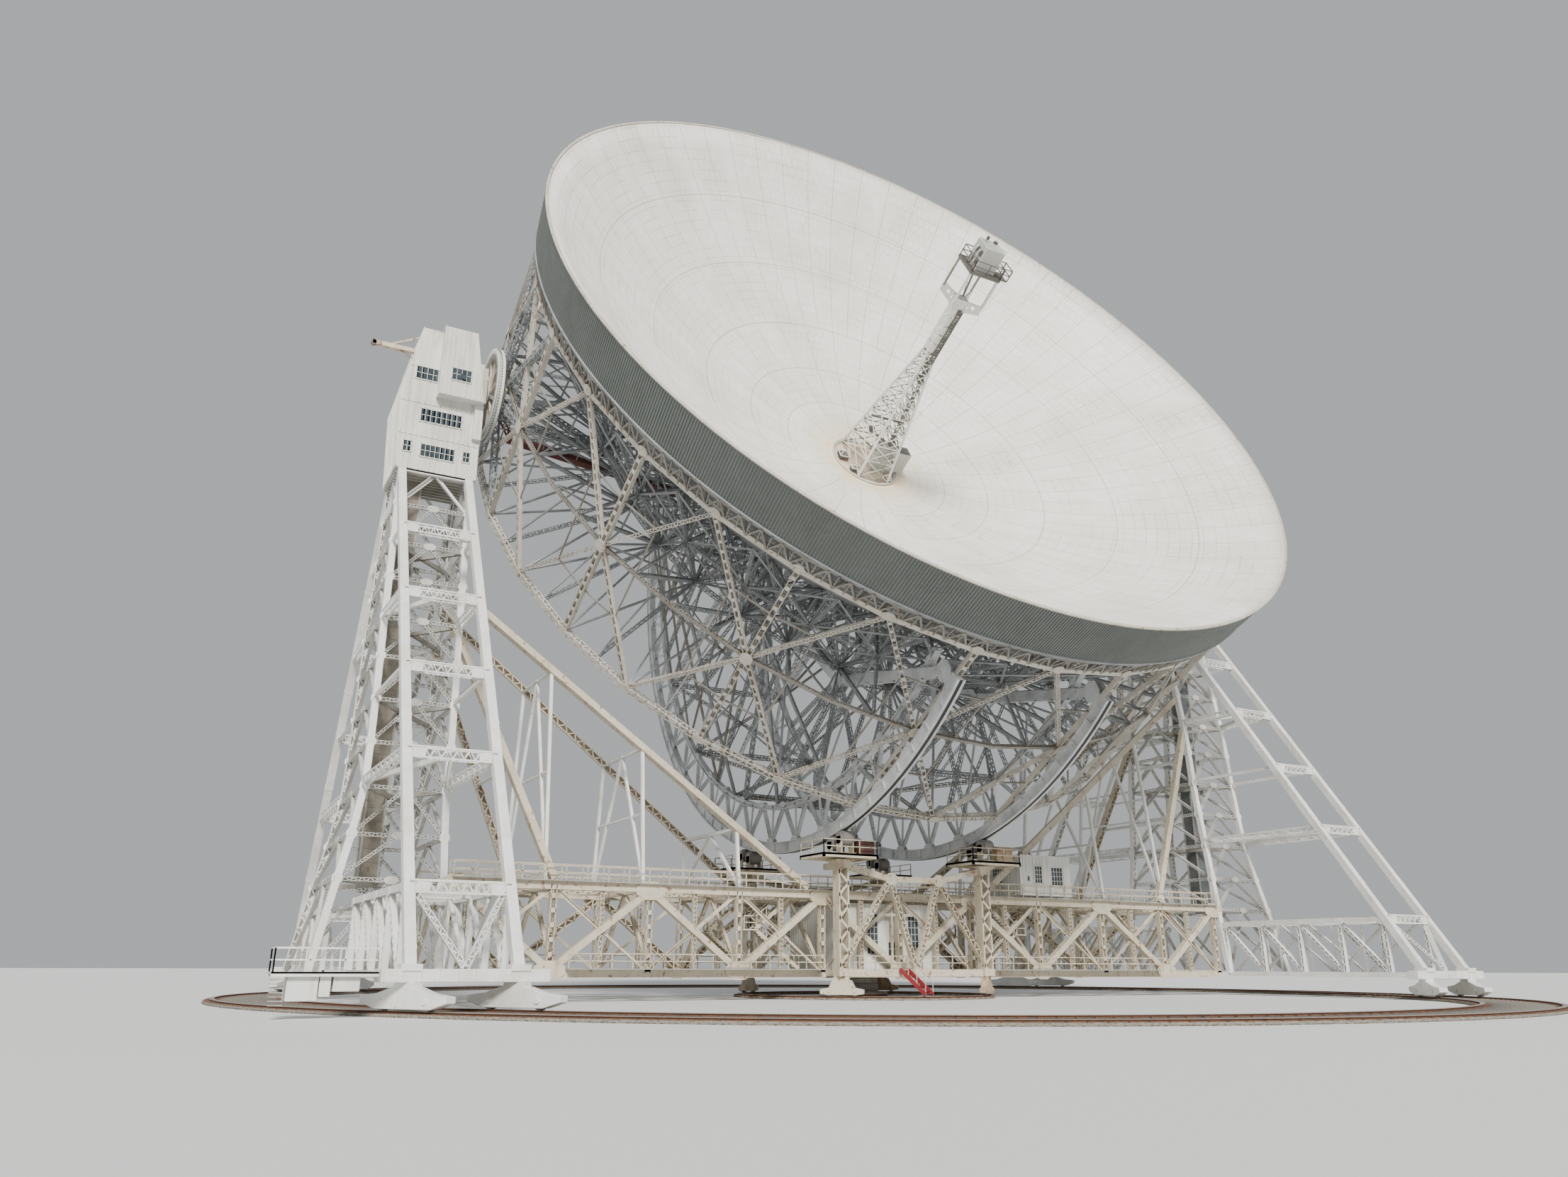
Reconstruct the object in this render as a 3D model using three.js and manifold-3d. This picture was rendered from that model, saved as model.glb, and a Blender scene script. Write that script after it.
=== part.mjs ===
// Fully steerable radio telescope with a 76.2 m bowl, as a 1:10 scale model.
// Frame: origin on the azimuth pivot at the underside of the rails, +Z up, the elevation
// axis along X, and the bowl tipped towards -Y as it is photographed.
// Sizes below are metres of the full-size telescope; M turns them into model millimetres.

import * as THREE from 'three';
import { mergeVertices } from 'three/addons/utils/BufferGeometryUtils.js';
import Module from 'manifold-3d';

const wasm = await Module();
wasm.setup();

const M = 100;
const SEAT_GAP = 0.003;
const MOVING_GAP = 0.06;
const DEGREE = Math.PI / 180;

// Circular tracks on the ground
const RAIL_TOP = 0.3;
const OUTER_RAILS = [48.3, 53.1];
const OUTER_TRACK = { inside: 47.7, outside: 53.75, base: 0.16, railWidth: 0.5 };
const INNER_RAIL = 11.2;
const INNER_TRACK = { inside: 10.7, outside: 11.7, base: 0.16, railWidth: 0.4 };
const PIVOT = { radius: 1.3, height: 1.2, plinthRadius: 2.2, plinthHeight: 0.5 };

// Towers: measures are taken from the tower's own centre line
const TOWER_X = 42.46;
const TOWER_TOP = 40.9;
const TOWER_FOOT_Z = 2.0;
const RAKING_LEG = { footX: 2.91, topX: 2.7, footY: 27.67, topY: 2.52, size: 0.64 };
const LEG_TIES = [0.167, 0.333, 0.499, 0.666, 0.884];
const COLUMN_FOOT_Z = 1.75;
const COLUMN = [
  { z: 40.9, y: 2.5, inner: 2.85, outer: 2.75 },
  { z: 14.6, y: 5.2, inner: 2.85, outer: 3.05 },
  { z: COLUMN_FOOT_Z, y: 6.85, inner: 3.05, outer: 5.55 },
];
const COLUMN_LEVELS = [34.3, 27.8, 21.2, 14.6, 8.0];
const LEG_SIZE = 0.52;
const TIE_SIZE = 0.45;
const LONG_STRUT = { top: [2.6, 3.3, 31.0], footX: 9.2, footY: 6, size: 0.6 };
const STEEP_STRUT = { top: [2.6, 3.8, 27.6], footX: 31.2, footY: 6, size: 0.6 };
const LONG_STRUT_POSTS = [31.9, 24.0, 15.6];
const SIDE_TRUSS = { top: 6.5, bottom: 1.75, innerY: 7.6, outerY: 24.6, size: 0.5 };
const END_BEAM = { half: 4.6, top: 1.95, bottom: 1.1, width: 1.0 };
const BOGIE = { length: 5.6, topLength: 2.4, low: 0.53, width: 0.7, wheel: 0.36, spread: 1.7 };
const INNER_BOGIE = { length: 3.6, topLength: 1.6, low: 0.3, width: 0.6, wheel: 0.32, spread: 1.05 };

// Houses on the tower heads
const HEAD_HOUSE = [[45.7, 40.92], [39.2, 40.92], [39.2, 47.6], [40.35, 54.0], [44.7, 54.0], [46.0, 47.6]];
const HEAD_HOUSE_DEPTH = 2.9;
const HEAD_BAY = [[43.1, 47.7], [39.4, 47.7], [40.45, 54.05], [43.1, 54.05]];
const HEAD_BAY_DEPTH = 4.0;
const BEARING_PIER = { x: [39.15, 41.0], half: 1.9, z: [48.0, 52.4] };
const JIB = { wallX: 44.6, tipX: 48.6, y: 2.0, wallZ: 53.9, tipZ: 52.2, stayZ: 50.2, size: 0.35 };
const LIFT_SHAFT = { x: 43.9, half: 0.7, foot: 8.35 };
const BEARING = { x: [38.72, 39.147], half: 1.7, sides: 32 };

// Base girder between the towers
const GIRDER = { y: 6, top: 8.1, bottom: 1.75, end: 38.9, chord: 0.6, post: 0.5 };
const GIRDER_BOTTOM_NODES = [-31.2, -15.6, 0, 15.6, 31.2];
const GIRDER_TOP_NODES = [-38.6, -23.4, -7.8, 7.8, 23.4, 38.6];
const WALKWAY = { z: 8.45, thick: 0.12, width: 1.3 };

// Cradle under the bowl's two wheel girders
const CRADLE = { x: 7.33, y: 8.5, post: 1.0, top: 10.75, foot: 1.5, apexX: 2.45, apexZ: 9.4 };
const PLATFORM = { z: 11.0, thick: 0.35, x: [4.9, 10.2], y: [6.6, 10.6] };
const ROLLER = { radius: 0.62, length: 1.3, spread: 1.5 };
const MOTOR_ROOM = { x: [-4.6, 4.2], y: [-5.3, 5.3], z: [1.953, 7.5] };
const CONTROL_CABIN = { x: [13.5, 19.6], y: [-6.4, -1.2], z: [8.65, 12.35] };
const ENTRY_STAIR = { x: -1.2, width: 1.0, y: [-11.6, -8.84], z: [0.12, 2.1], depth: 0.5 };
const FOOT_PLATFORM = {
  x: [47.063, 52.2], y: [-28.7, -26.7], z: [1.8, 1.95],
  cabinetX: [49.4, 52.0], cabinetZ: 0.5,
};

// Bowl: n is measured along its axis from the elevation axis
const AXIS_HEIGHT = 50.5;
const REST_TILT = 60.8;
const DISH = { radius: 38.1, rim: 17.93, focal: 22.9, thick: 0.14 };
const OLD_BOWL = { radius: 37.75, edge: 37.596, rim: 13.9, focal: 19.05, thick: 0.14 };
const BOWL_SIDES = 48;
const SKIRT_THICK = 0.15;
const RING_BEAM = { n: 12.5, width: 0.7, height: 1.2 };
const LOWER_RING = { n: -7.4, width: 0.55, height: 0.55 };
const DRUM = { radius: 37.2, upper: 12.2, middle: 2.4, lower: -7.4, sides: 32, web: 0.45, gusset: 1.3 };
const EDGE_CHORD_FIT = 0.998;
const RIB = { knee: [25.5, -3.6], toe: [9.5, -9.4], head: [36.2, 10.8], chord: 0.6, web: 0.45, count: 16 };
const RIB_WEB = { foot: [17.5, -6.5], inner: 15.0, outer: 20.0, under: 0.3, size: 0.32 };
const WHEEL = { x: 7.33, radius: 38.4, depth: 1.0, width: 0.7, inner: 34.4, innerDepth: 0.5, end: 14 };
const WHEEL_CHORD = [[-35.6, 8.4], [-25.5, -4.2], [-9.5, -10.0], [9.5, -10.0], [25.5, -4.2], [35.6, 8.4]];
const WHEEL_TIES = {
  radius: 34.0, end: 7.047, crossEnd: 6.7,
  from: 10, step: 20, count: 9,
  size: 0.4, cross: 0.32,
};
const RACK = { x: 38.1, radius: 4.2, depth: 0.5, half: 0.32, shaft: 0.5 };
const MAST = { foot: [1.75, 2.9], waist: 0.5, shaft: 1.12, footN: 2.4, waistN: 16.0, headN: 21.3, leg: 0.24 };
const MAST_PAD = { inner: 3.15, outer: 3.65, top: 2.5 };
const FEED = {
  yoke: [21.6, 22.2], wing: 1.5, plate: [0.2, 0.9],
  platform: 1.6, platformN: [25.2, 25.45],
  box: 2.0, boxTop: 27.7,
};
const AXIS_BEAM = { hub: [37.5, -0.6], from: [35.4, -4.05], to: [16.8, -6.4], width: 1.0, height: 0.6 };
const MAST_HUT = { x: [0.3, 3.95], u: [-0.95, 0.35], n: [2.1, 4.85] };

// Paints
const finish = (color, roughness, metalness) => ({ color, roughness, metalness });
const PAINT = {
  lit: finish(0xd9d5c6, 0.6, 0.1),
  lattice: finish(0x9aa3a8, 0.6, 0.1),
  cladding: finish(0xe4e4dc, 0.65, 0.0),
  skirt: finish(0x8d958f, 0.6, 0.1),
  dish: finish(0xeceae2, 0.55, 0.0),
  rail: finish(0x5b4a40, 0.7, 0.5),
  redwalk: finish(0x6b3a33, 0.7, 0.0),
  stair: finish(0x9c2f35, 0.6, 0.0),
};

const vec = (x, y, z) => new THREE.Vector3(x, y, z);

// Closed solid from a three.js geometry in metres
function solidOf(geometry) {
  geometry.deleteAttribute('normal');
  geometry.deleteAttribute('uv');
  const merged = mergeVertices(geometry, 1e-5);
  const mesh = new wasm.Mesh({
    numProp: 3,
    vertProperties: new Float32Array(merged.attributes.position.array),
    triVerts: new Uint32Array(merged.index.array),
  });
  return new wasm.Manifold(mesh);
}

// Straight member from a to b; across is its width, deep its depth along the up direction
function bar(a, b, across, deep, grow = 0, up = vec(0, 0, 1)) {
  const along = b.clone().sub(a);
  const length = along.length();
  along.normalize();
  const reference = Math.abs(along.dot(up)) > 0.98 ? vec(1, 0, 0) : up;
  const side = reference.clone().cross(along).normalize();
  const top = along.clone().cross(side);
  const geometry = new THREE.BoxGeometry(across + 2 * grow, deep + 2 * grow, length + 2 * grow);
  geometry.applyMatrix4(new THREE.Matrix4().makeBasis(side, top, along));
  const middle = a.clone().add(b).multiplyScalar(0.5);
  geometry.translate(middle.x, middle.y, middle.z);
  return solidOf(geometry);
}

// Thin web member with three sides
function rod(a, b, size, grow = 0) {
  const length = a.distanceTo(b) + 2 * grow;
  const geometry = new THREE.CylinderGeometry(size * 0.62 + 2 * grow, size * 0.62 + 2 * grow, length, 3, 1);
  const along = b.clone().sub(a).normalize();
  geometry.applyQuaternion(new THREE.Quaternion().setFromUnitVectors(vec(0, 1, 0), along));
  const middle = a.clone().add(b).multiplyScalar(0.5);
  geometry.translate(middle.x, middle.y, middle.z);
  return solidOf(geometry);
}

// Box between two corners
function block(x, y, z, grow = 0) {
  const geometry = new THREE.BoxGeometry(
    Math.abs(x[1] - x[0]) + 2 * grow,
    Math.abs(y[1] - y[0]) + 2 * grow,
    Math.abs(z[1] - z[0]) + 2 * grow,
  );
  geometry.translate((x[0] + x[1]) / 2, (y[0] + y[1]) / 2, (z[0] + z[1]) / 2);
  return solidOf(geometry);
}

// Ring or disc turned about Z from closed [radius, height] points
function turned(points, sides) {
  const profile = points.map(([r, z]) => new THREE.Vector2(r, z));
  profile.push(profile[0].clone());
  const geometry = new THREE.LatheGeometry(profile, sides);
  geometry.rotateX(Math.PI / 2);
  const solid = solidOf(geometry);
  return solid.volume() > 0 ? solid : solidOf(flipped(geometry));
}

function flipped(geometry) {
  const index = geometry.index.array;
  for (let i = 0; i < index.length; i += 3) {
    [index[i], index[i + 1]] = [index[i + 1], index[i]];
  }
  return geometry;
}

// Cylinder about the X direction
function drumAlongX(x0, x1, radius, y, z, sides) {
  const geometry = new THREE.CylinderGeometry(radius, radius, Math.abs(x1 - x0), sides);
  geometry.rotateZ(Math.PI / 2);
  geometry.translate((x0 + x1) / 2, y, z);
  return solidOf(geometry);
}

const joined = (solids) => solids.reduce((whole, piece) => whole.add(piece));

function largestPiece(solid) {
  const pieces = solid.decompose();
  return pieces.reduce((best, piece) => (piece.volume() > best.volume() ? piece : best));
}

// Every sub-part is a recipe: its solids grown by a seat gap also serve to cut its neighbours
const recipes = { track: [], turning: [], bowl: [] };
function part(group, name, paint, solids) {
  recipes[group].push({ name, paint, solids });
}

function boxesMeet(a, b) {
  return [0, 1, 2].every((k) => a.min[k] < b.max[k] && b.min[k] < a.max[k]);
}

function buildGroup(list) {
  const group = new THREE.Group();
  const cutters = [];
  for (const recipe of list) {
    let solid = joined(recipe.solids(0));
    for (const cutter of cutters) {
      if (boxesMeet(solid.boundingBox(), cutter.boundingBox())) {
        solid = solid.subtract(cutter);
      }
    }
    solid = largestPiece(solid);
    cutters.push(joined(recipe.solids(SEAT_GAP)));
    group.add(meshOf(recipe, solid));
  }
  return group;
}

function meshOf(recipe, solid) {
  const { vertProperties, triVerts } = solid.getMesh();
  const geometry = new THREE.BufferGeometry();
  const positions = Float32Array.from(vertProperties, (v) => v * M);
  geometry.setAttribute('position', new THREE.BufferAttribute(positions, 3));
  geometry.setIndex(new THREE.BufferAttribute(triVerts, 1));
  const mesh = new THREE.Mesh(geometry, new THREE.MeshStandardMaterial(recipe.paint));
  mesh.name = recipe.name;
  return mesh;
}

// Tracks and pivot
function trackRing(track, rails, sides) {
  const points = [[track.inside, 0], [track.outside, 0], [track.outside, track.base]];
  for (const rail of [...rails].reverse()) {
    points.push([rail + track.railWidth / 2, track.base], [rail + track.railWidth / 2, RAIL_TOP]);
    points.push([rail - track.railWidth / 2, RAIL_TOP], [rail - track.railWidth / 2, track.base]);
  }
  points.push([track.inside, track.base]);
  return turned(points, sides);
}
part('track', 'outer_track', PAINT.rail, () => [trackRing(OUTER_TRACK, OUTER_RAILS, 40)]);
part('track', 'inner_track', PAINT.rail, () => [trackRing(INNER_TRACK, [INNER_RAIL], 24)]);
part('track', 'centre_pivot', PAINT.rail, () => [
  turned([[0, 0], [PIVOT.plinthRadius, 0], [PIVOT.plinthRadius, PIVOT.plinthHeight],
    [PIVOT.radius, PIVOT.plinthHeight], [PIVOT.radius, PIVOT.height], [0, PIVOT.height]], 16),
]);

// Tower members, mirrored by side (-1 left, 1 right) and by end (-1 front, 1 back)
function columnPoint(side, face, end, z) {
  const upper = z > COLUMN[1].z ? 0 : 1;
  const a = COLUMN[upper];
  const b = COLUMN[upper + 1];
  const t = (z - a.z) / (b.z - a.z);
  const key = face > 0 ? 'outer' : 'inner';
  const offset = a[key] + (b[key] - a[key]) * t;
  return vec(side * (TOWER_X + face * offset), end * (a.y + (b.y - a.y) * t), z);
}

function columnSolids(side, grow) {
  const solids = [];
  for (const face of [-1, 1]) {
    for (const end of [-1, 1]) {
      const [top, knee, foot] = COLUMN.map((level) => columnPoint(side, face, end, level.z));
      solids.push(bar(top, knee, LEG_SIZE, LEG_SIZE, grow, vec(0, 1, 0)));
      solids.push(bar(knee, foot, LEG_SIZE, LEG_SIZE, grow, vec(0, 1, 0)));
    }
  }
  for (const z of COLUMN_LEVELS) {
    const corner = (face, end) => columnPoint(side, face, end, z);
    solids.push(rod(corner(-1, -1), corner(1, -1), TIE_SIZE, grow));
    solids.push(rod(corner(-1, 1), corner(1, 1), TIE_SIZE, grow));
    solids.push(rod(corner(-1, -1), corner(-1, 1), TIE_SIZE, grow));
    solids.push(rod(corner(1, -1), corner(1, 1), TIE_SIZE, grow));
  }
  return solids;
}

function rakingPoint(side, face, end, t) {
  const x = RAKING_LEG.topX + (RAKING_LEG.footX - RAKING_LEG.topX) * t;
  const y = RAKING_LEG.topY + (RAKING_LEG.footY - RAKING_LEG.topY) * t;
  return vec(side * (TOWER_X + face * x), end * y, TOWER_TOP + (TOWER_FOOT_Z - TOWER_TOP) * t);
}

function rakingSolids(side, end, grow) {
  const solids = [-1, 1].map((face) => bar(
    rakingPoint(side, face, end, 0),
    rakingPoint(side, face, end, 1),
    RAKING_LEG.size,
    RAKING_LEG.size,
    grow,
  ));
  for (const t of LEG_TIES) {
    solids.push(bar(rakingPoint(side, -1, end, t), rakingPoint(side, 1, end, t), TIE_SIZE, TIE_SIZE, grow));
  }
  return solids;
}

function strutPoint(side, end, strut, x) {
  const topX = TOWER_X - strut.top[0];
  const t = (topX - x) / (topX - strut.footX);
  const y = strut.top[1] + (strut.footY - strut.top[1]) * t;
  const z = strut.top[2] + (WALKWAY.z + 0.1 - strut.top[2]) * t;
  return vec(side * x, end * y, z);
}

function strutSolids(side, strut, ties, posts, grow) {
  const topX = TOWER_X - strut.top[0];
  const solids = [];
  for (const end of [-1, 1]) {
    const top = strutPoint(side, end, strut, topX);
    const foot = strutPoint(side, end, strut, strut.footX);
    solids.push(bar(top, foot, strut.size, strut.size, grow));
    for (const x of posts) {
      const head = strutPoint(side, end, strut, x);
      solids.push(rod(head, vec(head.x, end * GIRDER.y, WALKWAY.z + 0.1), 0.4, grow));
    }
  }
  for (const x of ties) {
    solids.push(rod(strutPoint(side, -1, strut, x), strutPoint(side, 1, strut, x), 0.45, grow));
  }
  return solids;
}

function sideTrussSolids(side, end, grow) {
  const { top, bottom, innerY, outerY, size } = SIDE_TRUSS;
  const panels = 3;
  const solids = [];
  const at = (face, i, z) => {
    const y = innerY + ((outerY - innerY) * i) / panels;
    return vec(side * (TOWER_X + face * RAKING_LEG.footX), end * y, z);
  };
  for (const face of [-1, 1]) {
    solids.push(bar(at(face, -0.1, top), at(face, panels, top), size, size, grow));
    solids.push(bar(at(face, -0.1, bottom), at(face, panels + 0.5, bottom), size, size, grow));
    for (let i = 0; i < panels; i += 1) {
      const rising = i % 2 === 0;
      const start = at(face, i + 0.1, rising ? bottom : top);
      const finish = at(face, i + 0.9, rising ? top : bottom);
      solids.push(rod(start, finish, size, grow));
    }
  }
  for (const i of [0.5, 2.5]) {
    solids.push(rod(at(-1, i, top), at(1, i, top), size, grow));
  }
  return solids;
}

function endBeamSolids(side, end, grow) {
  const { half, top, bottom, width } = END_BEAM;
  const centre = side * TOWER_X;
  const y = end * RAKING_LEG.footY;
  const solids = [block([centre - half, centre + half], [y - width / 2, y + width / 2], [bottom, top], grow)];
  for (const face of [-1, 1]) {
    solids.push(...bogieSolids(side * (TOWER_X + face * RAKING_LEG.footX), y, bottom + 0.05, BOGIE, grow));
  }
  return solids;
}

// Bogie standing on one rail, its side frame along the rail
function bogieSolids(x, y, top, size, grow) {
  const { length, topLength, low, width, wheel, spread } = size;
  const outline = [[-length / 2, low + 0.12], [-length / 2, low + 0.3], [-topLength / 2, top],
    [topLength / 2, top], [length / 2, low + 0.3], [length / 2, low + 0.12]];
  const shape = new THREE.Shape(outline.map(([u, v]) => new THREE.Vector2(u * (1 + grow), v)));
  const frame = new THREE.ExtrudeGeometry(shape, { depth: width + 2 * grow, bevelEnabled: false });
  frame.translate(0, 0, -width / 2 - grow);
  frame.rotateX(Math.PI / 2);
  const turn = Math.atan2(x, -y);
  frame.rotateZ(turn);
  frame.translate(x, y, 0);
  const solids = [solidOf(frame)];
  for (const place of [-spread, spread]) {
    const disc = new THREE.CylinderGeometry(wheel, wheel, width * 0.6, 10);
    disc.rotateX(Math.PI / 2);
    disc.translate(place, wheel + SEAT_GAP, 0);
    disc.rotateX(Math.PI / 2);
    disc.rotateZ(turn);
    disc.translate(x, y, 0);
    solids.push(solidOf(disc));
  }
  return solids;
}

// Outline of [x, z] points drawn out to both sides of the elevation axis
function gable(points, side, half, grow) {
  const shape = new THREE.Shape(points.map(([x, z]) => new THREE.Vector2(side * x, z)));
  const geometry = new THREE.ExtrudeGeometry(shape, { depth: 2 * half + 2 * grow, bevelEnabled: false });
  geometry.translate(0, 0, -half - grow);
  geometry.rotateX(Math.PI / 2);
  return solidOf(geometry);
}

// Head house with its bay, and the pier that the trunnion bearing is bolted to
function headHouseSolids(side, grow) {
  const { x, half, z } = BEARING_PIER;
  return [
    gable(HEAD_HOUSE, side, HEAD_HOUSE_DEPTH, grow),
    gable(HEAD_BAY, side, HEAD_BAY_DEPTH, grow),
    block(x.map((v) => side * v), [-half, half], z, grow),
  ];
}

// Small jib on the left head house: an arm from the sloping wall and a stay under it
function jibSolids(grow) {
  const { wallX, tipX, y, wallZ, tipZ, stayZ, size } = JIB;
  const tip = vec(-tipX, -y, tipZ);
  return [
    bar(vec(-wallX, -y, wallZ), tip, size, size, grow),
    bar(vec(-wallX - 0.6, -y, stayZ), vec(-(tipX - 1.2), -y, tipZ + 0.45), size, size, grow),
  ];
}

// Railed platform at the end of the left front end beam, with the machinery cabinet it carries
function footPlatformSolids(grow) {
  const { x, y, z, cabinetX, cabinetZ } = FOOT_PLATFORM;
  const left = (range) => range.map((v) => -v);
  return [
    block(left(x), y, z, grow),
    block(left(cabinetX), [y[0] + 0.2, y[1] - 0.2], [cabinetZ, z[0] + 0.01], grow),
  ];
}

// Stair from near the ground up to the front cradle frame's foot beam
function entryStairSolids(grow) {
  const { x, width, y, z, depth } = ENTRY_STAIR;
  const shape = new THREE.Shape();
  const steps = 5;
  const run = (y[1] - y[0]) / steps;
  const rise = (z[1] - z[0]) / steps;
  shape.moveTo(y[0], z[0]);
  for (let i = 0; i < steps; i += 1) {
    shape.lineTo(y[0] + run * i, z[0] + rise * (i + 1));
    shape.lineTo(y[0] + run * (i + 1), z[0] + rise * (i + 1));
  }
  shape.lineTo(y[1], z[1] - depth);
  shape.lineTo(y[0] + run, z[0]);
  const geometry = new THREE.ExtrudeGeometry(shape, { depth: width + 2 * grow, bevelEnabled: false });
  geometry.applyMatrix4(new THREE.Matrix4().makeBasis(vec(0, 1, 0), vec(0, 0, 1), vec(1, 0, 0)));
  geometry.translate(x - width / 2 - grow, 0, 0);
  return [solidOf(geometry)];
}

const SIDES = [['left', -1], ['right', 1]];
const ENDS = [['front', -1], ['back', 1]];

for (const [sideName, side] of SIDES) {
  part('turning', `${sideName}_column`, PAINT.lit, (grow) => columnSolids(side, grow));
  for (const [endName, end] of ENDS) {
    part('turning', `${sideName}_${endName}_end_beam`, PAINT.lit, (grow) => endBeamSolids(side, end, grow));
    const corner = `${sideName}_${endName}`;
    part('turning', `${corner}_raking_legs`, PAINT.lit, (grow) => rakingSolids(side, end, grow));
    part('turning', `${corner}_side_truss`, PAINT.lit, (grow) => sideTrussSolids(side, end, grow));
  }
  part('turning', `${sideName}_head_house`, PAINT.cladding, (grow) => headHouseSolids(side, grow));
  part('turning', `${sideName}_lift_shaft`, PAINT.lattice, (grow) => {
    const { x, half, foot } = LIFT_SHAFT;
    return [block([side * x - half, side * x + half], [-half, half], [foot, TOWER_TOP + 0.3], grow)];
  });
  part('turning', `${sideName}_trunnion_bearing`, PAINT.lattice, (grow) => {
    const { x, half, sides } = BEARING;
    const height = [AXIS_HEIGHT - half, AXIS_HEIGHT + half];
    const plate = block(x.map((v) => side * v), [-half, half], height, grow);
    const bore = (RACK.shaft + SEAT_GAP) / Math.cos(Math.PI / sides);
    return [plate.subtract(drumAlongX(side * (x[0] - 1), side * (x[1] + 1), bore, 0, AXIS_HEIGHT, sides))];
  });
}

part('turning', 'left_crane_jib', PAINT.lit, (grow) => jibSolids(grow));
part('turning', 'left_foot_platform', PAINT.lit, (grow) => footPlatformSolids(grow));

// Base girder
function girderFaceSolids(end, grow) {
  const { y, top, bottom, chord, post } = GIRDER;
  const face = end * y;
  const girderEnd = GIRDER.end;
  const solids = [
    bar(vec(-girderEnd, face, top), vec(girderEnd, face, top), chord, chord, grow),
    bar(vec(-girderEnd, face, bottom), vec(girderEnd, face, bottom), chord, chord, grow),
    block([-girderEnd, girderEnd], [face - WALKWAY.width / 2, face + WALKWAY.width / 2],
      [WALKWAY.z - WALKWAY.thick, WALKWAY.z], grow),
  ];
  for (const x of [...GIRDER_BOTTOM_NODES, ...GIRDER_TOP_NODES]) {
    solids.push(bar(vec(x, face, bottom), vec(x, face, top), post, post, grow));
  }
  GIRDER_BOTTOM_NODES.forEach((x, i) => {
    solids.push(bar(vec(x, face, bottom), vec(GIRDER_TOP_NODES[i], face, top), post, chord, grow));
    solids.push(bar(vec(x, face, bottom), vec(GIRDER_TOP_NODES[i + 1], face, top), post, chord, grow));
  });
  return solids;
}

function planBracingSolids(z, grow) {
  const y = GIRDER.y;
  const solids = [bar(vec(GIRDER_TOP_NODES[0], 0, z), vec(GIRDER_TOP_NODES[5], 0, z), 0.45, 0.4, grow)];
  for (const x of GIRDER_TOP_NODES) {
    solids.push(bar(vec(x, -y, z), vec(x, y, z), 0.5, 0.5, grow));
  }
  return solids;
}

function cradleSolids(end, grow) {
  const { x, post, top, foot, apexX, apexZ } = CRADLE;
  const y = end * CRADLE.y;
  const solids = [bar(vec(-x, y, foot + 0.3), vec(x, y, foot + 0.3), 0.7, 0.6, grow)];
  for (const side of [-1, 1]) {
    solids.push(bar(vec(side * x, y, foot), vec(side * x, y, top), post, post, grow));
    solids.push(bar(vec(side * x, y, top - 0.3), vec(side * apexX, y, apexZ), 0.5, 0.5, grow));
    solids.push(bar(vec(side * apexX, y, apexZ), vec(0, y, foot + 0.3), 0.45, 0.45, grow));
    solids.push(bar(vec(side * apexX, y, apexZ), vec(side * x, y, foot + 0.9), 0.45, 0.45, grow));
    solids.push(bar(vec(side * x, y, top - 0.35), vec(side * x, end * GIRDER.y, top - 0.35), 0.5, 0.5, grow));
    solids.push(bar(vec(side * x, y, foot + 0.3), vec(side * x, end * GIRDER.y, foot + 0.3), 0.5, 0.5, grow));
    solids.push(...bogieSolids(side * x, y, foot + 0.05, INNER_BOGIE, grow));
  }
  solids.push(bar(vec(-apexX, y, apexZ), vec(apexX, y, apexZ), 0.5, 0.5, grow));
  for (const side of [-1, 1]) {
    const deck = [PLATFORM.z - PLATFORM.thick / 2, PLATFORM.z + PLATFORM.thick / 2];
    solids.push(block(PLATFORM.x.map((v) => side * v), PLATFORM.y.map((v) => end * v), deck, grow));
    solids.push(...rollerSolids(side, end, grow));
  }
  return solids;
}

// Rocker on the platform with two rollers under the wheel girder's rail
function rollerSolids(side, end, grow) {
  const reach = WHEEL.radius + MOVING_GAP + ROLLER.radius;
  const x = side * CRADLE.x;
  const solids = [];
  for (const offset of [-ROLLER.spread / 2, ROLLER.spread / 2]) {
    const y = end * CRADLE.y + offset;
    const z = AXIS_HEIGHT - Math.sqrt(reach ** 2 - y ** 2);
    const half = ROLLER.length / 2 + grow;
    solids.push(drumAlongX(x - half, x + half, ROLLER.radius, y, z, 12));
    solids.push(block([x - 0.35, x + 0.35], [y - 0.3, y + 0.3], [PLATFORM.z, z], grow));
  }
  return solids;
}

for (const [endName, end] of ENDS) {
  part('turning', `${endName}_base_girder`, PAINT.lit, (grow) => girderFaceSolids(end, grow));
  part('turning', `${endName}_cradle_frame`, PAINT.lit, (grow) => cradleSolids(end, grow));
}
part('turning', 'deck_bracing', PAINT.lattice, (grow) => planBracingSolids(GIRDER.top, grow));
part('turning', 'floor_bracing', PAINT.lattice, (grow) => {
  const low = PIVOT.height - RAIL_TOP + SEAT_GAP;
  const boss = turned([[0, low], [PIVOT.radius, low], [PIVOT.radius, GIRDER.bottom], [0, GIRDER.bottom]], 16);
  return [boss, ...planBracingSolids(GIRDER.bottom, grow)];
});
part('turning', 'motor_room', PAINT.cladding,
  (grow) => [block(MOTOR_ROOM.x, MOTOR_ROOM.y, MOTOR_ROOM.z, grow)]);
part('turning', 'control_cabin', PAINT.cladding,
  (grow) => [block(CONTROL_CABIN.x, CONTROL_CABIN.y, CONTROL_CABIN.z, grow)]);
part('turning', 'entry_stair', PAINT.stair, (grow) => entryStairSolids(grow));
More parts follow.
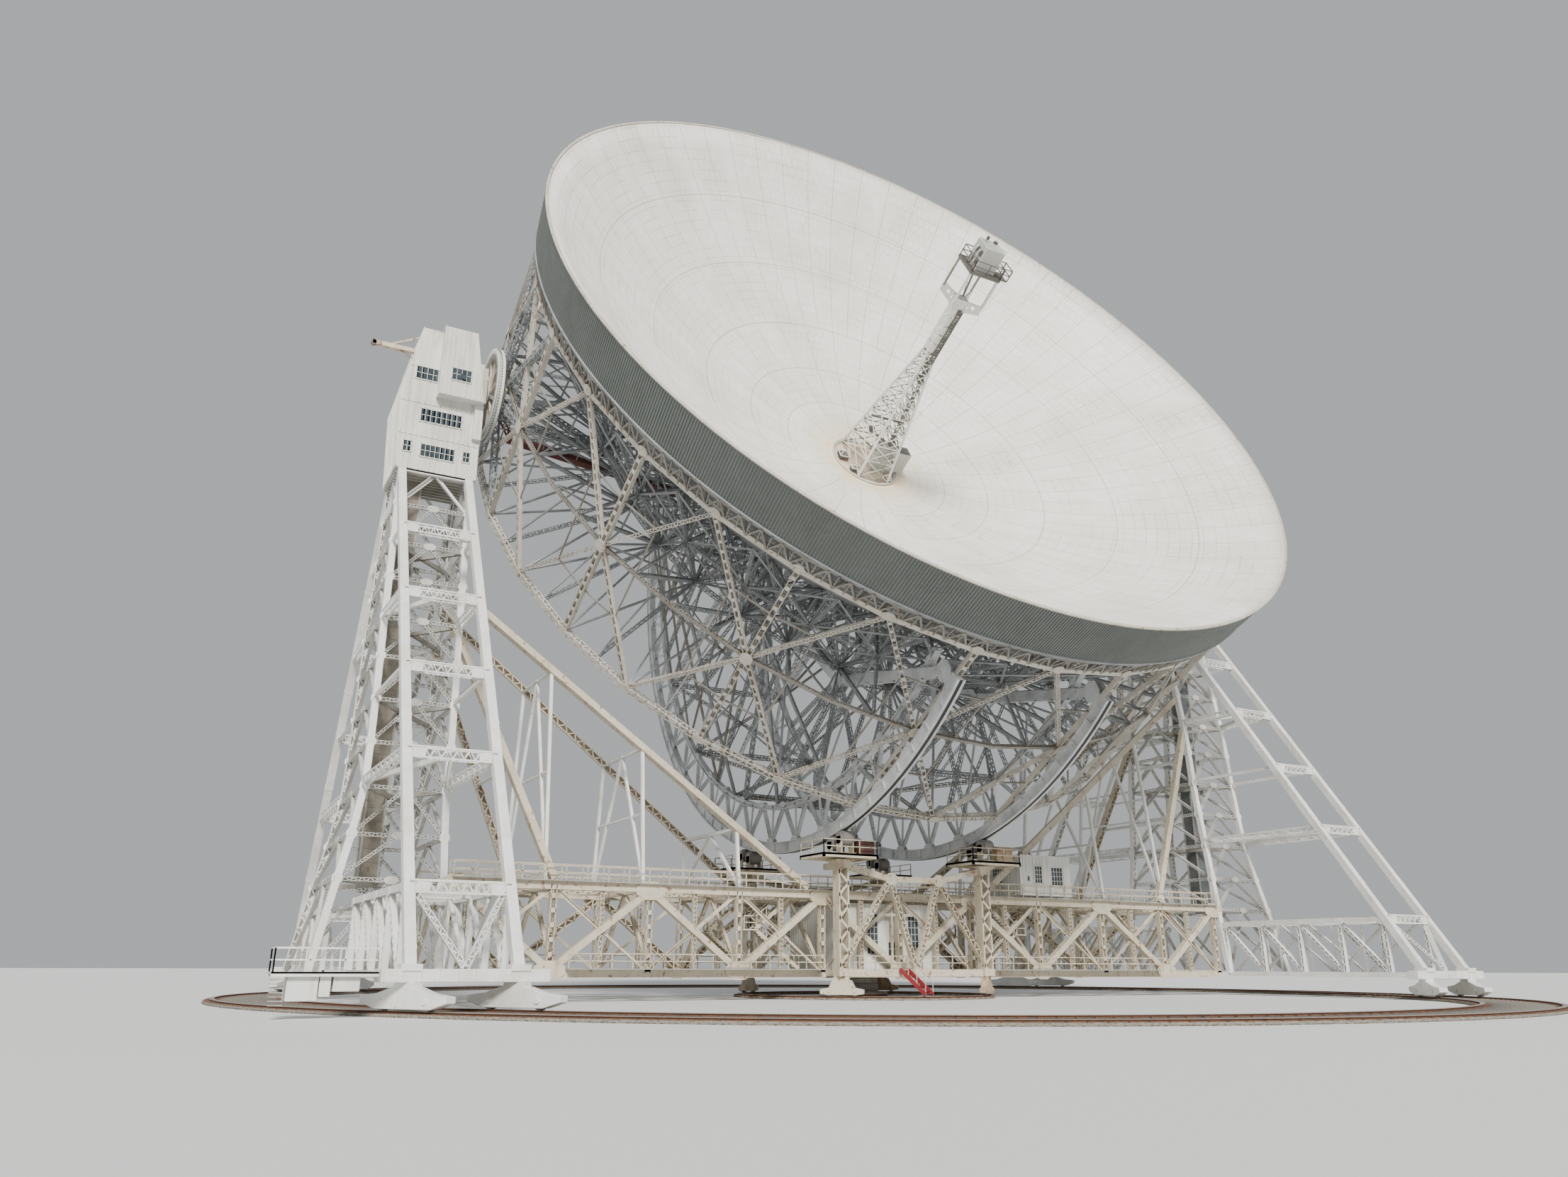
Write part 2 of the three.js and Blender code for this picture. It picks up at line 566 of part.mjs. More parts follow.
for (const [sideName, side] of SIDES) {
  part('turning', `${sideName}_long_struts`, PAINT.lit,
    (grow) => strutSolids(side, LONG_STRUT, [31.9, 24.0, 15.6], LONG_STRUT_POSTS, grow));
  part('turning', `${sideName}_steep_struts`, PAINT.lit,
    (grow) => strutSolids(side, STEEP_STRUT, [38.0, 35.0], [], grow));
}

// Bowl surfaces
const dishHeight = (r) => DISH.rim - (DISH.radius ** 2 - r ** 2) / (4 * DISH.focal);
const oldHeight = (r) => OLD_BOWL.rim - (OLD_BOWL.radius ** 2 - r ** 2) / (4 * OLD_BOWL.focal);

function shell(height, from, to, steps, thick, grow) {
  const upper = [];
  const lower = [];
  for (let i = 0; i <= steps; i += 1) {
    const r = from + ((to - from) * i) / steps;
    upper.push([r, height(r) + grow]);
    lower.unshift([r, height(r) - thick - grow]);
  }
  return turned([...upper, ...lower].reverse(), BOWL_SIDES);
}

function drumPoint(radius, n, degrees) {
  return vec(radius * Math.sin(degrees * DEGREE), -radius * Math.cos(degrees * DEGREE), n);
}

const STEP = 360 / DRUM.sides;

// Polygonal ring whose corners lie at radius on the bearings start + k * 360 / sides
function polygonRing(radius, n, width, height, sides, start, grow) {
  const inner = radius - width / 2 - grow;
  const outer = radius + width / 2 + grow;
  const low = n - height / 2 - grow;
  const high = n + height / 2 + grow;
  return turned([[inner, low], [outer, low], [outer, high], [inner, high]], sides).rotate([0, 0, start]);
}

// One star of the edge lattice: a gusset with rods to the ring beam and the lower ring
function starSolids(bearing, grow) {
  const { radius, upper, middle, lower, web, gusset } = DRUM;
  const star = drumPoint(radius, middle, bearing);
  const plate = new THREE.BoxGeometry(gusset + 2 * grow, 0.6 + 2 * grow, gusset + 2 * grow);
  plate.rotateZ(bearing * DEGREE);
  plate.translate(star.x, star.y, star.z);
  const solids = [solidOf(plate)];
  for (const n of [upper, lower]) {
    solids.push(rod(star, drumPoint(radius, n, bearing), web, grow));
    for (const step of [-STEP, STEP]) {
      solids.push(rod(star, drumPoint(radius * EDGE_CHORD_FIT, n, bearing + step * 0.93), web, grow));
    }
  }
  return solids;
}

// Block that keeps only the quarter of a ring around one bearing, a seat gap short of the next
function quarterKeeper(centre, grow) {
  const reach = 60;
  const inset = SEAT_GAP - grow;
  const geometry = new THREE.BoxGeometry(reach, reach, reach);
  geometry.translate(reach / 2 + inset, reach / 2 + inset, 0);
  geometry.rotateZ((centre - 135) * DEGREE);
  return solidOf(geometry);
}

// Quarter of the bowl's edge: ring beam, lower ring and four stars tied at mid height
function edgeLatticeSolids(centre, grow) {
  const bearings = [-3, -1, 1, 3].map((k) => centre + k * STEP);
  const solids = bearings.flatMap((bearing) => starSolids(bearing, grow));
  for (const ring of [RING_BEAM, LOWER_RING]) {
    const whole = polygonRing(DRUM.radius, ring.n, ring.width, ring.height, DRUM.sides, 0, grow);
    solids.push(whole.intersect(quarterKeeper(centre, grow)));
  }
  bearings.slice(1).forEach((bearing, i) => {
    const { radius, middle, web } = DRUM;
    solids.push(rod(drumPoint(radius, middle, bearings[i]), drumPoint(radius, middle, bearing), web, grow));
  });
  return solids;
}

// Radial ribs under the old bowl, joined by a ring at their knees and one at their toes
function ribSolids(grow) {
  const { knee, toe, head, chord, web, count } = RIB;
  const solids = [
    polygonRing(knee[0], knee[1], chord, chord, count, 180 / count, grow),
    polygonRing(toe[0], toe[1], chord, chord, count, 180 / count, grow),
  ];
  for (let k = 0; k < count; k += 1) {
    const bearing = ((k + 0.5) * 360) / count;
    const at = ([r, n]) => drumPoint(r, n, bearing);
    solids.push(rod(at(toe), at(knee), web, grow));
    if (Math.abs(Math.sin(bearing * DEGREE)) > 0.3) {
      solids.push(rod(at(knee), at(head), web, grow));
      solids.push(rod(at(knee), at([DRUM.radius, DRUM.lower]), web, grow));
    }
    const under = (radius) => [radius, oldHeight(radius) - OLD_BOWL.thick - RIB_WEB.under];
    solids.push(rod(at(knee), at(under(RIB_WEB.outer)), RIB_WEB.size, grow));
    solids.push(rod(at(RIB_WEB.foot), at(under(RIB_WEB.inner)), RIB_WEB.size, grow));
  }
  return solids;
}

function arcBand(x, outer, depth, width, end, grow) {
  const start = Math.PI - end * DEGREE;
  const stop = 2 * Math.PI + end * DEGREE;
  const steps = 26;
  const points = [];
  for (let i = 0; i <= steps; i += 1) {
    const a = start + ((stop - start) * i) / steps;
    points.push(new THREE.Vector2((outer + grow) * Math.cos(a), (outer + grow) * Math.sin(a)));
  }
  for (let i = steps; i >= 0; i -= 1) {
    const a = start + ((stop - start) * i) / steps;
    const r = outer - depth - grow;
    points.push(new THREE.Vector2(r * Math.cos(a), r * Math.sin(a)));
  }
  const options = { depth: width + 2 * grow, bevelEnabled: false };
  const geometry = new THREE.ExtrudeGeometry(new THREE.Shape(points), options);
  geometry.translate(0, 0, -width / 2 - grow);
  geometry.applyMatrix4(new THREE.Matrix4().makeBasis(vec(0, 1, 0), vec(0, 0, 1), vec(1, 0, 0)));
  geometry.translate(x, 0, 0);
  return solidOf(geometry);
}

function wheelSolids(side, grow) {
  const x = side * WHEEL.x;
  const solids = [
    arcBand(x, WHEEL.radius, WHEEL.depth, WHEEL.width, WHEEL.end, grow),
    arcBand(x, WHEEL.inner, WHEEL.innerDepth, WHEEL.width * 0.8, WHEEL.end - 2, grow),
  ];
  const onArc = (degrees, r) => vec(x, -r * Math.cos(degrees * DEGREE), -r * Math.sin(degrees * DEGREE));
  const outer = WHEEL.radius - WHEEL.depth / 2;
  const inner = WHEEL.inner - WHEEL.innerDepth / 2;
  for (let degrees = -11; degrees <= 192; degrees += 25.25) {
    solids.push(bar(onArc(degrees, inner), onArc(degrees, outer), 0.5, 0.6, grow));
  }
  const chord = WHEEL_CHORD.map(([u, n]) => vec(x, u, n));
  chord.slice(1).forEach((point, i) => solids.push(bar(chord[i], point, 0.8, 0.8, grow)));
  const spokes = [[-25.5, -4.2, 22], [-25.5, -4.2, 45], [-9.5, -10, 45], [-9.5, -10, 68], [0, -10, 90],
    [9.5, -10, 112], [9.5, -10, 135], [25.5, -4.2, 135], [25.5, -4.2, 158]];
  for (const [u, n, degrees] of spokes) {
    solids.push(rod(vec(x, u, n), onArc(degrees, inner), 0.55, grow));
  }
  solids.push(bar(chord[0], onArc(-12, outer), 0.6, 0.6, grow));
  solids.push(bar(chord[5], onArc(192, outer), 0.6, 0.6, grow));
  return solids;
}

// Bracing between the two wheel girders: ties from rim to rim with a cross between each two
function wheelTieSolids(grow) {
  const { radius, end, crossEnd, from, step, count, size, cross } = WHEEL_TIES;
  const at = (x, i) => {
    const a = (from + step * i) * DEGREE;
    return vec(x, -radius * Math.cos(a), -radius * Math.sin(a));
  };
  const solids = [];
  for (let i = 0; i < count; i += 1) {
    solids.push(rod(at(-end, i), at(end, i), size, grow));
    if (i + 1 < count) {
      solids.push(rod(at(-crossEnd, i), at(crossEnd, i + 1), cross, grow));
      solids.push(rod(at(crossEnd, i), at(-crossEnd, i + 1), cross, grow));
    }
  }
  return solids;
}

function trunnionSolids(side, grow) {
  const { x, radius, depth, half, shaft } = RACK;
  const ring = turned([[radius - depth, -half], [radius, -half], [radius, half], [radius - depth, half]], 16)
    .rotate([0, 90, 0])
    .translate([side * x, 0, 0]);
  const hub = drumAlongX(side * (x - 0.9), side * (x + 0.3), 1.1, 0, 0, 8);
  const pin = drumAlongX(side * (x - 0.9), side * (BEARING.x[1] - 0.04), shaft, 0, 0, BEARING.sides);
  const solids = [ring, hub, pin];
  for (const [y, z] of [[1, 0], [-1, 0], [0, 1], [0, -1]]) {
    const r = radius - depth / 2;
    solids.push(bar(vec(side * x, 0, 0), vec(side * x, y * r, z * r), 0.45, 0.45, grow, vec(1, 0, 0)));
  }
  for (const bearing of [78.75, 101.25]) {
    for (const n of [DRUM.middle, DRUM.lower]) {
      const node = drumPoint(DRUM.radius - 0.1, n, bearing * side);
      solids.push(rod(vec(side * (x - 0.9), 0, 0), node, 0.5, grow));
    }
  }
  return solids;
}

const CORNERS = [[-1, -1], [1, -1], [1, 1], [-1, 1]];

// Tapered mast: four legs from its oblong foot to its square waist, tied at some shares of its height
function mastSolids(grow) {
  const { foot, waist, footN, waistN, leg } = MAST;
  const at = ([x, u], t) => vec(
    x * (foot[0] + (waist - foot[0]) * t),
    u * (foot[1] + (waist - foot[1]) * t),
    footN + (waistN - footN) * t,
  );
  const solids = [];
  CORNERS.forEach((corner, k) => {
    solids.push(bar(at(corner, 0), at(corner, 1), leg, leg, grow));
    for (const t of [0.25, 0.55, 0.98]) {
      solids.push(rod(at(corner, t), at(CORNERS[(k + 1) % 4], t), leg, grow));
    }
  });
  return solids;
}

// Feed frame: a yoke of four winged plates, a post on each wing and the platform on the posts
function feedFrameSolids(grow) {
  const { yoke, wing, plate, platform, platformN } = FEED;
  const solids = [block([-platform, platform], [-platform, platform], platformN, grow)];
  for (const [x, u] of CORNERS) {
    const tip = vec(x * wing, u * wing, yoke[1]);
    solids.push(bar(vec(0, 0, yoke[0]), tip, plate[0], plate[1], grow));
    solids.push(bar(tip, vec(x * wing, u * wing, platformN[1] - 0.05), 0.22, 0.22, grow));
  }
  return solids;
}

const vertex = dishHeight(0);
part('bowl', 'dish_outer_ring', PAINT.dish, (grow) => [
  shell(dishHeight, 27, DISH.radius, 2, DISH.thick, grow),
]);
part('bowl', 'dish_middle_ring', PAINT.dish, (grow) => [
  shell(dishHeight, 15, 27 - SEAT_GAP, 2, DISH.thick, grow),
]);
part('bowl', 'dish_centre', PAINT.dish, (grow) => [
  turned([[0, vertex + grow], [7.5, dishHeight(7.5) + grow], [15 - SEAT_GAP, dishHeight(15) + grow],
    [15 - SEAT_GAP, dishHeight(15) - DISH.thick - grow], [7.5, dishHeight(7.5) - DISH.thick - grow],
    [0, vertex - DISH.thick - grow]].reverse(), BOWL_SIDES),
]);
part('bowl', 'rim_skirt', PAINT.skirt, (grow) => [
  turned([[OLD_BOWL.radius - SKIRT_THICK - grow, OLD_BOWL.rim - 0.3 - grow],
    [OLD_BOWL.radius + grow, OLD_BOWL.rim - 0.3 - grow],
    [DISH.radius + SKIRT_THICK + grow, DISH.rim + grow],
    [DISH.radius + SEAT_GAP + 0.02 - grow, DISH.rim + grow]], BOWL_SIDES),
]);
part('bowl', 'old_bowl', PAINT.skirt, (grow) => [
  turned([[0, oldHeight(0) + grow], [12, oldHeight(12) + grow], [25, oldHeight(25) + grow],
    [OLD_BOWL.edge, oldHeight(OLD_BOWL.edge) + grow],
    [OLD_BOWL.edge, oldHeight(OLD_BOWL.edge) - OLD_BOWL.thick - grow],
    [25, oldHeight(25) - OLD_BOWL.thick - grow], [12, oldHeight(12) - OLD_BOWL.thick - grow],
    [0, oldHeight(0) - OLD_BOWL.thick - grow]].reverse(), BOWL_SIDES),
]);
for (const [sideName, side] of SIDES) {
  part('bowl', `${sideName}_wheel_girder`, PAINT.lattice, (grow) => wheelSolids(side, grow));
}
for (const [name, centre] of [['front', 0], ['right', 90], ['back', 180], ['left', 270]]) {
  part('bowl', `${name}_edge_lattice`, PAINT.lit, (grow) => edgeLatticeSolids(centre, grow));
}
part('bowl', 'bowl_ribs', PAINT.lattice, (grow) => ribSolids(grow));
part('bowl', 'wheel_cross_bracing', PAINT.lattice, (grow) => wheelTieSolids(grow));
for (const [sideName, side] of SIDES) {
  part('bowl', `${sideName}_trunnion`, PAINT.lattice, (grow) => trunnionSolids(side, grow));
}
part('bowl', 'left_axis_walkway', PAINT.redwalk, (grow) => {
  const { hub, from, to, width, height } = AXIS_BEAM;
  return [
    bar(vec(-from[0], 0, from[1]), vec(-to[0], 0, to[1]), width, height, grow),
    bar(vec(-hub[0], 0, hub[1]), vec(-from[0] + 0.3, 0, from[1]), 0.5, 0.5, grow),
  ];
});
part('bowl', 'mast_lower', PAINT.lit, (grow) => {
  const { inner, outer, top } = MAST_PAD;
  const seat = (r) => dishHeight(r) + SEAT_GAP;
  const profile = [[inner, seat(inner)], [outer, seat(outer)], [outer, top + grow], [inner, top + grow]];
  return [turned(profile, 16), ...mastSolids(grow)];
});
part('bowl', 'mast_hut', PAINT.cladding, (grow) => [block(MAST_HUT.x, MAST_HUT.u, MAST_HUT.n, grow)]);
part('bowl', 'mast_upper', PAINT.lit, (grow) => [
  bar(vec(0, 0, MAST.waistN), vec(0, 0, MAST.headN), MAST.shaft, MAST.shaft, grow),
]);
part('bowl', 'feed_frame', PAINT.lit, (grow) => feedFrameSolids(grow));
part('bowl', 'focus_box', PAINT.cladding, (grow) => [
  block([-FEED.box / 2, FEED.box / 2], [-FEED.box / 2, FEED.box / 2], [FEED.platformN[1], FEED.boxTop], grow),
]);

const telescope = new THREE.Group();
const track = buildGroup(recipes.track);
const turning = buildGroup(recipes.turning);
turning.position.z = RAIL_TOP * M;
const bowl = buildGroup(recipes.bowl);
bowl.position.z = AXIS_HEIGHT * M;
bowl.rotation.x = REST_TILT * DEGREE;
turning.add(bowl);
telescope.add(track, turning);

export default telescope;
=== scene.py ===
"""Fully steerable radio telescope, 1:10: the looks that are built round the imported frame.

Each sub-assembly is a class that holds its sizes in metres of the full-size telescope.
Three places carry them: the fixed tracks, the turning frame, and the tipped bowl.
"""

import logging
import math
from collections.abc import Iterable, Sequence
from dataclasses import dataclass
from enum import Enum
from itertools import product

import bmesh
import bpy
import numpy as np
from mathutils import Matrix, Vector


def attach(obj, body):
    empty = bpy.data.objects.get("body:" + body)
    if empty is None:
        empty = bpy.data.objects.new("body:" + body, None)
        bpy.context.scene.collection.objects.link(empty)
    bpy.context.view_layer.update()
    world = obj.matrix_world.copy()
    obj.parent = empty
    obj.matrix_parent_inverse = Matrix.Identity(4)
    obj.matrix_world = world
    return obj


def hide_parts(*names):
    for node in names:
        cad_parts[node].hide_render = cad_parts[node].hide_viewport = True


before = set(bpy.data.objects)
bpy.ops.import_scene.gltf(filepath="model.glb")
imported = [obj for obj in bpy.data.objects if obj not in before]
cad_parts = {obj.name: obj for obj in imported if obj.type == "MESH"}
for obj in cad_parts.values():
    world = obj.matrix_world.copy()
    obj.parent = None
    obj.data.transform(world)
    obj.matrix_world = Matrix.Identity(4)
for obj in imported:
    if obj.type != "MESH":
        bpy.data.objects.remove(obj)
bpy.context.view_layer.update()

log = logging.getLogger("telescope")

SCALE = 0.1
RAIL_TOP = 0.3
AXIS_HEIGHT = 50.5
REST_TILT = math.radians(60.8)
UP = (0.0, 0.0, 1.0)
SIDES = (("left", -1), ("right", 1))
ENDS = (("front", -1), ("back", 1))

Point = Sequence[float]


class Place(Enum):
    """The three bodies and how full-size metres lie in each at rest."""

    TRACK = "track"
    TURNING = "turning_frame"
    BOWL = "bowl"

    def matrix(self) -> Matrix:
        """Returns the matrix from full-size metres to the model's frame.

        Returns:
            The matrix.
        """
        scale = Matrix.Scale(SCALE, 4)
        if self is Place.TRACK:
            return scale
        if self is Place.TURNING:
            return scale @ Matrix.Translation((0, 0, RAIL_TOP))
        return (
            scale
            @ Matrix.Translation((0, 0, RAIL_TOP + AXIS_HEIGHT))
            @ Matrix.Rotation(REST_TILT, 4, "X")
        )


def polar(radius: float, n: float, degrees: float) -> np.ndarray:
    """Point of the bowl at a radius and height; bearing 0 is the bowl's lower edge, 90 its right.

    Args:
        radius: distance from the bowl's axis.
        n: height along the axis from the elevation axis.
        degrees: bearing round the bowl.

    Returns:
        The point in the bowl's own frame.
    """
    a = math.radians(degrees)
    return np.array((radius * math.sin(a), -radius * math.cos(a), n))


def between(a: Point, b: Point, t: float) -> np.ndarray:
    """Returns the point at share t of the way from a to b."""
    return np.array(a, float) * (1 - t) + np.array(b, float) * t


# Shapes that recur are made once and stamped
class Shape:
    """A small closed shape, made once with bmesh operators and stamped wherever it recurs."""

    def __init__(self, bm: bmesh.types.BMesh) -> None:
        """Keeps the shape's corners and faces.

        Args:
            bm: the finished bmesh, which is freed here.
        """
        bmesh.ops.recalc_face_normals(bm, faces=bm.faces)
        bm.verts.index_update()
        self.corners = np.array([v.co[:] for v in bm.verts], float)
        self.counts = np.array([len(f.verts) for f in bm.faces], np.int32)
        self.loops = np.array([v.index for f in bm.faces for v in f.verts], np.int32)
        bm.free()


def box_bm(low: Point, high: Point, bm: bmesh.types.BMesh | None = None) -> bmesh.types.BMesh:
    """Adds a box between two corners to a bmesh.

    Args:
        low: lowest corner.
        high: highest corner.
        bm: the bmesh to add to, or None for a new one.

    Returns:
        The bmesh.
    """
    bm = bm or bmesh.new()
    size = [h - l for l, h in zip(low, high)]
    middle = [(h + l) / 2 for l, h in zip(low, high)]
    matrix = Matrix.Translation(middle) @ Matrix.Diagonal((*size, 1))
    bmesh.ops.create_cube(bm, size=1, matrix=matrix)
    return bm


def slanted(bm: bmesh.types.BMesh, a: Point, b: Point, across: float, thick: float, normal: Point) -> None:
    """Adds a flat bar from a to b, lying in the face with the given normal.

    Args:
        bm: the bmesh to add to.
        a: first end.
        b: second end.
        across: its width.
        thick: its thickness.
        normal: normal of the face.
    """
    start, end, out = Vector(a), Vector(b), Vector(normal)
    along = (end - start).normalized()
    side = along.cross(out).normalized()
    turn = Matrix((side, out, along)).transposed().to_4x4()
    size = Matrix.Diagonal((across, thick, (end - start).length, 1))
    bmesh.ops.create_cube(bm, size=1, matrix=Matrix.Translation((start + end) / 2) @ turn @ size)


def cylinder(bm: bmesh.types.BMesh, radius: float, depth: float, segments: int, turn: Matrix) -> None:
    """Adds a capped cylinder along the matrix's Z."""
    bmesh.ops.create_cone(bm, cap_ends=True, segments=segments, radius1=radius, radius2=radius, depth=depth,
                          matrix=turn)


def soften(bm: bmesh.types.BMesh, offset: float, segments: int) -> None:
    """Bevels all edges, as a folded or welded plate has them."""
    bmesh.ops.bevel(bm, geom=bm.edges[:], offset=offset, affect="EDGES", segments=segments, profile=0.5,
                    material=-1)


class Build(Enum):
    """How a steel member is built up."""

    PLATED = "closed box of plates"
    LACED = "four angles laced on all faces"
    CHANNELS = "two channels laced on two faces"
    BATTENED = "two channels with batten plates"
    LEG = "three plates, laced on the fourth face"
    ANGLE = "single angle"
    TUBE = "round bar"


def lacing(faces: Sequence[tuple[Point, Point]], thick: float = 0.05, across: float = 0.13) -> Shape:
    """Zig-zag flat bars over one unit cell.

    Args:
        faces: for each laced face, its outward normal and the direction across it.
        thick: thickness of a bar as a share of the member.
        across: width of a bar as a share of the member.

    Returns:
        The cell as a shape, one unit long.
    """
    bm = bmesh.new()
    for out, side in faces:
        o, s = Vector(out) * (0.5 - thick / 2), Vector(side) * 0.46
        slanted(bm, o - s, o + s + Vector((0, 0, 0.5)), across, thick, out)
        slanted(bm, o + s + Vector((0, 0, 0.5)), o - s + Vector((0, 0, 1)), across, thick, out)
    return Shape(bm)


def battens() -> Shape:
    """Returns a pair of batten plates in one unit cell."""
    bm = box_bm((-0.45, 0.44, 0.1), (0.45, 0.5, 0.42))
    return Shape(box_bm((-0.45, -0.5, 0.1), (0.45, -0.44, 0.42), bm))


def webs(front: bool) -> Shape:
    """Makes two side channels of unit length.

    Args:
        front: whether a plate closes the front.

    Returns:
        The shape.
    """
    bm = box_bm((-0.5, -0.5, 0), (-0.36, 0.5, 1))
    box_bm((0.36, -0.5, 0), (0.5, 0.5, 1), bm)
    if front:
        box_bm((-0.36, 0.4, 0), (0.36, 0.5, 1), bm)
    return Shape(bm)


def four_angles() -> Shape:
    """Makes four corner angles of unit length.

    Returns:
        The shape.
    """
    bm = bmesh.new()
    for x in (-0.5, 0.32):
        for y in (-0.5, 0.32):
            box_bm((x, y, 0), (x + 0.18, y + 0.18, 1), bm)
    return Shape(bm)


def single_angle() -> Shape:
    """Returns one angle section of unit length."""
    return Shape(box_bm((-0.5, -0.5, 0), (-0.32, 0.5, 1), box_bm((-0.32, -0.5, 0), (0.5, -0.32, 1))))


def prism(turn: Matrix) -> Shape:
    """Makes an eight-sided bar of unit length and thickness.

    Args:
        turn: the matrix that places it.

    Returns:
        The shape.
    """
    bm = bmesh.new()
    cylinder(bm, 0.5, 1, 8, turn)
    return Shape(bm)


Y_FACES = [((0, 1, 0), (1, 0, 0)), ((0, -1, 0), (-1, 0, 0))]
X_FACES = [((1, 0, 0), (0, 1, 0)), ((-1, 0, 0), (0, -1, 0))]
CUBE = Shape(box_bm((-0.5, -0.5, 0), (0.5, 0.5, 1)))
TUBE = prism(Matrix.Translation((0, 0, 0.5)))
GUSSET = prism(Matrix.Rotation(math.pi / 2, 4, "X") @ Matrix.Rotation(math.pi / 8, 4, "Z"))
FRAMES = {
    Build.LACED: four_angles(),
    Build.CHANNELS: webs(False),
    Build.BATTENED: webs(False),
    Build.LEG: webs(True),
    Build.ANGLE: single_angle(),
    Build.TUBE: TUBE,
    Build.PLATED: CUBE,
}
CELLS = {
    Build.LACED: (lacing(Y_FACES + X_FACES), 2.0),
    Build.CHANNELS: (lacing(Y_FACES), 2.0),
    Build.BATTENED: (battens(), 2.2),
    Build.LEG: (lacing(Y_FACES[1:]), 2.0),
}


class Steelwork:
    """Collects stamped shapes, in full-size metres, and turns them into one mesh."""

    def __init__(self) -> None:
        """Starts empty."""
        self._stamps: dict[tuple[int, int], tuple[Shape, list[np.ndarray]]] = {}

    def stamp(self, shape: Shape, matrix: np.ndarray, coat: int = 0) -> None:
        """Puts a copy of the shape where the matrix says, in the given coat of paint."""
        self._stamps.setdefault((id(shape), coat), (shape, []))[1].append(matrix)

    @staticmethod
    def axes(a: Point, b: Point, up: Point) -> tuple[np.ndarray, np.ndarray, np.ndarray, float]:
        """Works out how a member lies.

        Args:
            a: first end.
            b: second end.
            up: direction that its top faces, at least roughly.

        Returns:
            The directions of its width, depth and length, and its length.
        """
        along = np.array(b, float) - np.array(a, float)
        length = float(np.linalg.norm(along))
        along /= length
        ref = np.array(up, float)
        if abs(along @ ref) > 0.985:
            ref = np.array((0.0, 1.0, 0.0) if abs(along[1]) < 0.9 else (1.0, 0.0, 0.0))
        side = np.cross(ref, along)
        side /= np.linalg.norm(side)
        return side, np.cross(along, side), along, length

    def member(self, a: Point, b: Point, width: float, depth: float, build: Build = Build.PLATED,
               up: Point = UP, coat: int = 0) -> None:
        """Adds a member from a to b.

        Args:
            a: its start.
            b: its end.
            width: its size across.
            depth: its size along the up direction.
            build: how it is built up.
            up: direction of its depth; a leg's closed plate faces it.
            coat: index of its paint.
        """
        side, top, along, length = self.axes(a, b, up)
        m = np.eye(4)
        m[:3, 0], m[:3, 1], m[:3, 2], m[:3, 3] = side * width, top * depth, along * length, a
        self.stamp(FRAMES[build], m, coat)
        if build in CELLS:
            cell, pitch = CELLS[build]
            count = max(1, round(length / (pitch * width)))
            for i in range(count):
                c = m.copy()
                c[:3, 2] = along * (length / count)
                c[:3, 3] = np.array(a, float) + along * (length * i / count)
                self.stamp(cell, c, coat)

    def bar(self, a: Point, b: Point, size: float, coat: int = 0, up: Point = UP) -> None:
        """Adds a plain square bar."""
        self.member(a, b, size, size, Build.PLATED, up, coat)

    def block(self, x: Point, y: Point, z: Point, coat: int = 0) -> None:
        """Adds a box between two corners, each axis given as its two ends.

        Args:
            x: ends across.
            y: ends along.
            z: lowest and highest point.
            coat: index of the paint.
        """
        m = np.diag((x[1] - x[0], y[1] - y[0], z[1] - z[0], 1.0))
        m[:3, 3] = ((x[0] + x[1]) / 2, (y[0] + y[1]) / 2, z[0])
        self.stamp(CUBE, m, coat)

    def post(self, x: float, y: float, half: float, z: Point, coat: int = 0) -> None:
        """Adds an upright square block centred on x and y."""
        self.block((x - half, x + half), (y - half, y + half), z, coat)

    def hoop(self, x: Point, y: Point, z: Point, half: float, over: float = 0.0, coat: int = 0) -> None:
        """Adds four blocks along a rectangle's edges.

        Args:
            x: the rectangle's ends across.
            y: its ends along.
            z: the blocks' lowest and highest points.
            half: half a block's width.
            over: how far the blocks that run across pass the corners.
            coat: index of their paint.
        """
        for v in y:
            self.block((x[0] - over, x[1] + over), (v - half, v + half), z, coat)
        for u in x:
            self.block((u - half, u + half), y, z, coat)

    def gusset(self, centre: Point, wide: Point, normal: Point, size: float, thick: float,
               tall: float | None = None, coat: int = 0) -> None:
        """Adds an eight-sided plate.

        Args:
            centre: its middle.
            wide: direction of its width.
            normal: direction of its thickness.
            size: its width.
            thick: its thickness.
            tall: its height, or None for its width.
            coat: index of its paint.
        """
        x = np.array(wide, float)
        y = np.array(normal, float)
        x /= np.linalg.norm(x)
        y = y - x * (x @ y)
        y /= np.linalg.norm(y)
        m = np.eye(4)
        m[:3, 0], m[:3, 1], m[:3, 2] = x * size, y * thick, np.cross(x, y) * (tall or size)
        m[:3, 3] = centre
        self.stamp(GUSSET, m, coat)

    def chain(self, points: Sequence[Point], width: float, depth: float, build: Build = Build.PLATED,
              up: Point = UP, coat: int = 0) -> None:
        """Adds members from each point to the next."""
        for a, b in zip(points, points[1:]):
            self.member(a, b, width, depth, build, up, coat)

    def railing(self, points: Sequence[Point], height: float = 1.1, coat: int = 0, up: Point = UP) -> None:
        """Adds a hand rail, a knee rail and posts along a path.

        Args:
            points: the path at floor level.
            height: height of the top rail.
            coat: index of the paint.
            up: direction of the posts.
        """
        lift = np.array(up, float)
        for a, b in zip(points, points[1:]):
            a, b = np.array(a, float), np.array(b, float)
            for share in (0.5, 1.0):
                self.bar(a + lift * height * share, b + lift * height * share, 0.07, coat, up)
            count = max(1, round(float(np.linalg.norm(b - a)) / 1.7))
            for i in range(count + 1):
                foot = between(a, b, i / count)
                self.bar(foot, foot + lift * height, 0.07, coat)

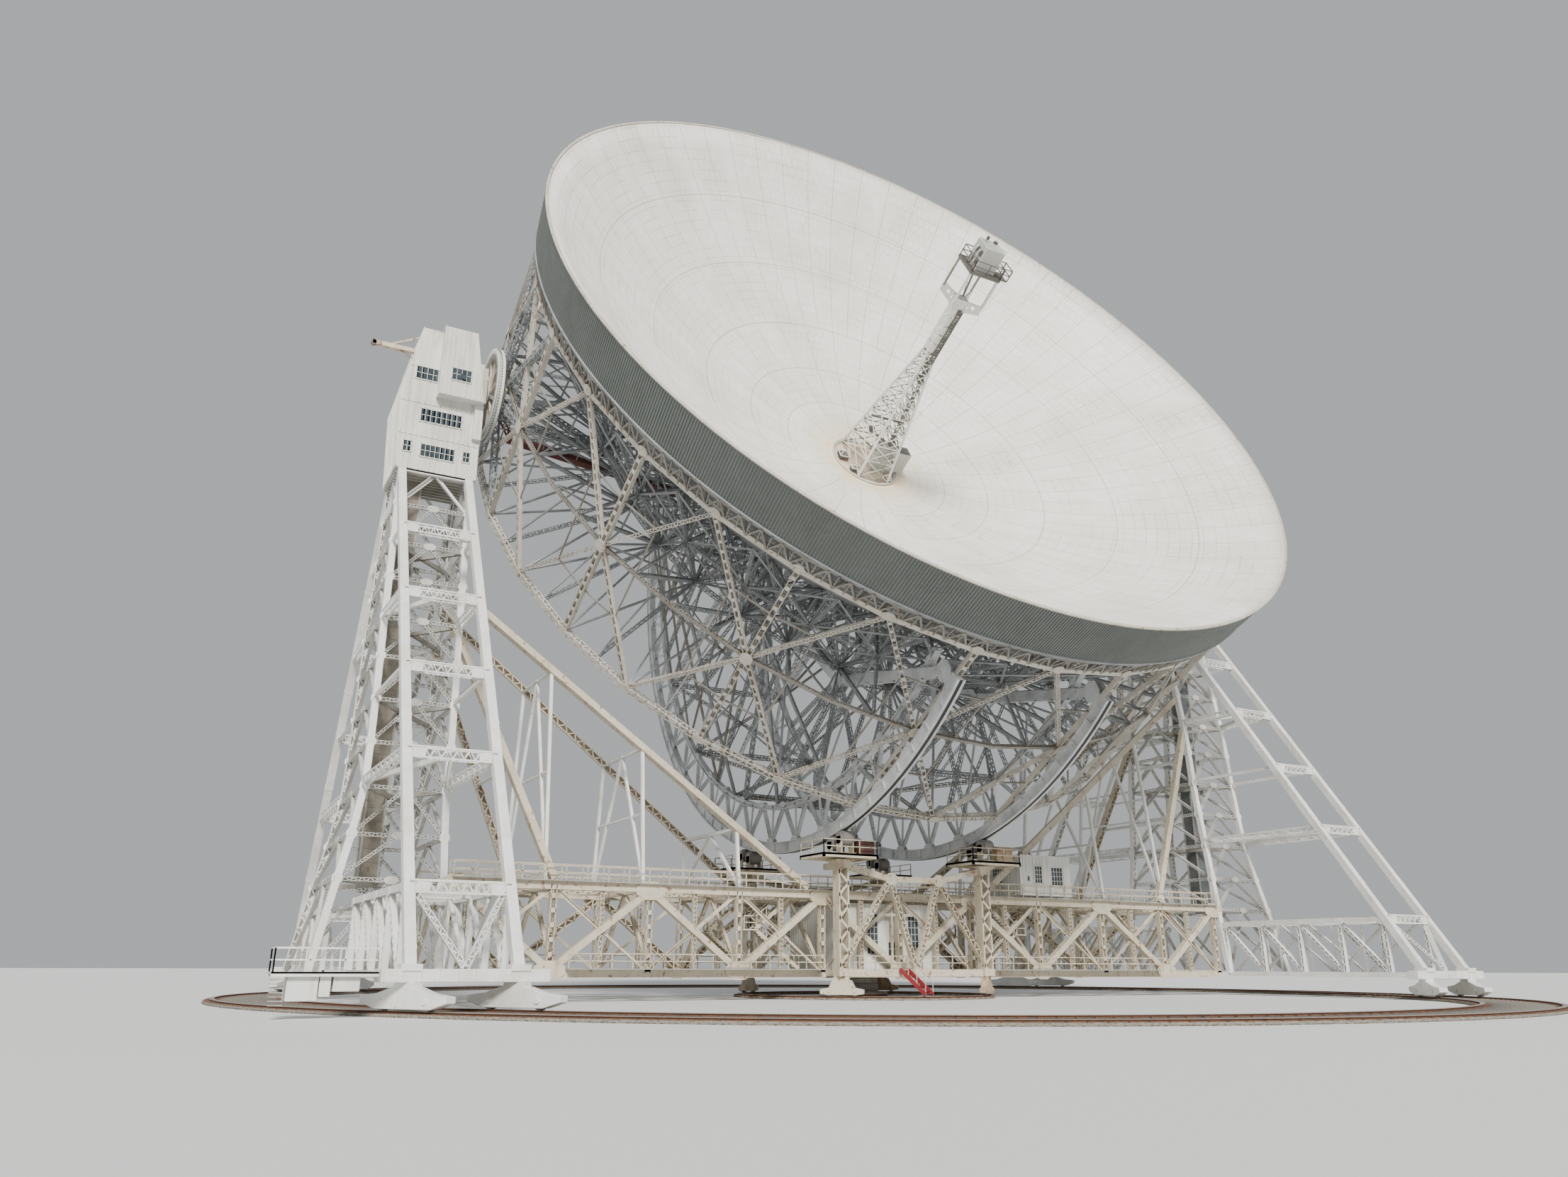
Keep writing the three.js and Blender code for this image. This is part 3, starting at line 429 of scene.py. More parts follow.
    def mesh(self, name: str, place: Matrix) -> bpy.types.Mesh:
        """Merges all stamps into one mesh.

        Args:
            name: the mesh's name.
            place: matrix from full-size metres to the model's frame.

        Returns:
            The mesh.
        """
        points, loops, counts, coats = [], [], [], []
        start = 0
        for (_, coat), (shape, matrices) in self._stamps.items():
            m = np.array(matrices)
            n, k = len(shape.corners), len(m)
            moved = np.einsum("kij,nj->kni", m[:, :3, :3], shape.corners) + m[:, None, :3, 3]
            points.append(moved.reshape(-1, 3))
            shifts = start + np.arange(k) * n
            loops.append((shape.loops[None, :] + shifts[:, None]).ravel())
            counts.append(np.tile(shape.counts, k))
            coats.append(np.full(k * len(shape.counts), coat))
            start += n * k
        return self.fill(name, place, *(np.concatenate(rows) for rows in (points, loops, counts, coats)))

    @staticmethod
    def fill(name: str, place: Matrix, co: np.ndarray, loops: np.ndarray, counts: np.ndarray,
             coats: np.ndarray) -> bpy.types.Mesh:
        """Fills a mesh from the merged arrays of stamped corners and faces.

        Args:
            name: the mesh's name.
            place: matrix from full-size metres to the model's frame.
            co: the corners.
            loops: for each corner of each face, its place in co.
            counts: number of corners of each face.
            coats: index of each face's paint.

        Returns:
            The mesh.
        """
        mesh = bpy.data.meshes.new(name)
        mesh.vertices.add(len(co))
        mesh.vertices.foreach_set("co", co.astype(np.float32).ravel())
        mesh.loops.add(len(loops))
        mesh.loops.foreach_set("vertex_index", loops.astype(np.int32))
        mesh.polygons.add(len(counts))
        starts = np.concatenate(([0], np.cumsum(counts)[:-1]))
        mesh.polygons.foreach_set("loop_start", starts.astype(np.int32))
        mesh.polygons.foreach_set("loop_total", counts.astype(np.int32))
        mesh.polygons.foreach_set("material_index", coats.astype(np.int32))
        mesh.polygons.foreach_set("use_smooth", np.zeros(len(counts), bool))
        mesh.update(calc_edges=True)
        mesh.transform(place)
        mesh.update()
        return mesh


def piece(name: str, mesh: bpy.types.Mesh, place: Place, paints: Iterable[bpy.types.Material],
          stands_for: Iterable[str] = ()) -> bpy.types.Object:
    """Makes a finished piece that rides on its body.

    Args:
        name: the piece's name.
        mesh: its mesh, already in the model's frame.
        place: the body that it rides on.
        paints: its materials, in the order of its coats.
        stands_for: CAD nodes that it replaces.

    Returns:
        The object.
    """
    obj = bpy.data.objects.new(name, mesh)
    bpy.context.scene.collection.objects.link(obj)
    for paint in paints:
        mesh.materials.append(paint)
    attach(obj, place.value)
    nodes = list(stands_for)
    if nodes:
        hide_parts(*nodes)
    log.info("%s: %d faces on %s", name, len(mesh.polygons), place.value)
    return obj


def steel_piece(work: Steelwork, name: str, place: Place, paints: Iterable[bpy.types.Material],
                stands_for: Iterable[str] = ()) -> bpy.types.Object:
    """Returns the piece made from collected steelwork; see piece for the arguments."""
    return piece(name, work.mesh(name, place.matrix()), place, paints, stands_for)


def bm_piece(bm: bmesh.types.BMesh, name: str, place: Place, paints: Iterable[bpy.types.Material],
             stands_for: Iterable[str] = ()) -> bpy.types.Object:
    """Makes a piece from a bmesh in full-size metres.

    Args:
        bm: the finished bmesh, freed here.
        name: the piece's name.
        place: the body that it rides on.
        paints: its materials, in the order of its coats.
        stands_for: CAD nodes that it replaces.

    Returns:
        The object.
    """
    mesh = bpy.data.meshes.new(name)
    bm.to_mesh(mesh)
    bm.free()
    mesh.transform(place.matrix())
    mesh.update()
    return piece(name, mesh, place, paints, stands_for)


def turned(profile: Sequence[tuple[float, float]], steps: int, smooth: bool = True) -> bmesh.types.BMesh:
    """Spins a closed outline of (radius, height) points about Z.

    Args:
        profile: the outline's points in order.
        steps: number of steps round the circle.
        smooth: whether the faces are shaded smooth.

    Returns:
        The turned bmesh.
    """
    bm = bmesh.new()
    ring = [bm.verts.new((r, 0, z)) for r, z in profile]
    edges = [bm.edges.new((ring[i], ring[(i + 1) % len(ring)])) for i in range(len(ring))]
    bmesh.ops.spin(bm, geom=ring + edges, cent=(0, 0, 0), axis=(0, 0, 1), dvec=(0, 0, 0),
                   angle=2 * math.pi, steps=steps, use_merge=True)
    bmesh.ops.remove_doubles(bm, verts=bm.verts, dist=1e-4)
    bmesh.ops.recalc_face_normals(bm, faces=bm.faces)
    for face in bm.faces:
        face.smooth = smooth
    return bm


# Finishes
Socket = bpy.types.NodeSocket


def linear(code: str) -> tuple[float, float, float, float]:
    """Returns an sRGB hex colour as linear red, green, blue and alpha."""
    parts = [int(code[i:i + 2], 16) / 255 for i in (1, 3, 5)]
    return (*(c / 12.92 if c <= 0.04045 else ((c + 0.055) / 1.055) ** 2.4 for c in parts), 1.0)


def add(tree: bpy.types.NodeTree, kind: str, inputs: dict | None = None,
        **settings: object) -> bpy.types.Node:
    """Adds a node with its settings and links.

    Args:
        tree: the node tree.
        kind: the node's type.
        inputs: for each input, by name or place, the socket that feeds it or its own value.
        **settings: the node's own settings.

    Returns:
        The node.
    """
    node = tree.nodes.new(kind)
    for name, value in settings.items():
        setattr(node, name, value)
    for key, value in (inputs or {}).items():
        if isinstance(value, Socket):
            tree.links.new(value, node.inputs[key])
        else:
            node.inputs[key].default_value = value
    return node


def metres(tree: bpy.types.NodeTree, place: Place) -> Socket:
    """Adds the surface point in full-size metres.

    Args:
        tree: the node tree.
        place: the body in whose frame the point is.

    Returns:
        The point.
    """
    back = place.matrix().inverted()
    point = add(tree, "ShaderNodeTexCoord").outputs["Object"]
    inputs = {"Vector": point, "Location": back.translation, "Rotation": back.to_euler(),
              "Scale": back.to_scale()}
    return add(tree, "ShaderNodeMapping", inputs).outputs["Vector"]


def blotches(tree: bpy.types.NodeTree, point: Socket, per_metre: float | Point, low: float,
             high: float) -> Socket:
    """Makes a mask of soft-edged blotches.

    Args:
        tree: the node tree.
        point: the surface point in metres.
        per_metre: how many blotches there are to a metre, for all axes or for each.
        low: noise level where the mask starts.
        high: noise level where it is full.

    Returns:
        The mask, from 0 to 1.
    """
    scale = (per_metre,) * 3 if isinstance(per_metre, float) else per_metre
    spread = add(tree, "ShaderNodeMapping", {"Vector": point, "Scale": scale}).outputs["Vector"]
    noise = add(tree, "ShaderNodeTexNoise", {"Vector": spread, "Scale": 1.0, "Detail": 4.0, "Roughness": 0.6})
    inputs = {"Value": noise.outputs["Fac"], "From Min": low, "From Max": high}
    return add(tree, "ShaderNodeMapRange", inputs).outputs["Result"]


def reckon(tree: bpy.types.NodeTree, operation: str, *values: Socket | float) -> Socket:
    """Returns the result of one sum on sockets or numbers."""
    return add(tree, "ShaderNodeMath", dict(enumerate(values)), operation=operation).outputs[0]


def over(tree: bpy.types.NodeTree, base: Socket | Point, code: str, mask: Socket,
         share: float = 1.0) -> Socket:
    """Lays a colour over another.

    Args:
        tree: the node tree.
        base: the colour below.
        code: the sRGB hex code of the colour on top.
        mask: where it lies, from 0 to 1.
        share: how far it covers there.

    Returns:
        The mixed colour.
    """
    if share < 1.0:
        mask = reckon(tree, "MULTIPLY", mask, share)
    return add(tree, "ShaderNodeMix", {0: mask, 6: base, 7: linear(code)}, data_type="RGBA").outputs[2]


@dataclass(frozen=True)
class Finish:
    """What every finish has: a colour, the body it lies on and its shine.

    Attributes:
        name: the material's name.
        colour: its main colour.
        place: the body whose metres its pattern follows.
        roughness: its roughness.
        metallic: 1 for bare metal.
        ior: its index of refraction; paint films are near 1.5.
    """

    name: str
    colour: str
    place: Place = Place.TURNING
    roughness: float = 0.5
    metallic: float = 0.0
    ior: float = 1.5

    def material(self) -> bpy.types.Material:
        """Builds the finish's node tree.

        Returns:
            The new material.
        """
        material = bpy.data.materials.new(self.name)
        material.use_nodes = True
        tree = material.node_tree
        tree.nodes.clear()
        inputs = {"Metallic": self.metallic}
        if not self.metallic:
            inputs["IOR"] = self.ior
        shader = add(tree, "ShaderNodeBsdfPrincipled",
                     {**inputs, **self.pattern(tree, metres(tree, self.place))})
        add(tree, "ShaderNodeOutputMaterial", {"Surface": shader.outputs["BSDF"]})
        return material

    def pattern(self, tree: bpy.types.NodeTree, point: Socket) -> dict:
        """Returns the shader's inputs for the surface's pattern."""
        return {"Base Color": linear(self.colour), "Roughness": self.roughness}

    @staticmethod
    def relief(tree: bpy.types.NodeTree, height: Socket, depth: float) -> Socket:
        """Returns the normal of a relief whose full height is depth metres of full-size steel."""
        inputs = {"Height": height, "Distance": depth * SCALE, "Strength": 1.0}
        return add(tree, "ShaderNodeBump", inputs).outputs["Normal"]


@dataclass(frozen=True)
class SteelPaint(Finish):
    """Oil paint brushed on built-up steel, chalked by decades of weather.

    It gives an even, slightly dull coat whose tone drifts over a metre or two, rust that
    bleeds out in hand-sized spots, and brown runs below them. Real brush marks are under a
    millimetre and don't show at this size, so the relief is drawn as 0.4 m dapples.

    Attributes:
        faded: the tone of chalked patches.
        rust: the tone of rust.
        spots: share of the surface with rust, from 0 to 1.
    """

    faded: str = "#cfccc0"
    rust: str = "#8a5a3a"
    spots: float = 0.2

    @property
    def level(self) -> float:
        """Returns the noise level above which rust shows."""
        return 0.74 - 0.2 * self.spots

    def pattern(self, tree: bpy.types.NodeTree, point: Socket) -> dict:
        """Draws faded, rusted paint.

        Args:
            tree: the node tree.
            point: the surface point in metres.

        Returns:
            The shader's inputs by name.
        """
        colour = over(tree, linear(self.colour), self.faded, blotches(tree, point, 0.5, 0.4, 0.72))
        level = self.level
        runs = blotches(tree, point, (1.6, 1.6, 0.22), level - 0.04, level + 0.14)
        colour = over(tree, colour, self.rust, runs, 0.55)
        specks = blotches(tree, point, (2.2, 2.2, 1.8), level - 0.02, level + 0.06)
        colour = over(tree, colour, self.rust, specks, 0.85)
        dapples = blotches(tree, point, 2.5, 0.3, 0.7)
        rough = add(tree, "ShaderNodeMapRange", {"Value": dapples, "To Min": self.roughness - 0.06,
                                                 "To Max": self.roughness + 0.12}).outputs["Result"]
        return {"Base Color": colour, "Roughness": rough, "Normal": self.relief(tree, dapples, 0.012)}


@dataclass(frozen=True)
class WallSheet(SteelPaint):
    """Factory-coated profiled steel sheet on the machine houses.

    It gives a clean white with long grey-brown streaks under every joint. Ribs and laps are
    real geometry; between them the sheet is dished a little, which this relief draws.

    Attributes:
        streak: the tone of the streaks.
    """

    streak: str = "#a79c86"

    def pattern(self, tree: bpy.types.NodeTree, point: Socket) -> dict:
        """Draws streaked sheet.

        Args:
            tree: the node tree.
            point: the surface point in metres.

        Returns:
            The shader's inputs by name.
        """
        colour = over(tree, linear(self.colour), self.faded,
                      blotches(tree, point, (0.6, 0.6, 0.25), 0.4, 0.7))
        colour = over(tree, colour, self.streak, blotches(tree, point, (2.6, 2.6, 0.16), 0.52, 0.78), 0.6)
        level = self.level
        colour = over(tree, colour, self.rust, blotches(tree, point, (1.4, 1.4, 0.6), level, level + 0.1))
        oil_canning = blotches(tree, point, (1.1, 1.1, 0.9), 0.3, 0.7)
        return {"Base Color": colour, "Roughness": self.roughness,
                "Normal": self.relief(tree, oil_canning, 0.02)}


@dataclass(frozen=True)
class RailSteel(Finish):
    """Rolled rail steel left bare: rusty flanks and a head that the wheels keep bright.

    It gives a brown, rough side and a grey, smoother top, with scale in finger-long patches.

    Attributes:
        bright: the tone of the worn head.
        head: height in metres above which the steel is worn.
    """

    bright: str = "#8f8a84"
    head: float = 0.285

    def pattern(self, tree: bpy.types.NodeTree, point: Socket) -> dict:
        """Draws rusty steel with a worn top.

        Args:
            tree: the node tree.
            point: the surface point in metres.

        Returns:
            The shader's inputs by name.
        """
        height = add(tree, "ShaderNodeSeparateXYZ", {"Vector": point}).outputs["Z"]
        worn = reckon(tree, "GREATER_THAN", height, self.head)
        scale = blotches(tree, point, 3.0, 0.35, 0.65)
        rusty = over(tree, linear(self.colour), "#7d5238", scale)
        rough = reckon(tree, "SUBTRACT", self.roughness, reckon(tree, "MULTIPLY", worn, 0.35))
        return {"Base Color": over(tree, rusty, self.bright, worn), "Roughness": rough,
                "Normal": self.relief(tree, scale, 0.02)}


@dataclass(frozen=True)
class Ballast(Finish):
    """Crushed stone and old concrete that the rails are bedded in.

    It gives grey-brown grains; real ones are about 50 mm, drawn 0.2 m wide so that they show.
    """

    def pattern(self, tree: bpy.types.NodeTree, point: Socket) -> dict:
        """Draws loose stone.

        Args:
            tree: the node tree.
            point: the surface point in metres.

        Returns:
            The shader's inputs by name.
        """
        stones = add(tree, "ShaderNodeTexVoronoi", {"Vector": point, "Scale": 5.0})
        tone = reckon(tree, "MULTIPLY", stones.outputs["Distance"], 1.4)
        colour = over(tree, linear(self.colour), "#8b857a", tone)
        return {"Base Color": colour, "Roughness": self.roughness,
                "Normal": self.relief(tree, stones.outputs["Distance"], 0.08)}


@dataclass(frozen=True)
class WindowGlass(Finish):
    """Old sheet glass in front of a dark room.

    It gives a near-black pane, painted shade that stands for the dark room behind, with lighter waves in its
    colour as a painted reflection and a slight ripple in its shine.
    """

    def pattern(self, tree: bpy.types.NodeTree, point: Socket) -> dict:
        """Draws a near-black pane of painted shade with a painted reflection.

        Args:
            tree: the node tree.
            point: the surface point in metres.

        Returns:
            The shader's inputs by name.
        """
        # Near-black base colour is painted shade for the room behind; the lighter #4a555c waves are a painted
        # reflection, and the same waves ripple the normal.
        ripples_and_painted_reflection = blotches(tree, point, 1.5, 0.3, 0.7)
        return {"Base Color": over(tree, linear(self.colour), "#4a555c", ripples_and_painted_reflection),
                "Roughness": self.roughness, "Normal": self.relief(tree, ripples_and_painted_reflection, 0.01)}


@dataclass(frozen=True)
class ReflectorSkin(Finish):
    """Welded steel sheets of the bowl's reflecting surface, painted off-white.

    It gives a bright, nearly flat white that is parted by fine weld seams. Main seams run
    between the rings of panels and along the ribs, and thin ones bound each sheet. Real seams
    are 10 to 20 mm wide, drawn 60 to 90 mm wide so that they show. Rust weeps from a few
    seams and runs down, and the middle is stained cream by the mast.

    Attributes:
        seam: the tone of the seams.
        cream: the tone of old, yellowed paint.
        soil: the tone of the stained floor inside the mast's pad.
        pad: radius of that floor in metres.
        rings: radii of the main seams in metres.
    """

    seam: str = "#a39a8c"
    cream: str = "#e9d2a8"
    soil: str = "#bfa692"
    pad: float = 3.4
    rings: tuple[float, ...] = (4.2, 9.0, 13.5, 19.0, 25.5, 32.0)

    def pattern(self, tree: bpy.types.NodeTree, point: Socket) -> dict:
        """Draws seamed, stained plate.

        Args:
            tree: the node tree.
            point: the surface point in metres.

        Returns:
            The shader's inputs by name.
        """
        axes = add(tree, "ShaderNodeSeparateXYZ", {"Vector": point})
        flat = add(tree, "ShaderNodeCombineXYZ",
                   {"X": axes.outputs["X"], "Y": axes.outputs["Y"]}).outputs["Vector"]
        radius = add(tree, "ShaderNodeVectorMath", {0: flat}, operation="LENGTH").outputs["Value"]
        turn = reckon(tree, "DIVIDE", reckon(tree, "ARCTAN2", axes.outputs["Y"], axes.outputs["X"]),
                      2 * math.pi)
        sheets = self.sheets(tree, radius, turn)
        colour = over(tree, linear(self.colour), "#dedcd2", blotches(tree, point, 0.14, 0.42, 0.75))
        colour = over(tree, colour, "#e4dfd0", sheets.outputs["Color"], 0.35)
        thin = reckon(tree, "MULTIPLY", sheets.outputs["Fac"], blotches(tree, point, 0.3, 0.35, 0.6))
        colour = over(tree, colour, self.seam, thin, 0.5)
        colour = over(tree, colour, self.seam, self.main_seams(tree, radius, turn), 0.6)
        hub = add(tree, "ShaderNodeMapRange",
                  {"Value": radius, "From Min": 8.0, "From Max": 3.8}).outputs["Result"]
        stain = reckon(tree, "MULTIPLY", hub, blotches(tree, point, 0.5, 0.2, 0.7))
        colour = over(tree, colour, self.cream, stain)
        inside = reckon(tree, "LESS_THAN", radius, self.pad)
        pad = reckon(tree, "MULTIPLY", inside, blotches(tree, point, 0.9, 0.3, 0.6))
        colour = over(tree, colour, self.soil, pad)
        weeps = reckon(tree, "MULTIPLY", blotches(tree, point, (1.7, 0.28, 0.5), 0.62, 0.76),
                       blotches(tree, point, 0.12, 0.5, 0.64))
        colour = over(tree, colour, "#a9834f", weeps, 0.6)
        dents = blotches(tree, point, 0.7, 0.3, 0.7)
        return {"Base Color": colour, "Roughness": self.roughness, "Normal": self.relief(tree, dents, 0.03)}

    def sheets(self, tree: bpy.types.NodeTree, radius: Socket, turn: Socket) -> bpy.types.Node:
        """Lays sheets 0.9 m deep like bricks, with more of them round the outer rings.

        Args:
            tree: the node tree.
            radius: distance from the axis.
            turn: bearing as a share of a turn.

        Returns:
            The brick node, whose colour is the sheets' tone and whose factor is the joints.
        """
        outer = reckon(tree, "MULTIPLY", reckon(tree, "GREATER_THAN", radius, self.rings[3]), 128)
        middle = reckon(tree, "MULTIPLY", reckon(tree, "GREATER_THAN", radius, self.rings[1]), 64)
        count = reckon(tree, "ADD", reckon(tree, "ADD", outer, middle), 64)
        along = reckon(tree, "MULTIPLY", turn, count)
        place = add(tree, "ShaderNodeCombineXYZ", {"X": along, "Y": reckon(tree, "DIVIDE", radius, 0.9)})
        return add(tree, "ShaderNodeTexBrick", {
            "Vector": place.outputs["Vector"], "Color1": (0, 0, 0, 1), "Color2": (1, 1, 1, 1),
            "Mortar": (0, 0, 0, 1), "Scale": 1.0, "Mortar Size": 0.045, "Brick Width": 1.0,
            "Row Height": 1.0})

    def main_seams(self, tree: bpy.types.NodeTree, radius: Socket, turn: Socket) -> Socket:
        """Masks the ring seams and the ribs' seams, which double beyond some rings.

        Args:
            tree: the node tree.
            radius: distance from the axis.
            turn: bearing as a share of a turn.

        Returns:
            The mask.
        """
        half = 0.045
        mask: Socket | float = 0.0
        for ring in self.rings:
            off = reckon(tree, "ABSOLUTE", reckon(tree, "SUBTRACT", radius, ring))
            mask = reckon(tree, "MAXIMUM", mask, reckon(tree, "LESS_THAN", off, half))
        for count, start in ((16, self.rings[0]), (32, self.rings[1]), (64, self.rings[3])):
            whole = reckon(tree, "MULTIPLY", turn, float(count))
            off = reckon(tree, "ABSOLUTE", reckon(tree, "SUBTRACT", whole, reckon(tree, "ROUND", whole)))
            metres_off = reckon(tree, "MULTIPLY", off, reckon(tree, "MULTIPLY", radius, 2 * math.pi / count))
            line = reckon(tree, "LESS_THAN", metres_off, half)
            inside = reckon(tree, "GREATER_THAN", radius, start)
            mask = reckon(tree, "MAXIMUM", mask, reckon(tree, "MULTIPLY", line, inside))
        return mask


def steel(name: str, colour: str, place: Place, roughness: float, faded: str,
          spots: float) -> bpy.types.Material:
    """Returns oil paint on steel as a material; see SteelPaint for the arguments."""
    return SteelPaint(name, colour, place, roughness, faded=faded, spots=spots).material()


class Paints:
    """The finishes of the telescope, each made into a material once."""

    def __init__(self) -> None:
        """Makes the materials."""
        turning, bowl, track = Place.TURNING, Place.BOWL, Place.TRACK
        self.tower = steel("white_oil_paint_on_steel", "#e8e9e7", turning, 0.5, "#d6d4ca", 0.2)
        # White dimmed as painted shade, for the column's bracing behind the legs.
        self.dull = steel("white_paint_dimmed_as_painted_shade", "#cdcdc8", turning, 0.55, "#b3b0a6", 0.35)
        self.base = steel("cream_oil_paint_on_rusting_steel", "#cdc4b0", turning, 0.55, "#bcb097", 0.62)
        # Grey: painted shade under the head houses and on the columns' inner bracing, and the grey of
        # walkways, steps, shaft corners and the pivot boss.
        self.shaded = steel("grey_paint_and_painted_shade_on_steel", "#a6a49b", turning, 0.55, "#88847a", 0.5)
        self.dark = steel("dirty_uncoated_steel", "#6b7072", turning, 0.65, "#565a5b", 0.6)
        self.edge = steel("cream_oil_paint_on_bowl_steel", "#d1ccbf", bowl, 0.5, "#b9b1a2", 0.55)
        self.lattice = steel("grey_oil_paint_on_bowl_steel", "#9fa3a4", bowl, 0.5, "#838789", 0.4)
        self.wheel = steel("pale_grey_oil_paint_on_steel", "#dadddd", bowl, 0.45, "#b2b6b7", 0.35)
        # Dark paint of the gusset plates and rack teeth, and painted shadow on the edge drum's lacing in the
        # gap beside the skirt's foot.
        self.gusset = steel("dark_gusset_paint_and_painted_shadow", "#767877", bowl, 0.6, "#5f6160", 0.5)
        self.skirt = steel("grey_coated_profiled_sheet", "#767b77", bowl, 0.45, "#6e736f", 0.12)
        self.membrane = steel("old_painted_membrane_sheet", "#8d908e", bowl, 0.65, "#777876", 0.5)
        self.wall = WallSheet("white_coated_profiled_sheet", "#dfe0da", turning, 0.42,
                              faded="#cbcabf").material()
        # Grey as painted shade on the mast's and feed's parts turned from the light, the edge drum's laced
        # web and the wheel links' inner members.
        self.shade = steel("grey_paint_as_painted_shade_on_bowl_steel", "#96938b", bowl, 0.55, "#7a766e", 0.5)
        self.box = steel("pale_grey_coated_sheet", "#bfc1ba", bowl, 0.45, "#b0b2ab", 0.1)
        self.mast = steel("pale_grey_oil_paint_on_mast", "#dfe0da", bowl, 0.45, "#c9cac3", 0.15)
        self.reflector = ReflectorSkin("white_paint_on_welded_plate", "#f7f6f1", bowl, 0.5).material()
        self.rail = RailSteel("rusty_rail_steel", "#5b4a40", track, 0.75).material()
        self.ballast = Ballast("track_ballast", "#6a645b", track, 0.9).material()
        self.red = steel("red_gloss_paint", "#9c2f35", turning, 0.4, "#863037", 0.2)
        self.oxide = steel("red_oxide_paint_on_beam", "#6b3a33", bowl, 0.6, "#57332e", 0.4)
        # Near-black painted shade of the room behind the windows, with a painted reflection.
        self.glass = WindowGlass("window_glass_with_painted_dark_room", "#2b3438", turning, 0.12).material()
        self.tyre = steel("black_greased_rail_edge", "#1d1d1f", bowl, 0.4, "#2a2826", 0.1)
        self.bare = steel("dark_grey_galvanised_steel", "#66635c", bowl, 0.5, "#504e49", 0.3)
        self.crane = steel("rusting_cream_paint_on_jib", "#d9cbb2", turning, 0.55, "#b99c7c", 0.9)
        self.rusty = steel("weathered_brown_grey_sheet", "#8d877b", turning, 0.65, "#6f675a", 0.45)
        self.oxide_turning = steel("dark_red_brown_paint", "#5a3a34", turning, 0.6, "#48302b", 0.6)
        self.cream = steel("cream_brown_paint_on_drum", "#b8a588", turning, 0.6, "#8a7358", 0.8)
        self.floor = Finish("pale_studio_floor", "#dfe0e0", track, 0.85).material()


# The bowl
@dataclass(frozen=True)
class Paraboloid:
    """Form of a dish.

    Attributes:
        rim: radius of its rim.
        height: height of its rim over the elevation axis.
        focal: its focal length.
    """

    rim: float
    height: float
    focal: float

    def at(self, radius: float) -> float:
        """Returns its height at a radius."""
        return self.height - (self.rim ** 2 - radius ** 2) / (4 * self.focal)


DISH = Paraboloid(38.1, 17.93, 22.9)
OLD_BOWL = Paraboloid(37.75, 13.9, 19.05)


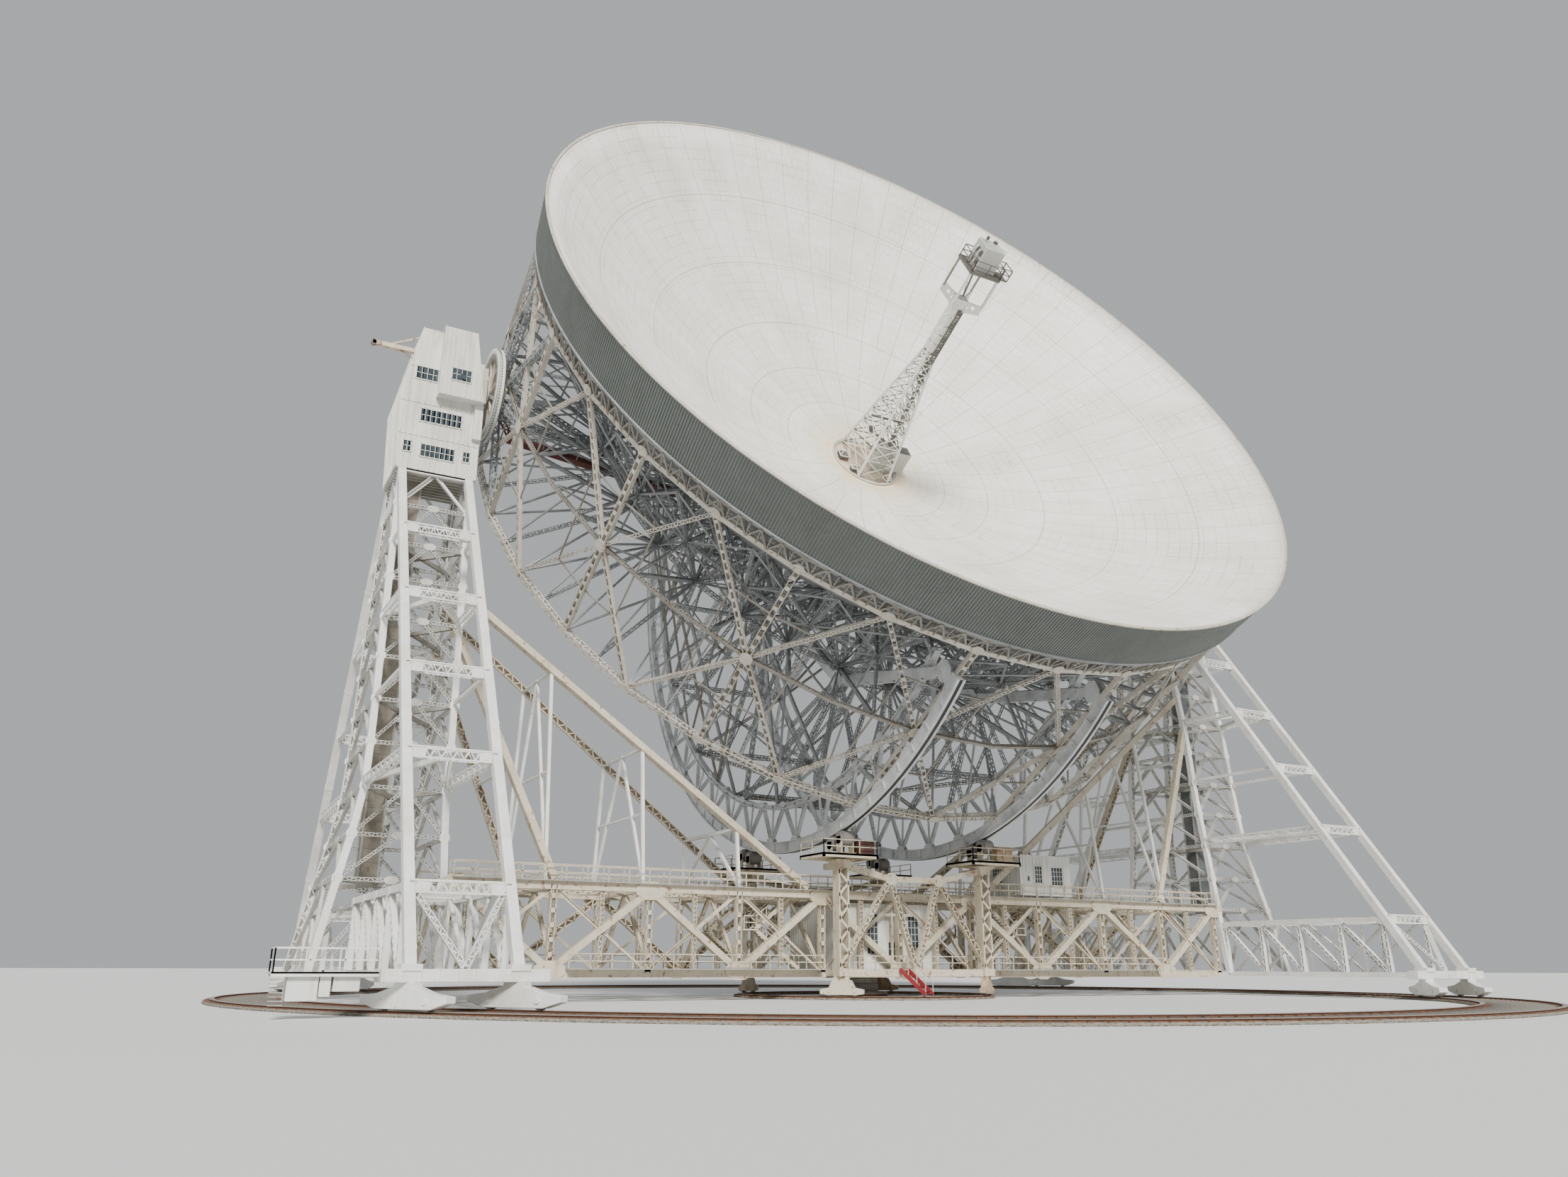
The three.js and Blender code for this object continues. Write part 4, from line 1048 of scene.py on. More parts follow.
@dataclass
class BowlSkins:
    """The reflecting surface, the old bowl under it and the ribbed skirt between their rims.

    Attributes:
        steps: number of flats round a skin.
        old_edge: radius where the old bowl ends.
        thick: thickness of a skin.
        ribs: number of ribs in the skirt's profiled sheet.
        depth: depth of a rib.
        foot: height of the skirt's lower edge.
    """

    steps: int = 192
    old_edge: float = 37.596
    thick: float = 0.12
    ribs: int = 960
    depth: float = 0.09
    foot: float = OLD_BOWL.height - 0.3

    def build(self, paints: Paints) -> None:
        """Makes the three skins.

        Args:
            paints: the finishes.
        """
        self.skin("reflector", DISH, DISH.rim, 22, paints.reflector,
                  ("dish_outer_ring", "dish_middle_ring", "dish_centre"))
        self.skin("old_bowl_membrane", OLD_BOWL, self.old_edge, 12, paints.membrane,
                  ("old_bowl",))
        self.skirt(paints)
        self.rim(paints)

    def skin(self, name: str, form: Paraboloid, edge: float, rings: int,
             paint: bpy.types.Material, nodes: tuple[str, ...]) -> None:
        """Turns one skin from its profile.

        Args:
            name: the piece's name.
            form: the dish's form.
            edge: radius where the skin ends.
            rings: number of bands from the middle to the edge.
            paint: its material.
            nodes: CAD nodes that it replaces.
        """
        radii = [edge * i / rings for i in range(rings + 1)]
        top = [(r, form.at(r)) for r in radii]
        under = [(r, z - self.thick) for r, z in reversed(top)]
        bm_piece(turned(top + under, self.steps), name, Place.BOWL, [paint], nodes)

    def skirt(self, paints: Paints) -> None:
        """Spins one rib of the skirt's profiled sheet round the rim.

        Args:
            paints: the finishes.
        """
        bm = bmesh.new()
        pitch = 2 * math.pi / self.ribs
        outside = ((0.0, 0.0), (0.35, 0.0), (0.5, self.depth), (0.85, self.depth), (1.0, 0.0))
        inside = ((0.0, -0.04), (1.0, -0.04))
        rows = [[[bm.verts.new(((radius + out) * math.cos(t * pitch),
                                (radius + out) * math.sin(t * pitch), height))
                  for t, out in plan] for plan in (outside, inside)]
                for height, radius in ((self.foot, 37.70), (DISH.height, DISH.rim))]
        (low_outer, low_inner), (high_outer, high_inner) = rows
        for i in range(len(outside) - 1):
            bm.faces.new((low_outer[i], low_outer[i + 1], high_outer[i + 1], high_outer[i]))
        bm.faces.new((low_inner[1], low_inner[0], high_inner[0], high_inner[1]))
        bm.faces.new((*high_outer, high_inner[1], high_inner[0]))
        bm.faces.new((*reversed(low_outer), low_inner[0], low_inner[1]))
        bmesh.ops.spin(bm, geom=bm.verts[:] + bm.edges[:] + bm.faces[:], cent=(0, 0, 0), axis=(0, 0, 1),
                       dvec=(0, 0, 0), angle=2 * math.pi * (self.ribs - 1) / self.ribs, steps=self.ribs - 1,
                       use_duplicate=True)
        bmesh.ops.remove_doubles(bm, verts=bm.verts, dist=1e-3)
        bmesh.ops.recalc_face_normals(bm, faces=bm.faces)
        bm_piece(bm, "ribbed_skirt", Place.BOWL, [paints.skirt], ("rim_skirt",))

    def rim(self, paints: Paints) -> None:
        """Turns the capping along the reflector's rim and the angle under the skirt.

        Args:
            paints: the finishes.
        """
        for name, (near, far), (low, high), paint, slot in (
                ("rim_capping", (38.02, 38.24), (DISH.height - 0.1, DISH.height + 0.03), paints.edge,
                 "lit_paint"),
                ("skirt_sill", (37.3, 37.86), (self.foot - 0.12, self.foot + 0.04), paints.lattice,
                 "lattice_paint")):
            ring = turned([(near, low), (far, low), (far, high), (near, high)], self.steps)
            bm_piece(ring, name, Place.BOWL, [paint])


@dataclass
class EdgeDrum:
    """Lattice drum round the bowl's edge: a ring beam, stars of eight arms, and a lower ring.

    Attributes:
        radius: radius of the lattice.
        upper: height of the ring beam's middle.
        star: height of the stars.
        lower: height of the lower ring.
        count: number of nodes round each ring.
        bays: number of zig-zag bays in a panel of the ring beam.
    """

    radius: float = 37.2
    upper: float = 12.3
    star: float = 2.4
    lower: float = -7.4
    count: int = 32
    bays: int = 8

    @property
    def step(self) -> float:
        """Returns the angle between two nodes in degrees."""
        return 360 / self.count

    @property
    def foot(self) -> float:
        """Returns the height of the ring beam's lower chord."""
        return self.upper - 0.5

    def build(self, paints: Paints) -> None:
        """Makes the four quarters of the drum.

        Args:
            paints: the finishes.
        """
        # Coat 1 is painted shade on the ring beam's chords, web and star bars; coat 2 is darker painted
        # shadow on the lacing in the gap by the skirt's foot.
        coats = [paints.edge, paints.shade, paints.gusset]
        for name, centre in (("front", 0.0), ("right", 90.0), ("back", 180.0), ("left", 270.0)):
            work = Steelwork()
            for k in range(-4, 4):
                self.ring_panel(work, centre + k * self.step)
            for k in (-3, -1, 1, 3):
                self.star_panel(work, centre + k * self.step)
            steel_piece(work, f"{name}_edge_steelwork", Place.BOWL, coats,
                        (f"{name}_edge_lattice",))

    def ring_panel(self, work: Steelwork, bearing: float) -> None:
        """Adds one panel of the ring beam and of the lower ring.

        Args:
            work: the steelwork to add to.
            bearing: bearing round the bowl in degrees.
        """
        after = bearing + self.step
        out = polar(1.0, 0, bearing)
        foot, outer = (self.radius, self.foot), (37.62, self.upper + 0.95)
        inner = (36.6, self.upper + 0.8)
        work.member(polar(*foot, bearing), polar(*foot, after), 0.36, 0.4, Build.CHANNELS)
        for chord in (outer, inner):
            work.bar(polar(*chord, bearing), polar(*chord, after), 0.2, 1)
        for i in range(self.bays):
            a, b = (bearing + self.step * (i + t) / self.bays for t in (0, 1))
            # Zig-zags in coat 1 are painted shade; those between the two top chords, in coat 2, are painted
            # shadow.
            faces = ((foot, outer, 0.16, 0.08, 1), (foot, inner, 0.12, 0.12, 1), (outer, inner, 0.1, 0.1, 2))
            for first, second, width, depth, coat in faces:
                first, second = (first, second) if i % 2 else (second, first)
                up = out if width > depth else UP
                work.member(polar(*first, a), polar(*second, b), width, depth, up=up, coat=coat)
            work.bar(polar(*foot, a), polar(*outer, a), 0.1, 1)
        work.gusset(polar(37.42, self.upper - 0.35, bearing), UP, out, 0.8, 0.06, 1.1)
        work.member(polar(self.radius, self.lower, bearing), polar(self.radius, self.lower, after),
                    0.5, 0.5, Build.LACED)
        work.gusset(polar(self.radius + 0.27, self.lower + 0.1, bearing), UP, out, 0.8, 0.05, 1.1)

    def star_panel(self, work: Steelwork, bearing: float) -> None:
        """Adds one star, its arms to both rings and the chord to the next star.

        Args:
            work: the steelwork to add to.
            bearing: bearing round the bowl in degrees.
        """
        middle = polar(self.radius, self.star, bearing)
        out = polar(1.0, 0, bearing)
        hand = 1 if math.sin(math.radians(bearing)) > 0.05 else -1
        for n in (self.foot, self.lower):
            work.member(middle, polar(self.radius, n, bearing), 0.46, 0.46, Build.BATTENED, out)
            for side in (-1, 1):
                open_face = (side * hand > 0) == (n > self.lower)
                build, size = (Build.BATTENED, 0.36) if open_face else (Build.LACED, 0.32)
                work.member(middle, polar(self.radius, n, bearing + side * self.step), size, size, build, out)
        for side in (-1, 1):
            beside = polar(self.radius, self.star, bearing + side * self.step)
            work.member(middle, beside, 0.28, 0.28, Build.CHANNELS, coat=1)
            for n in (self.foot, self.lower):
                quarter = between(middle, polar(self.radius, n, bearing + side * self.step), 0.5)
                work.bar(quarter, between(middle, beside, 0.5), 0.12, 1)
                work.bar(quarter, between(middle, polar(self.radius, n, bearing), 0.5), 0.12, 1)
        for offset in (-0.25, 0.25):
            work.gusset(middle + out * offset, UP, out, 1.15, 0.05, 1.15)


@dataclass
class SpaceFrame:
    """The radial trusses under the old bowl and the rings that tie them.

    Attributes:
        trusses: number of radial trusses.
        under: radius and height of each joint of a truss's lower chord, from the edge inwards.
        top_radii: radii of the joints under the old bowl.
        gap: how far the upper joints lie under the old bowl.
        drum: radius where the trusses meet the edge drum, and the drum's lower and star heights.
    """

    trusses: int = 32
    under: tuple[tuple[float, float], ...] = (
        (36.4, 10.6), (31.0, 3.4), (25.5, -3.6), (17.5, -6.5), (9.5, -9.4), (3.4, -9.6))
    top_radii: tuple[float, ...] = (36.4, 31.0, 25.5, 20.0, 14.5, 9.5, 4.0)
    gap: float = 0.42
    drum: tuple[float, float, float] = (37.0, EdgeDrum.lower, EdgeDrum.star)

    def top(self, i: int, bearing: float) -> np.ndarray:
        """Returns an upper joint."""
        radius = self.top_radii[i]
        return polar(radius, OLD_BOWL.at(radius) - self.gap, bearing)

    def low(self, i: int, bearing: float) -> np.ndarray:
        """Returns a lower joint."""
        radius, n = self.under[i]
        return polar(radius, n, bearing)

    def build(self, paints: Paints) -> None:
        """Makes the frame in four quarters and the purlins on the old bowl.

        Args:
            paints: the finishes.
        """
        coats = [paints.lattice, paints.gusset, paints.edge]
        step = 360 / self.trusses
        works = [Steelwork() for _ in range(4)]
        for k in range(self.trusses):
            work = works[k * 4 // self.trusses]
            self.truss(work, k * step + step / 2, k)
            self.ties(work, k * step + step / 2, step, k)
        for i, work in enumerate(works):
            nodes = ("bowl_ribs",) if i == 0 else ()
            steel_piece(work, f"space_frame_{i + 1}", Place.BOWL, coats, nodes)
        self.purlins(coats)

    def truss(self, work: Steelwork, bearing: float, k: int) -> None:
        """Adds one radial truss; every second one stops at the toe ring.

        Args:
            work: the steelwork to add to.
            bearing: bearing round the bowl in degrees.
            k: the truss's number.
        """
        full = k % 2 == 0
        last = 5 if full else 3
        lows = [self.low(i, bearing) for i in range(last + 1)]
        for a, b in zip(lows[1:], lows[2:]):
            work.member(a, b, 0.34, 0.34, Build.LACED)
        work.member(lows[0], lows[1], 0.26, 0.26, Build.LACED)
        pairs = ((1, 1), (1, 2), (2, 2), (2, 3), (3, 3), (3, 4))
        pairs += ((4, 4), (4, 5), (5, 5), (5, 6)) if full else ()
        for low, top in pairs:
            work.member(lows[low], self.top(top, bearing), 0.22, 0.22, Build.CHANNELS)
        work.chain([self.top(i, bearing) for i in range(7 if full else 5)], 0.24, 0.3, Build.ANGLE)
        side = polar(1.0, 0, bearing + 90)
        for i in range(1, last):
            work.gusset(lows[i], polar(1.0, 0, bearing), side, 0.9, 0.3, 0.9, 1)
        for i, (low, top) in enumerate(pairs[:6]):
            knee = between(lows[low], self.top(top, bearing), 0.5)
            far = between(lows[low], lows[min(low + 1, last)], 0.5) if i % 2 else self.top(top + 1, bearing)
            work.bar(knee, far, 0.13)
        drum, star = (polar(self.drum[0], n, bearing) for n in self.drum[1:])
        work.member(lows[2], drum, 0.3, 0.3, Build.LACED)
        work.member(lows[2], star, 0.3, 0.3, Build.CHANNELS)
        work.member(lows[1], star, 0.24, 0.24, Build.CHANNELS)
        for end in (lows[1], drum):
            work.bar(between(lows[2], star, 0.5), end, 0.14)

    def ties(self, work: Steelwork, bearing: float, step: float, k: int) -> None:
        """Adds the ring members and slanting ties from one truss to the next.

        Args:
            work: the steelwork to add to.
            bearing: bearing round the bowl in degrees.
            step: bearing from one truss to the next.
            k: the first truss's number.
        """
        after, middle = bearing + step, bearing + step / 2
        for i, size in ((1, 0.26), (2, 0.38), (3, 0.28)):
            work.member(self.low(i, bearing), self.low(i, after), size, size, Build.LACED)
        for i in range(4):
            work.member(self.top(i, bearing), self.top(i, after), 0.2, 0.26, Build.ANGLE)
        for a, b in ((bearing, after), (after, bearing)):
            for i in range(4):
                work.bar(self.top(i, a), self.top(i + 1, b), 0.12)
            for low, top in ((1, 2), (2, 1), (2, 3), (3, 2), (3, 4), (2, 2)):
                work.bar(self.low(low, a), self.top(top, b), 0.14)
            for low in (0, 1, 2):
                work.bar(self.low(low, a), self.low(low + 1, b), 0.15)
            for n, size in zip(self.drum[1:], (0.16, 0.14)):
                work.bar(self.low(2, a), polar(self.drum[0], n, middle), size)
        if k % 2 == 0:
            far = bearing + 2 * step
            work.member(self.low(4, bearing), self.low(4, far), 0.34, 0.34, Build.LACED)
            work.member(self.low(5, bearing), self.low(5, far), 0.24, 0.24, Build.CHANNELS)
            for start, stop in ((bearing, far), (far, bearing)):
                work.bar(self.low(3, start), self.low(4, stop), 0.18)
                work.bar(self.low(4, start), self.top(4, stop), 0.14)
                work.bar(self.low(4, start), self.top(5, stop), 0.14)
            for i in (4, 5, 6):
                work.member(self.top(i, bearing), self.top(i, far), 0.2, 0.26, Build.ANGLE)

    def purlins(self, coats: list[bpy.types.Material]) -> None:
        """Adds the rings of angles that the old bowl's sheets are fixed to.

        Args:
            coats: their finishes.
        """
        work = Steelwork()
        count = 64
        drop = 0.24
        for radius in (34.0, 28.2, 22.7, 17.2, 12.0):
            n = OLD_BOWL.at(radius) - drop
            for k in range(count):
                a, b = 360 * k / count, 360 * (k + 1) / count
                work.member(polar(radius, n, a), polar(radius, n, b), 0.16, 0.2)
        for k in range(count):
            radii = (37.0, 31.0, 25.0, 19.0, 14.0)
            points = [polar(r, OLD_BOWL.at(r) - drop, 360 * k / count) for r in radii]
            work.chain(points, 0.14, 0.2)
        steel_piece(work, "old_bowl_purlins", Place.BOWL, coats)


@dataclass
class WheelGirder:
    """One of the two bicycle-wheel girders whose rim rides on the cradle's rollers.

    Attributes:
        side: -1 left, 1 right.
        x: distance from the middle.
        radius: radius of the running rim.
        inner: radius of the inner flange.
        end: degrees by which the rim passes the elevation axis's level.
        chord: the inner chord's joints as (u, n) pairs.
    """

    side: int
    x: float = 7.33
    radius: float = 38.4
    inner: float = 34.4
    end: float = 14.0
    chord: tuple[tuple[float, float], ...] = (
        (-35.6, 8.4), (-25.5, -4.2), (-9.5, -10.0), (9.5, -10.0), (25.5, -4.2), (35.6, 8.4))

    def at(self, degrees: float, radius: float, offset: float = 0.0) -> np.ndarray:
        """Returns a point on an arc; 0 is at the bowl's lower edge and 90 under its middle."""
        a = math.radians(degrees)
        return np.array((self.side * self.x + offset, -radius * math.cos(a), -radius * math.sin(a)))

    def build(self, name: str, paints: Paints) -> None:
        """Makes the girder: its rims turned, its bracing stamped.

        Args:
            name: start of the pieces' names.
            paints: the finishes.
        """
        bm = bmesh.new()
        for edge, bands in (
                (self.radius, ((0.0, 0.12, 0.78, 1), (-0.005, 0.02, 0.3, 0), (0.1, 0.95, 0.5, 1),
                               (0.93, 1.03, 0.74, 1))),
                (self.inner, ((0.0, 0.08, 0.6, 1), (0.07, 0.42, 0.16, 1), (0.41, 0.5, 0.6, 1)))):
            for outer, inner, width, coat in bands:
                self.band(bm, edge - outer, edge - inner, width, coat)
        bm_piece(bm, f"{name}_wheel_rims", Place.BOWL, [paints.tyre, paints.wheel])
        work = Steelwork()
        self.bracing(work)
        self.inner_chord(work)
        steel_piece(work, f"{name}_wheel_bracing", Place.BOWL, [paints.wheel, paints.lattice],
                    (f"{name}_wheel_girder",))

    def band(self, bm: bmesh.types.BMesh, outer: float, inner: float, width: float, coat: int) -> None:
        """Spins one band of the rim through its arc.

        Args:
            bm: the bmesh to add to.
            outer: outer radius.
            inner: inner radius.
            width: width across.
            coat: index of the paint.
        """
        start, sweep, steps = -self.end, 180 + 2 * self.end, 96
        corners = [self.at(start, r, o) for r, o in
                   ((outer, -width / 2), (outer, width / 2), (inner, width / 2), (inner, -width / 2))]
        verts = [bm.verts.new(c) for c in corners]
        first = bm.faces.new(verts)
        before = set(bm.faces)
        result = bmesh.ops.spin(bm, geom=[first, *verts, *first.edges], cent=(self.side * self.x, 0, 0),
                                axis=(1, 0, 0), dvec=(0, 0, 0), angle=math.radians(sweep), steps=steps)
        ends = [f for f in result["geom_last"] if isinstance(f, bmesh.types.BMFace)]
        if not ends:
            last = [v for v in result["geom_last"] if isinstance(v, bmesh.types.BMVert)]
            bm.faces.new(last)
        made = [f for f in bm.faces if f not in before] + [first]
        bmesh.ops.recalc_face_normals(bm, faces=made)
        for face in made:
            face.material_index = coat

    def bracing(self, work: Steelwork) -> None:
        """Adds the V bracing between the two rims, its gussets and the rail's brackets.

        Args:
            work: the steelwork to add to.
        """
        panels = 28
        width = (180 + 2 * (self.end - 2)) / panels
        start = -(self.end - 2)
        out = np.array((1.0, 0, 0))
        for i in range(panels):
            a = start + width * i
            foot = self.at(a + width / 2, self.radius - 1.0)
            for b in (a, a + width):
                work.member(self.at(b, self.inner - 0.45), foot, 0.27, 0.32, Build.CHANNELS, out)
            work.bar(self.at(a + width / 2, self.inner - 0.45), foot, 0.16)
            along = self.at(a + width / 2 + 90, 1.0) - np.array((self.side * self.x, 0, 0))
            for offset in (-0.2, 0.2):
                work.gusset(self.at(a + width / 2, self.radius - 1.15, offset), along, out, 1.3, 0.04, 0.6)
                work.gusset(self.at(a, self.inner - 0.45, offset), along, out, 1.1, 0.04, 0.6)
        for i in range(2 * panels):
            a = start + width * (i + 0.5) / 2
            for offset in (-0.32, 0.32):
                inner, outer = self.at(a, self.radius - 0.95, offset), self.at(a, self.radius - 0.12, offset)
                work.member(inner, outer, 0.06, 0.14, up=(1, 0, 0))

    def inner_chord(self, work: Steelwork) -> None:
        """Adds the heavy inner chord, the spokes to it and its gussets.

        Args:
            work: the steelwork to add to.
        """
        x = self.side * self.x
        points = [np.array((x, u, n)) for u, n in self.chord]
        for a, b in zip(points, points[1:]):
            work.member(a, b, 0.8, 0.8, up=(1, 0, 0))
            work.member(a, b, 1.0, 0.5, Build.LEG, (1, 0, 0))
        for point in points:
            for offset in (-0.45, 0.45):
                work.gusset(point + np.array((offset, 0, 0)), (0, 1, 0), (1, 0, 0), 2.0, 0.05, 1.8)
        fans = ((0, (4,)), (1, (10, 22, 34, 46)), (2, (46, 58, 70, 82)), (3, (98, 110, 122, 134)),
                (4, (134, 146, 158, 170)), (5, (176,)))
        for joint, spokes in fans:
            for degrees in spokes:
                work.member(points[joint], self.at(degrees, self.inner - 0.5), 0.4, 0.4, Build.LACED,
                            (1, 0, 0), 1)
        for joint, degrees in ((0, -12), (5, 192)):
            work.member(points[joint], self.at(degrees, self.radius - 0.6), 0.6, 0.7, up=(1, 0, 0))
        middle = (points[2] + points[3]) / 2
        work.member(middle, self.at(90, self.inner - 0.5), 0.46, 0.46, Build.LACED, (1, 0, 0))
        for point in points[1:5]:
            for u in (point[1] - 5, point[1], point[1] + 5):
                top = (x, u, OLD_BOWL.at(math.hypot(u, self.x)) - 0.5)
                work.member(point, top, 0.4, 0.4, Build.LACED, (1, 0, 0))


@dataclass
class WheelLinks:
    """Cross bracing between the two wheel girders and from them to the radial trusses.

    Attributes:
        x: distance of a wheel girder from the middle.
        radius: radius on which the bracing meets the girders.
        first: degrees along the girder of the first cross member.
        step: degrees from one to the next.
        count: number of cross members.
    """

    x: float = WheelGirder.x
    radius: float = 34.0
    first: float = 10.0
    step: float = 20.0
    count: int = 9

    def build(self, paints: Paints) -> None:
        """Makes the cross bracing.

        Args:
            paints: the finishes.
        """
        work = Steelwork()
        rows = [(WheelGirder(-1).at(a, self.radius), WheelGirder(1).at(a, self.radius))
                for a in (self.first + self.step * i for i in range(self.count))]
        for left, right in rows:
            work.member(left, right, 0.44, 0.44, Build.LACED)
        for (left, right), (far_left, far_right) in zip(rows, rows[1:]):
            work.member(left, far_right, 0.3, 0.3, Build.LACED, coat=1)
            work.member(right, far_left, 0.3, 0.3, Build.LACED, coat=1)
            middle, ahead = between(left, right, 0.5), between(far_left, far_right, 0.5)
            for end, row in ((left, middle), (right, middle), (far_left, ahead), (far_right, ahead)):
                work.bar(between(middle, ahead, 0.5), between(end, row, 0.5), 0.14)
        for u, n in WheelGirder(1).chord[1:-1]:
            work.member((-self.x, u, n), (self.x, u, n), 0.44, 0.44, Build.LACED)
        for side in (-1, 1):
            wheel = WheelGirder(side)
            for degrees, bearing in ((18, 33.75), (34, 33.75), (50, 56.25), (130, 123.75), (146, 146.25),
                                     (162, 146.25)):
                bottom = wheel.at(degrees, self.radius)
                joint = polar(*SpaceFrame.under[2], side * bearing)
                work.member(bottom, joint, 0.26, 0.26, Build.CHANNELS)
            for degrees in (58, 74, 90, 106, 122):
                bottom = wheel.at(degrees, self.radius)
                for reach in (12, 20):
                    far = np.array((side * reach, bottom[1] * 0.72, -6.8))
                    work.member(bottom, far, 0.22, 0.22, Build.CHANNELS, coat=1)
        # Coat 1 is grey as painted shade for the diagonals and the struts deep under the bowl.
        steel_piece(work, "wheel_cross_steelwork", Place.BOWL, [paints.lattice, paints.shade],
                    ("wheel_cross_bracing",))


@dataclass
class Trunnion:
    """Rack ring and hub on the elevation axis, with the struts that spread its load into the bowl.

    Attributes:
        side: -1 left, 1 right.
        x: distance of the ring from the middle.
        radius: radius of the ring.
        teeth: number of teeth on the rack.
    """

    side: int
    x: float = 38.1
    radius: float = 4.2
    teeth: int = 96

    def build(self, name: str, paints: Paints) -> None:
        """Makes the ring and its steelwork.

        Args:
            name: start of the pieces' names.
            paints: the finishes.
        """
        edge = [(-0.85, -0.3), (0, -0.3), (0, -0.24), (-0.08, -0.24), (-0.08, 0.24), (0, 0.24), (0, 0.3),
                (-0.85, 0.3)]
        rim = turned([(self.radius + r, z) for r, z in edge], self.teeth)
        hub = turned([(0.0, -0.4), (1.25, -0.4), (1.25, -0.3), (0.8, -0.2), (0.8, 0.2), (1.1, 0.3),
                      (1.1, 0.36), (0.0, 0.36)], 32)
        turn = Matrix.Translation((self.side * self.x, 0, 0)) @ Matrix.Rotation(math.pi / 2, 4, "Y")
        for bm, title, paint in ((rim, "rack_ring", paints.mast), (hub, "hub", paints.wheel)):
            bmesh.ops.transform(bm, matrix=turn, verts=bm.verts)
            bm_piece(bm, f"{name}_{title}", Place.BOWL, [paint])
        work = Steelwork()
        centre = np.array((self.side * self.x, 0, 0))
        for k in range(12):
            a = math.radians(30 * k)
            spoke = np.array((0, math.cos(a), math.sin(a)))
            work.member(centre, centre + spoke * (self.radius - 0.4), 0.22, 0.32, up=(1, 0, 0))
        start = centre - np.array((self.side * 0.75, 0, 0))
        for y in (-1.7, 1.7):
            work.member(start + (0, y, -2.4), start + (0, y, 2.4), 1.1, 0.12, up=(1, 0, 0))
        for k in range(self.teeth):
            a = 2 * math.pi * k / self.teeth
            spoke = np.array((0, math.cos(a), math.sin(a)))
            root, tip = centre + spoke * (self.radius - 0.2), centre + spoke * (self.radius - 0.03)
            work.bar(root, tip, 0.12, 1, (1, 0, 0))
        for bearing in (78.75, 90.0, 101.25):
            for n, size in ((12.0, 0.5), (EdgeDrum.star, 0.6), (EdgeDrum.lower, 0.6)):
                if (bearing, n) != (90.0, EdgeDrum.star):
                    work.member(start, polar(37.1, n, self.side * bearing), size, size, Build.LACED,
                                (1, 0, 0), 2)
        inward = centre - np.array((self.side * 12.6, 0, 3.6))
        for y in (-2.6, 2.6):
            work.member(centre + np.array((-self.side * 0.7, y, 0)), inward, 0.6, 0.6, Build.LACED, coat=2)
        steel_piece(work, f"{name}_trunnion_struts", Place.BOWL, [paints.edge, paints.gusset, paints.lattice],
                    (f"{name}_trunnion",))


class AxisWalkway:
    """Red-brown box beam along the elevation axis with a railed walkway on its top."""

    def build(self, paints: Paints) -> None:
        """Makes the beam, its bracket and the rails.

        Args:
            paints: the finishes.
        """
        work = Steelwork()
        outer, inner, hub = (-35.4, 0, -4.05), (-16.8, 0, -6.4), (-37.5, 0, -0.6)
        for y in (-0.45, 0.45):
            a, b = (outer[0], y, outer[2]), (inner[0], y, inner[2])
            work.member(a, b, 0.08, 0.6)
            work.railing([(a[0], y, a[2] + 0.28), (b[0], y, b[2] + 0.28)], 1.1, 1)
        work.member((outer[0], 0, outer[2] + 0.26), (inner[0], 0, inner[2] + 0.26), 1.0, 0.08)
        for i in range(19):
            a = between(outer, inner, i / 18)
            work.block((a[0] - 0.05, a[0] + 0.05), (-0.42, 0.42), (a[2] - 0.25, a[2] + 0.22))
        work.member(hub, (outer[0] + 0.3, 0, outer[2]), 0.5, 0.5, Build.LACED)
        steel_piece(work, "axis_walkway", Place.BOWL, [paints.oxide, paints.lattice],
                    ("left_axis_walkway",))


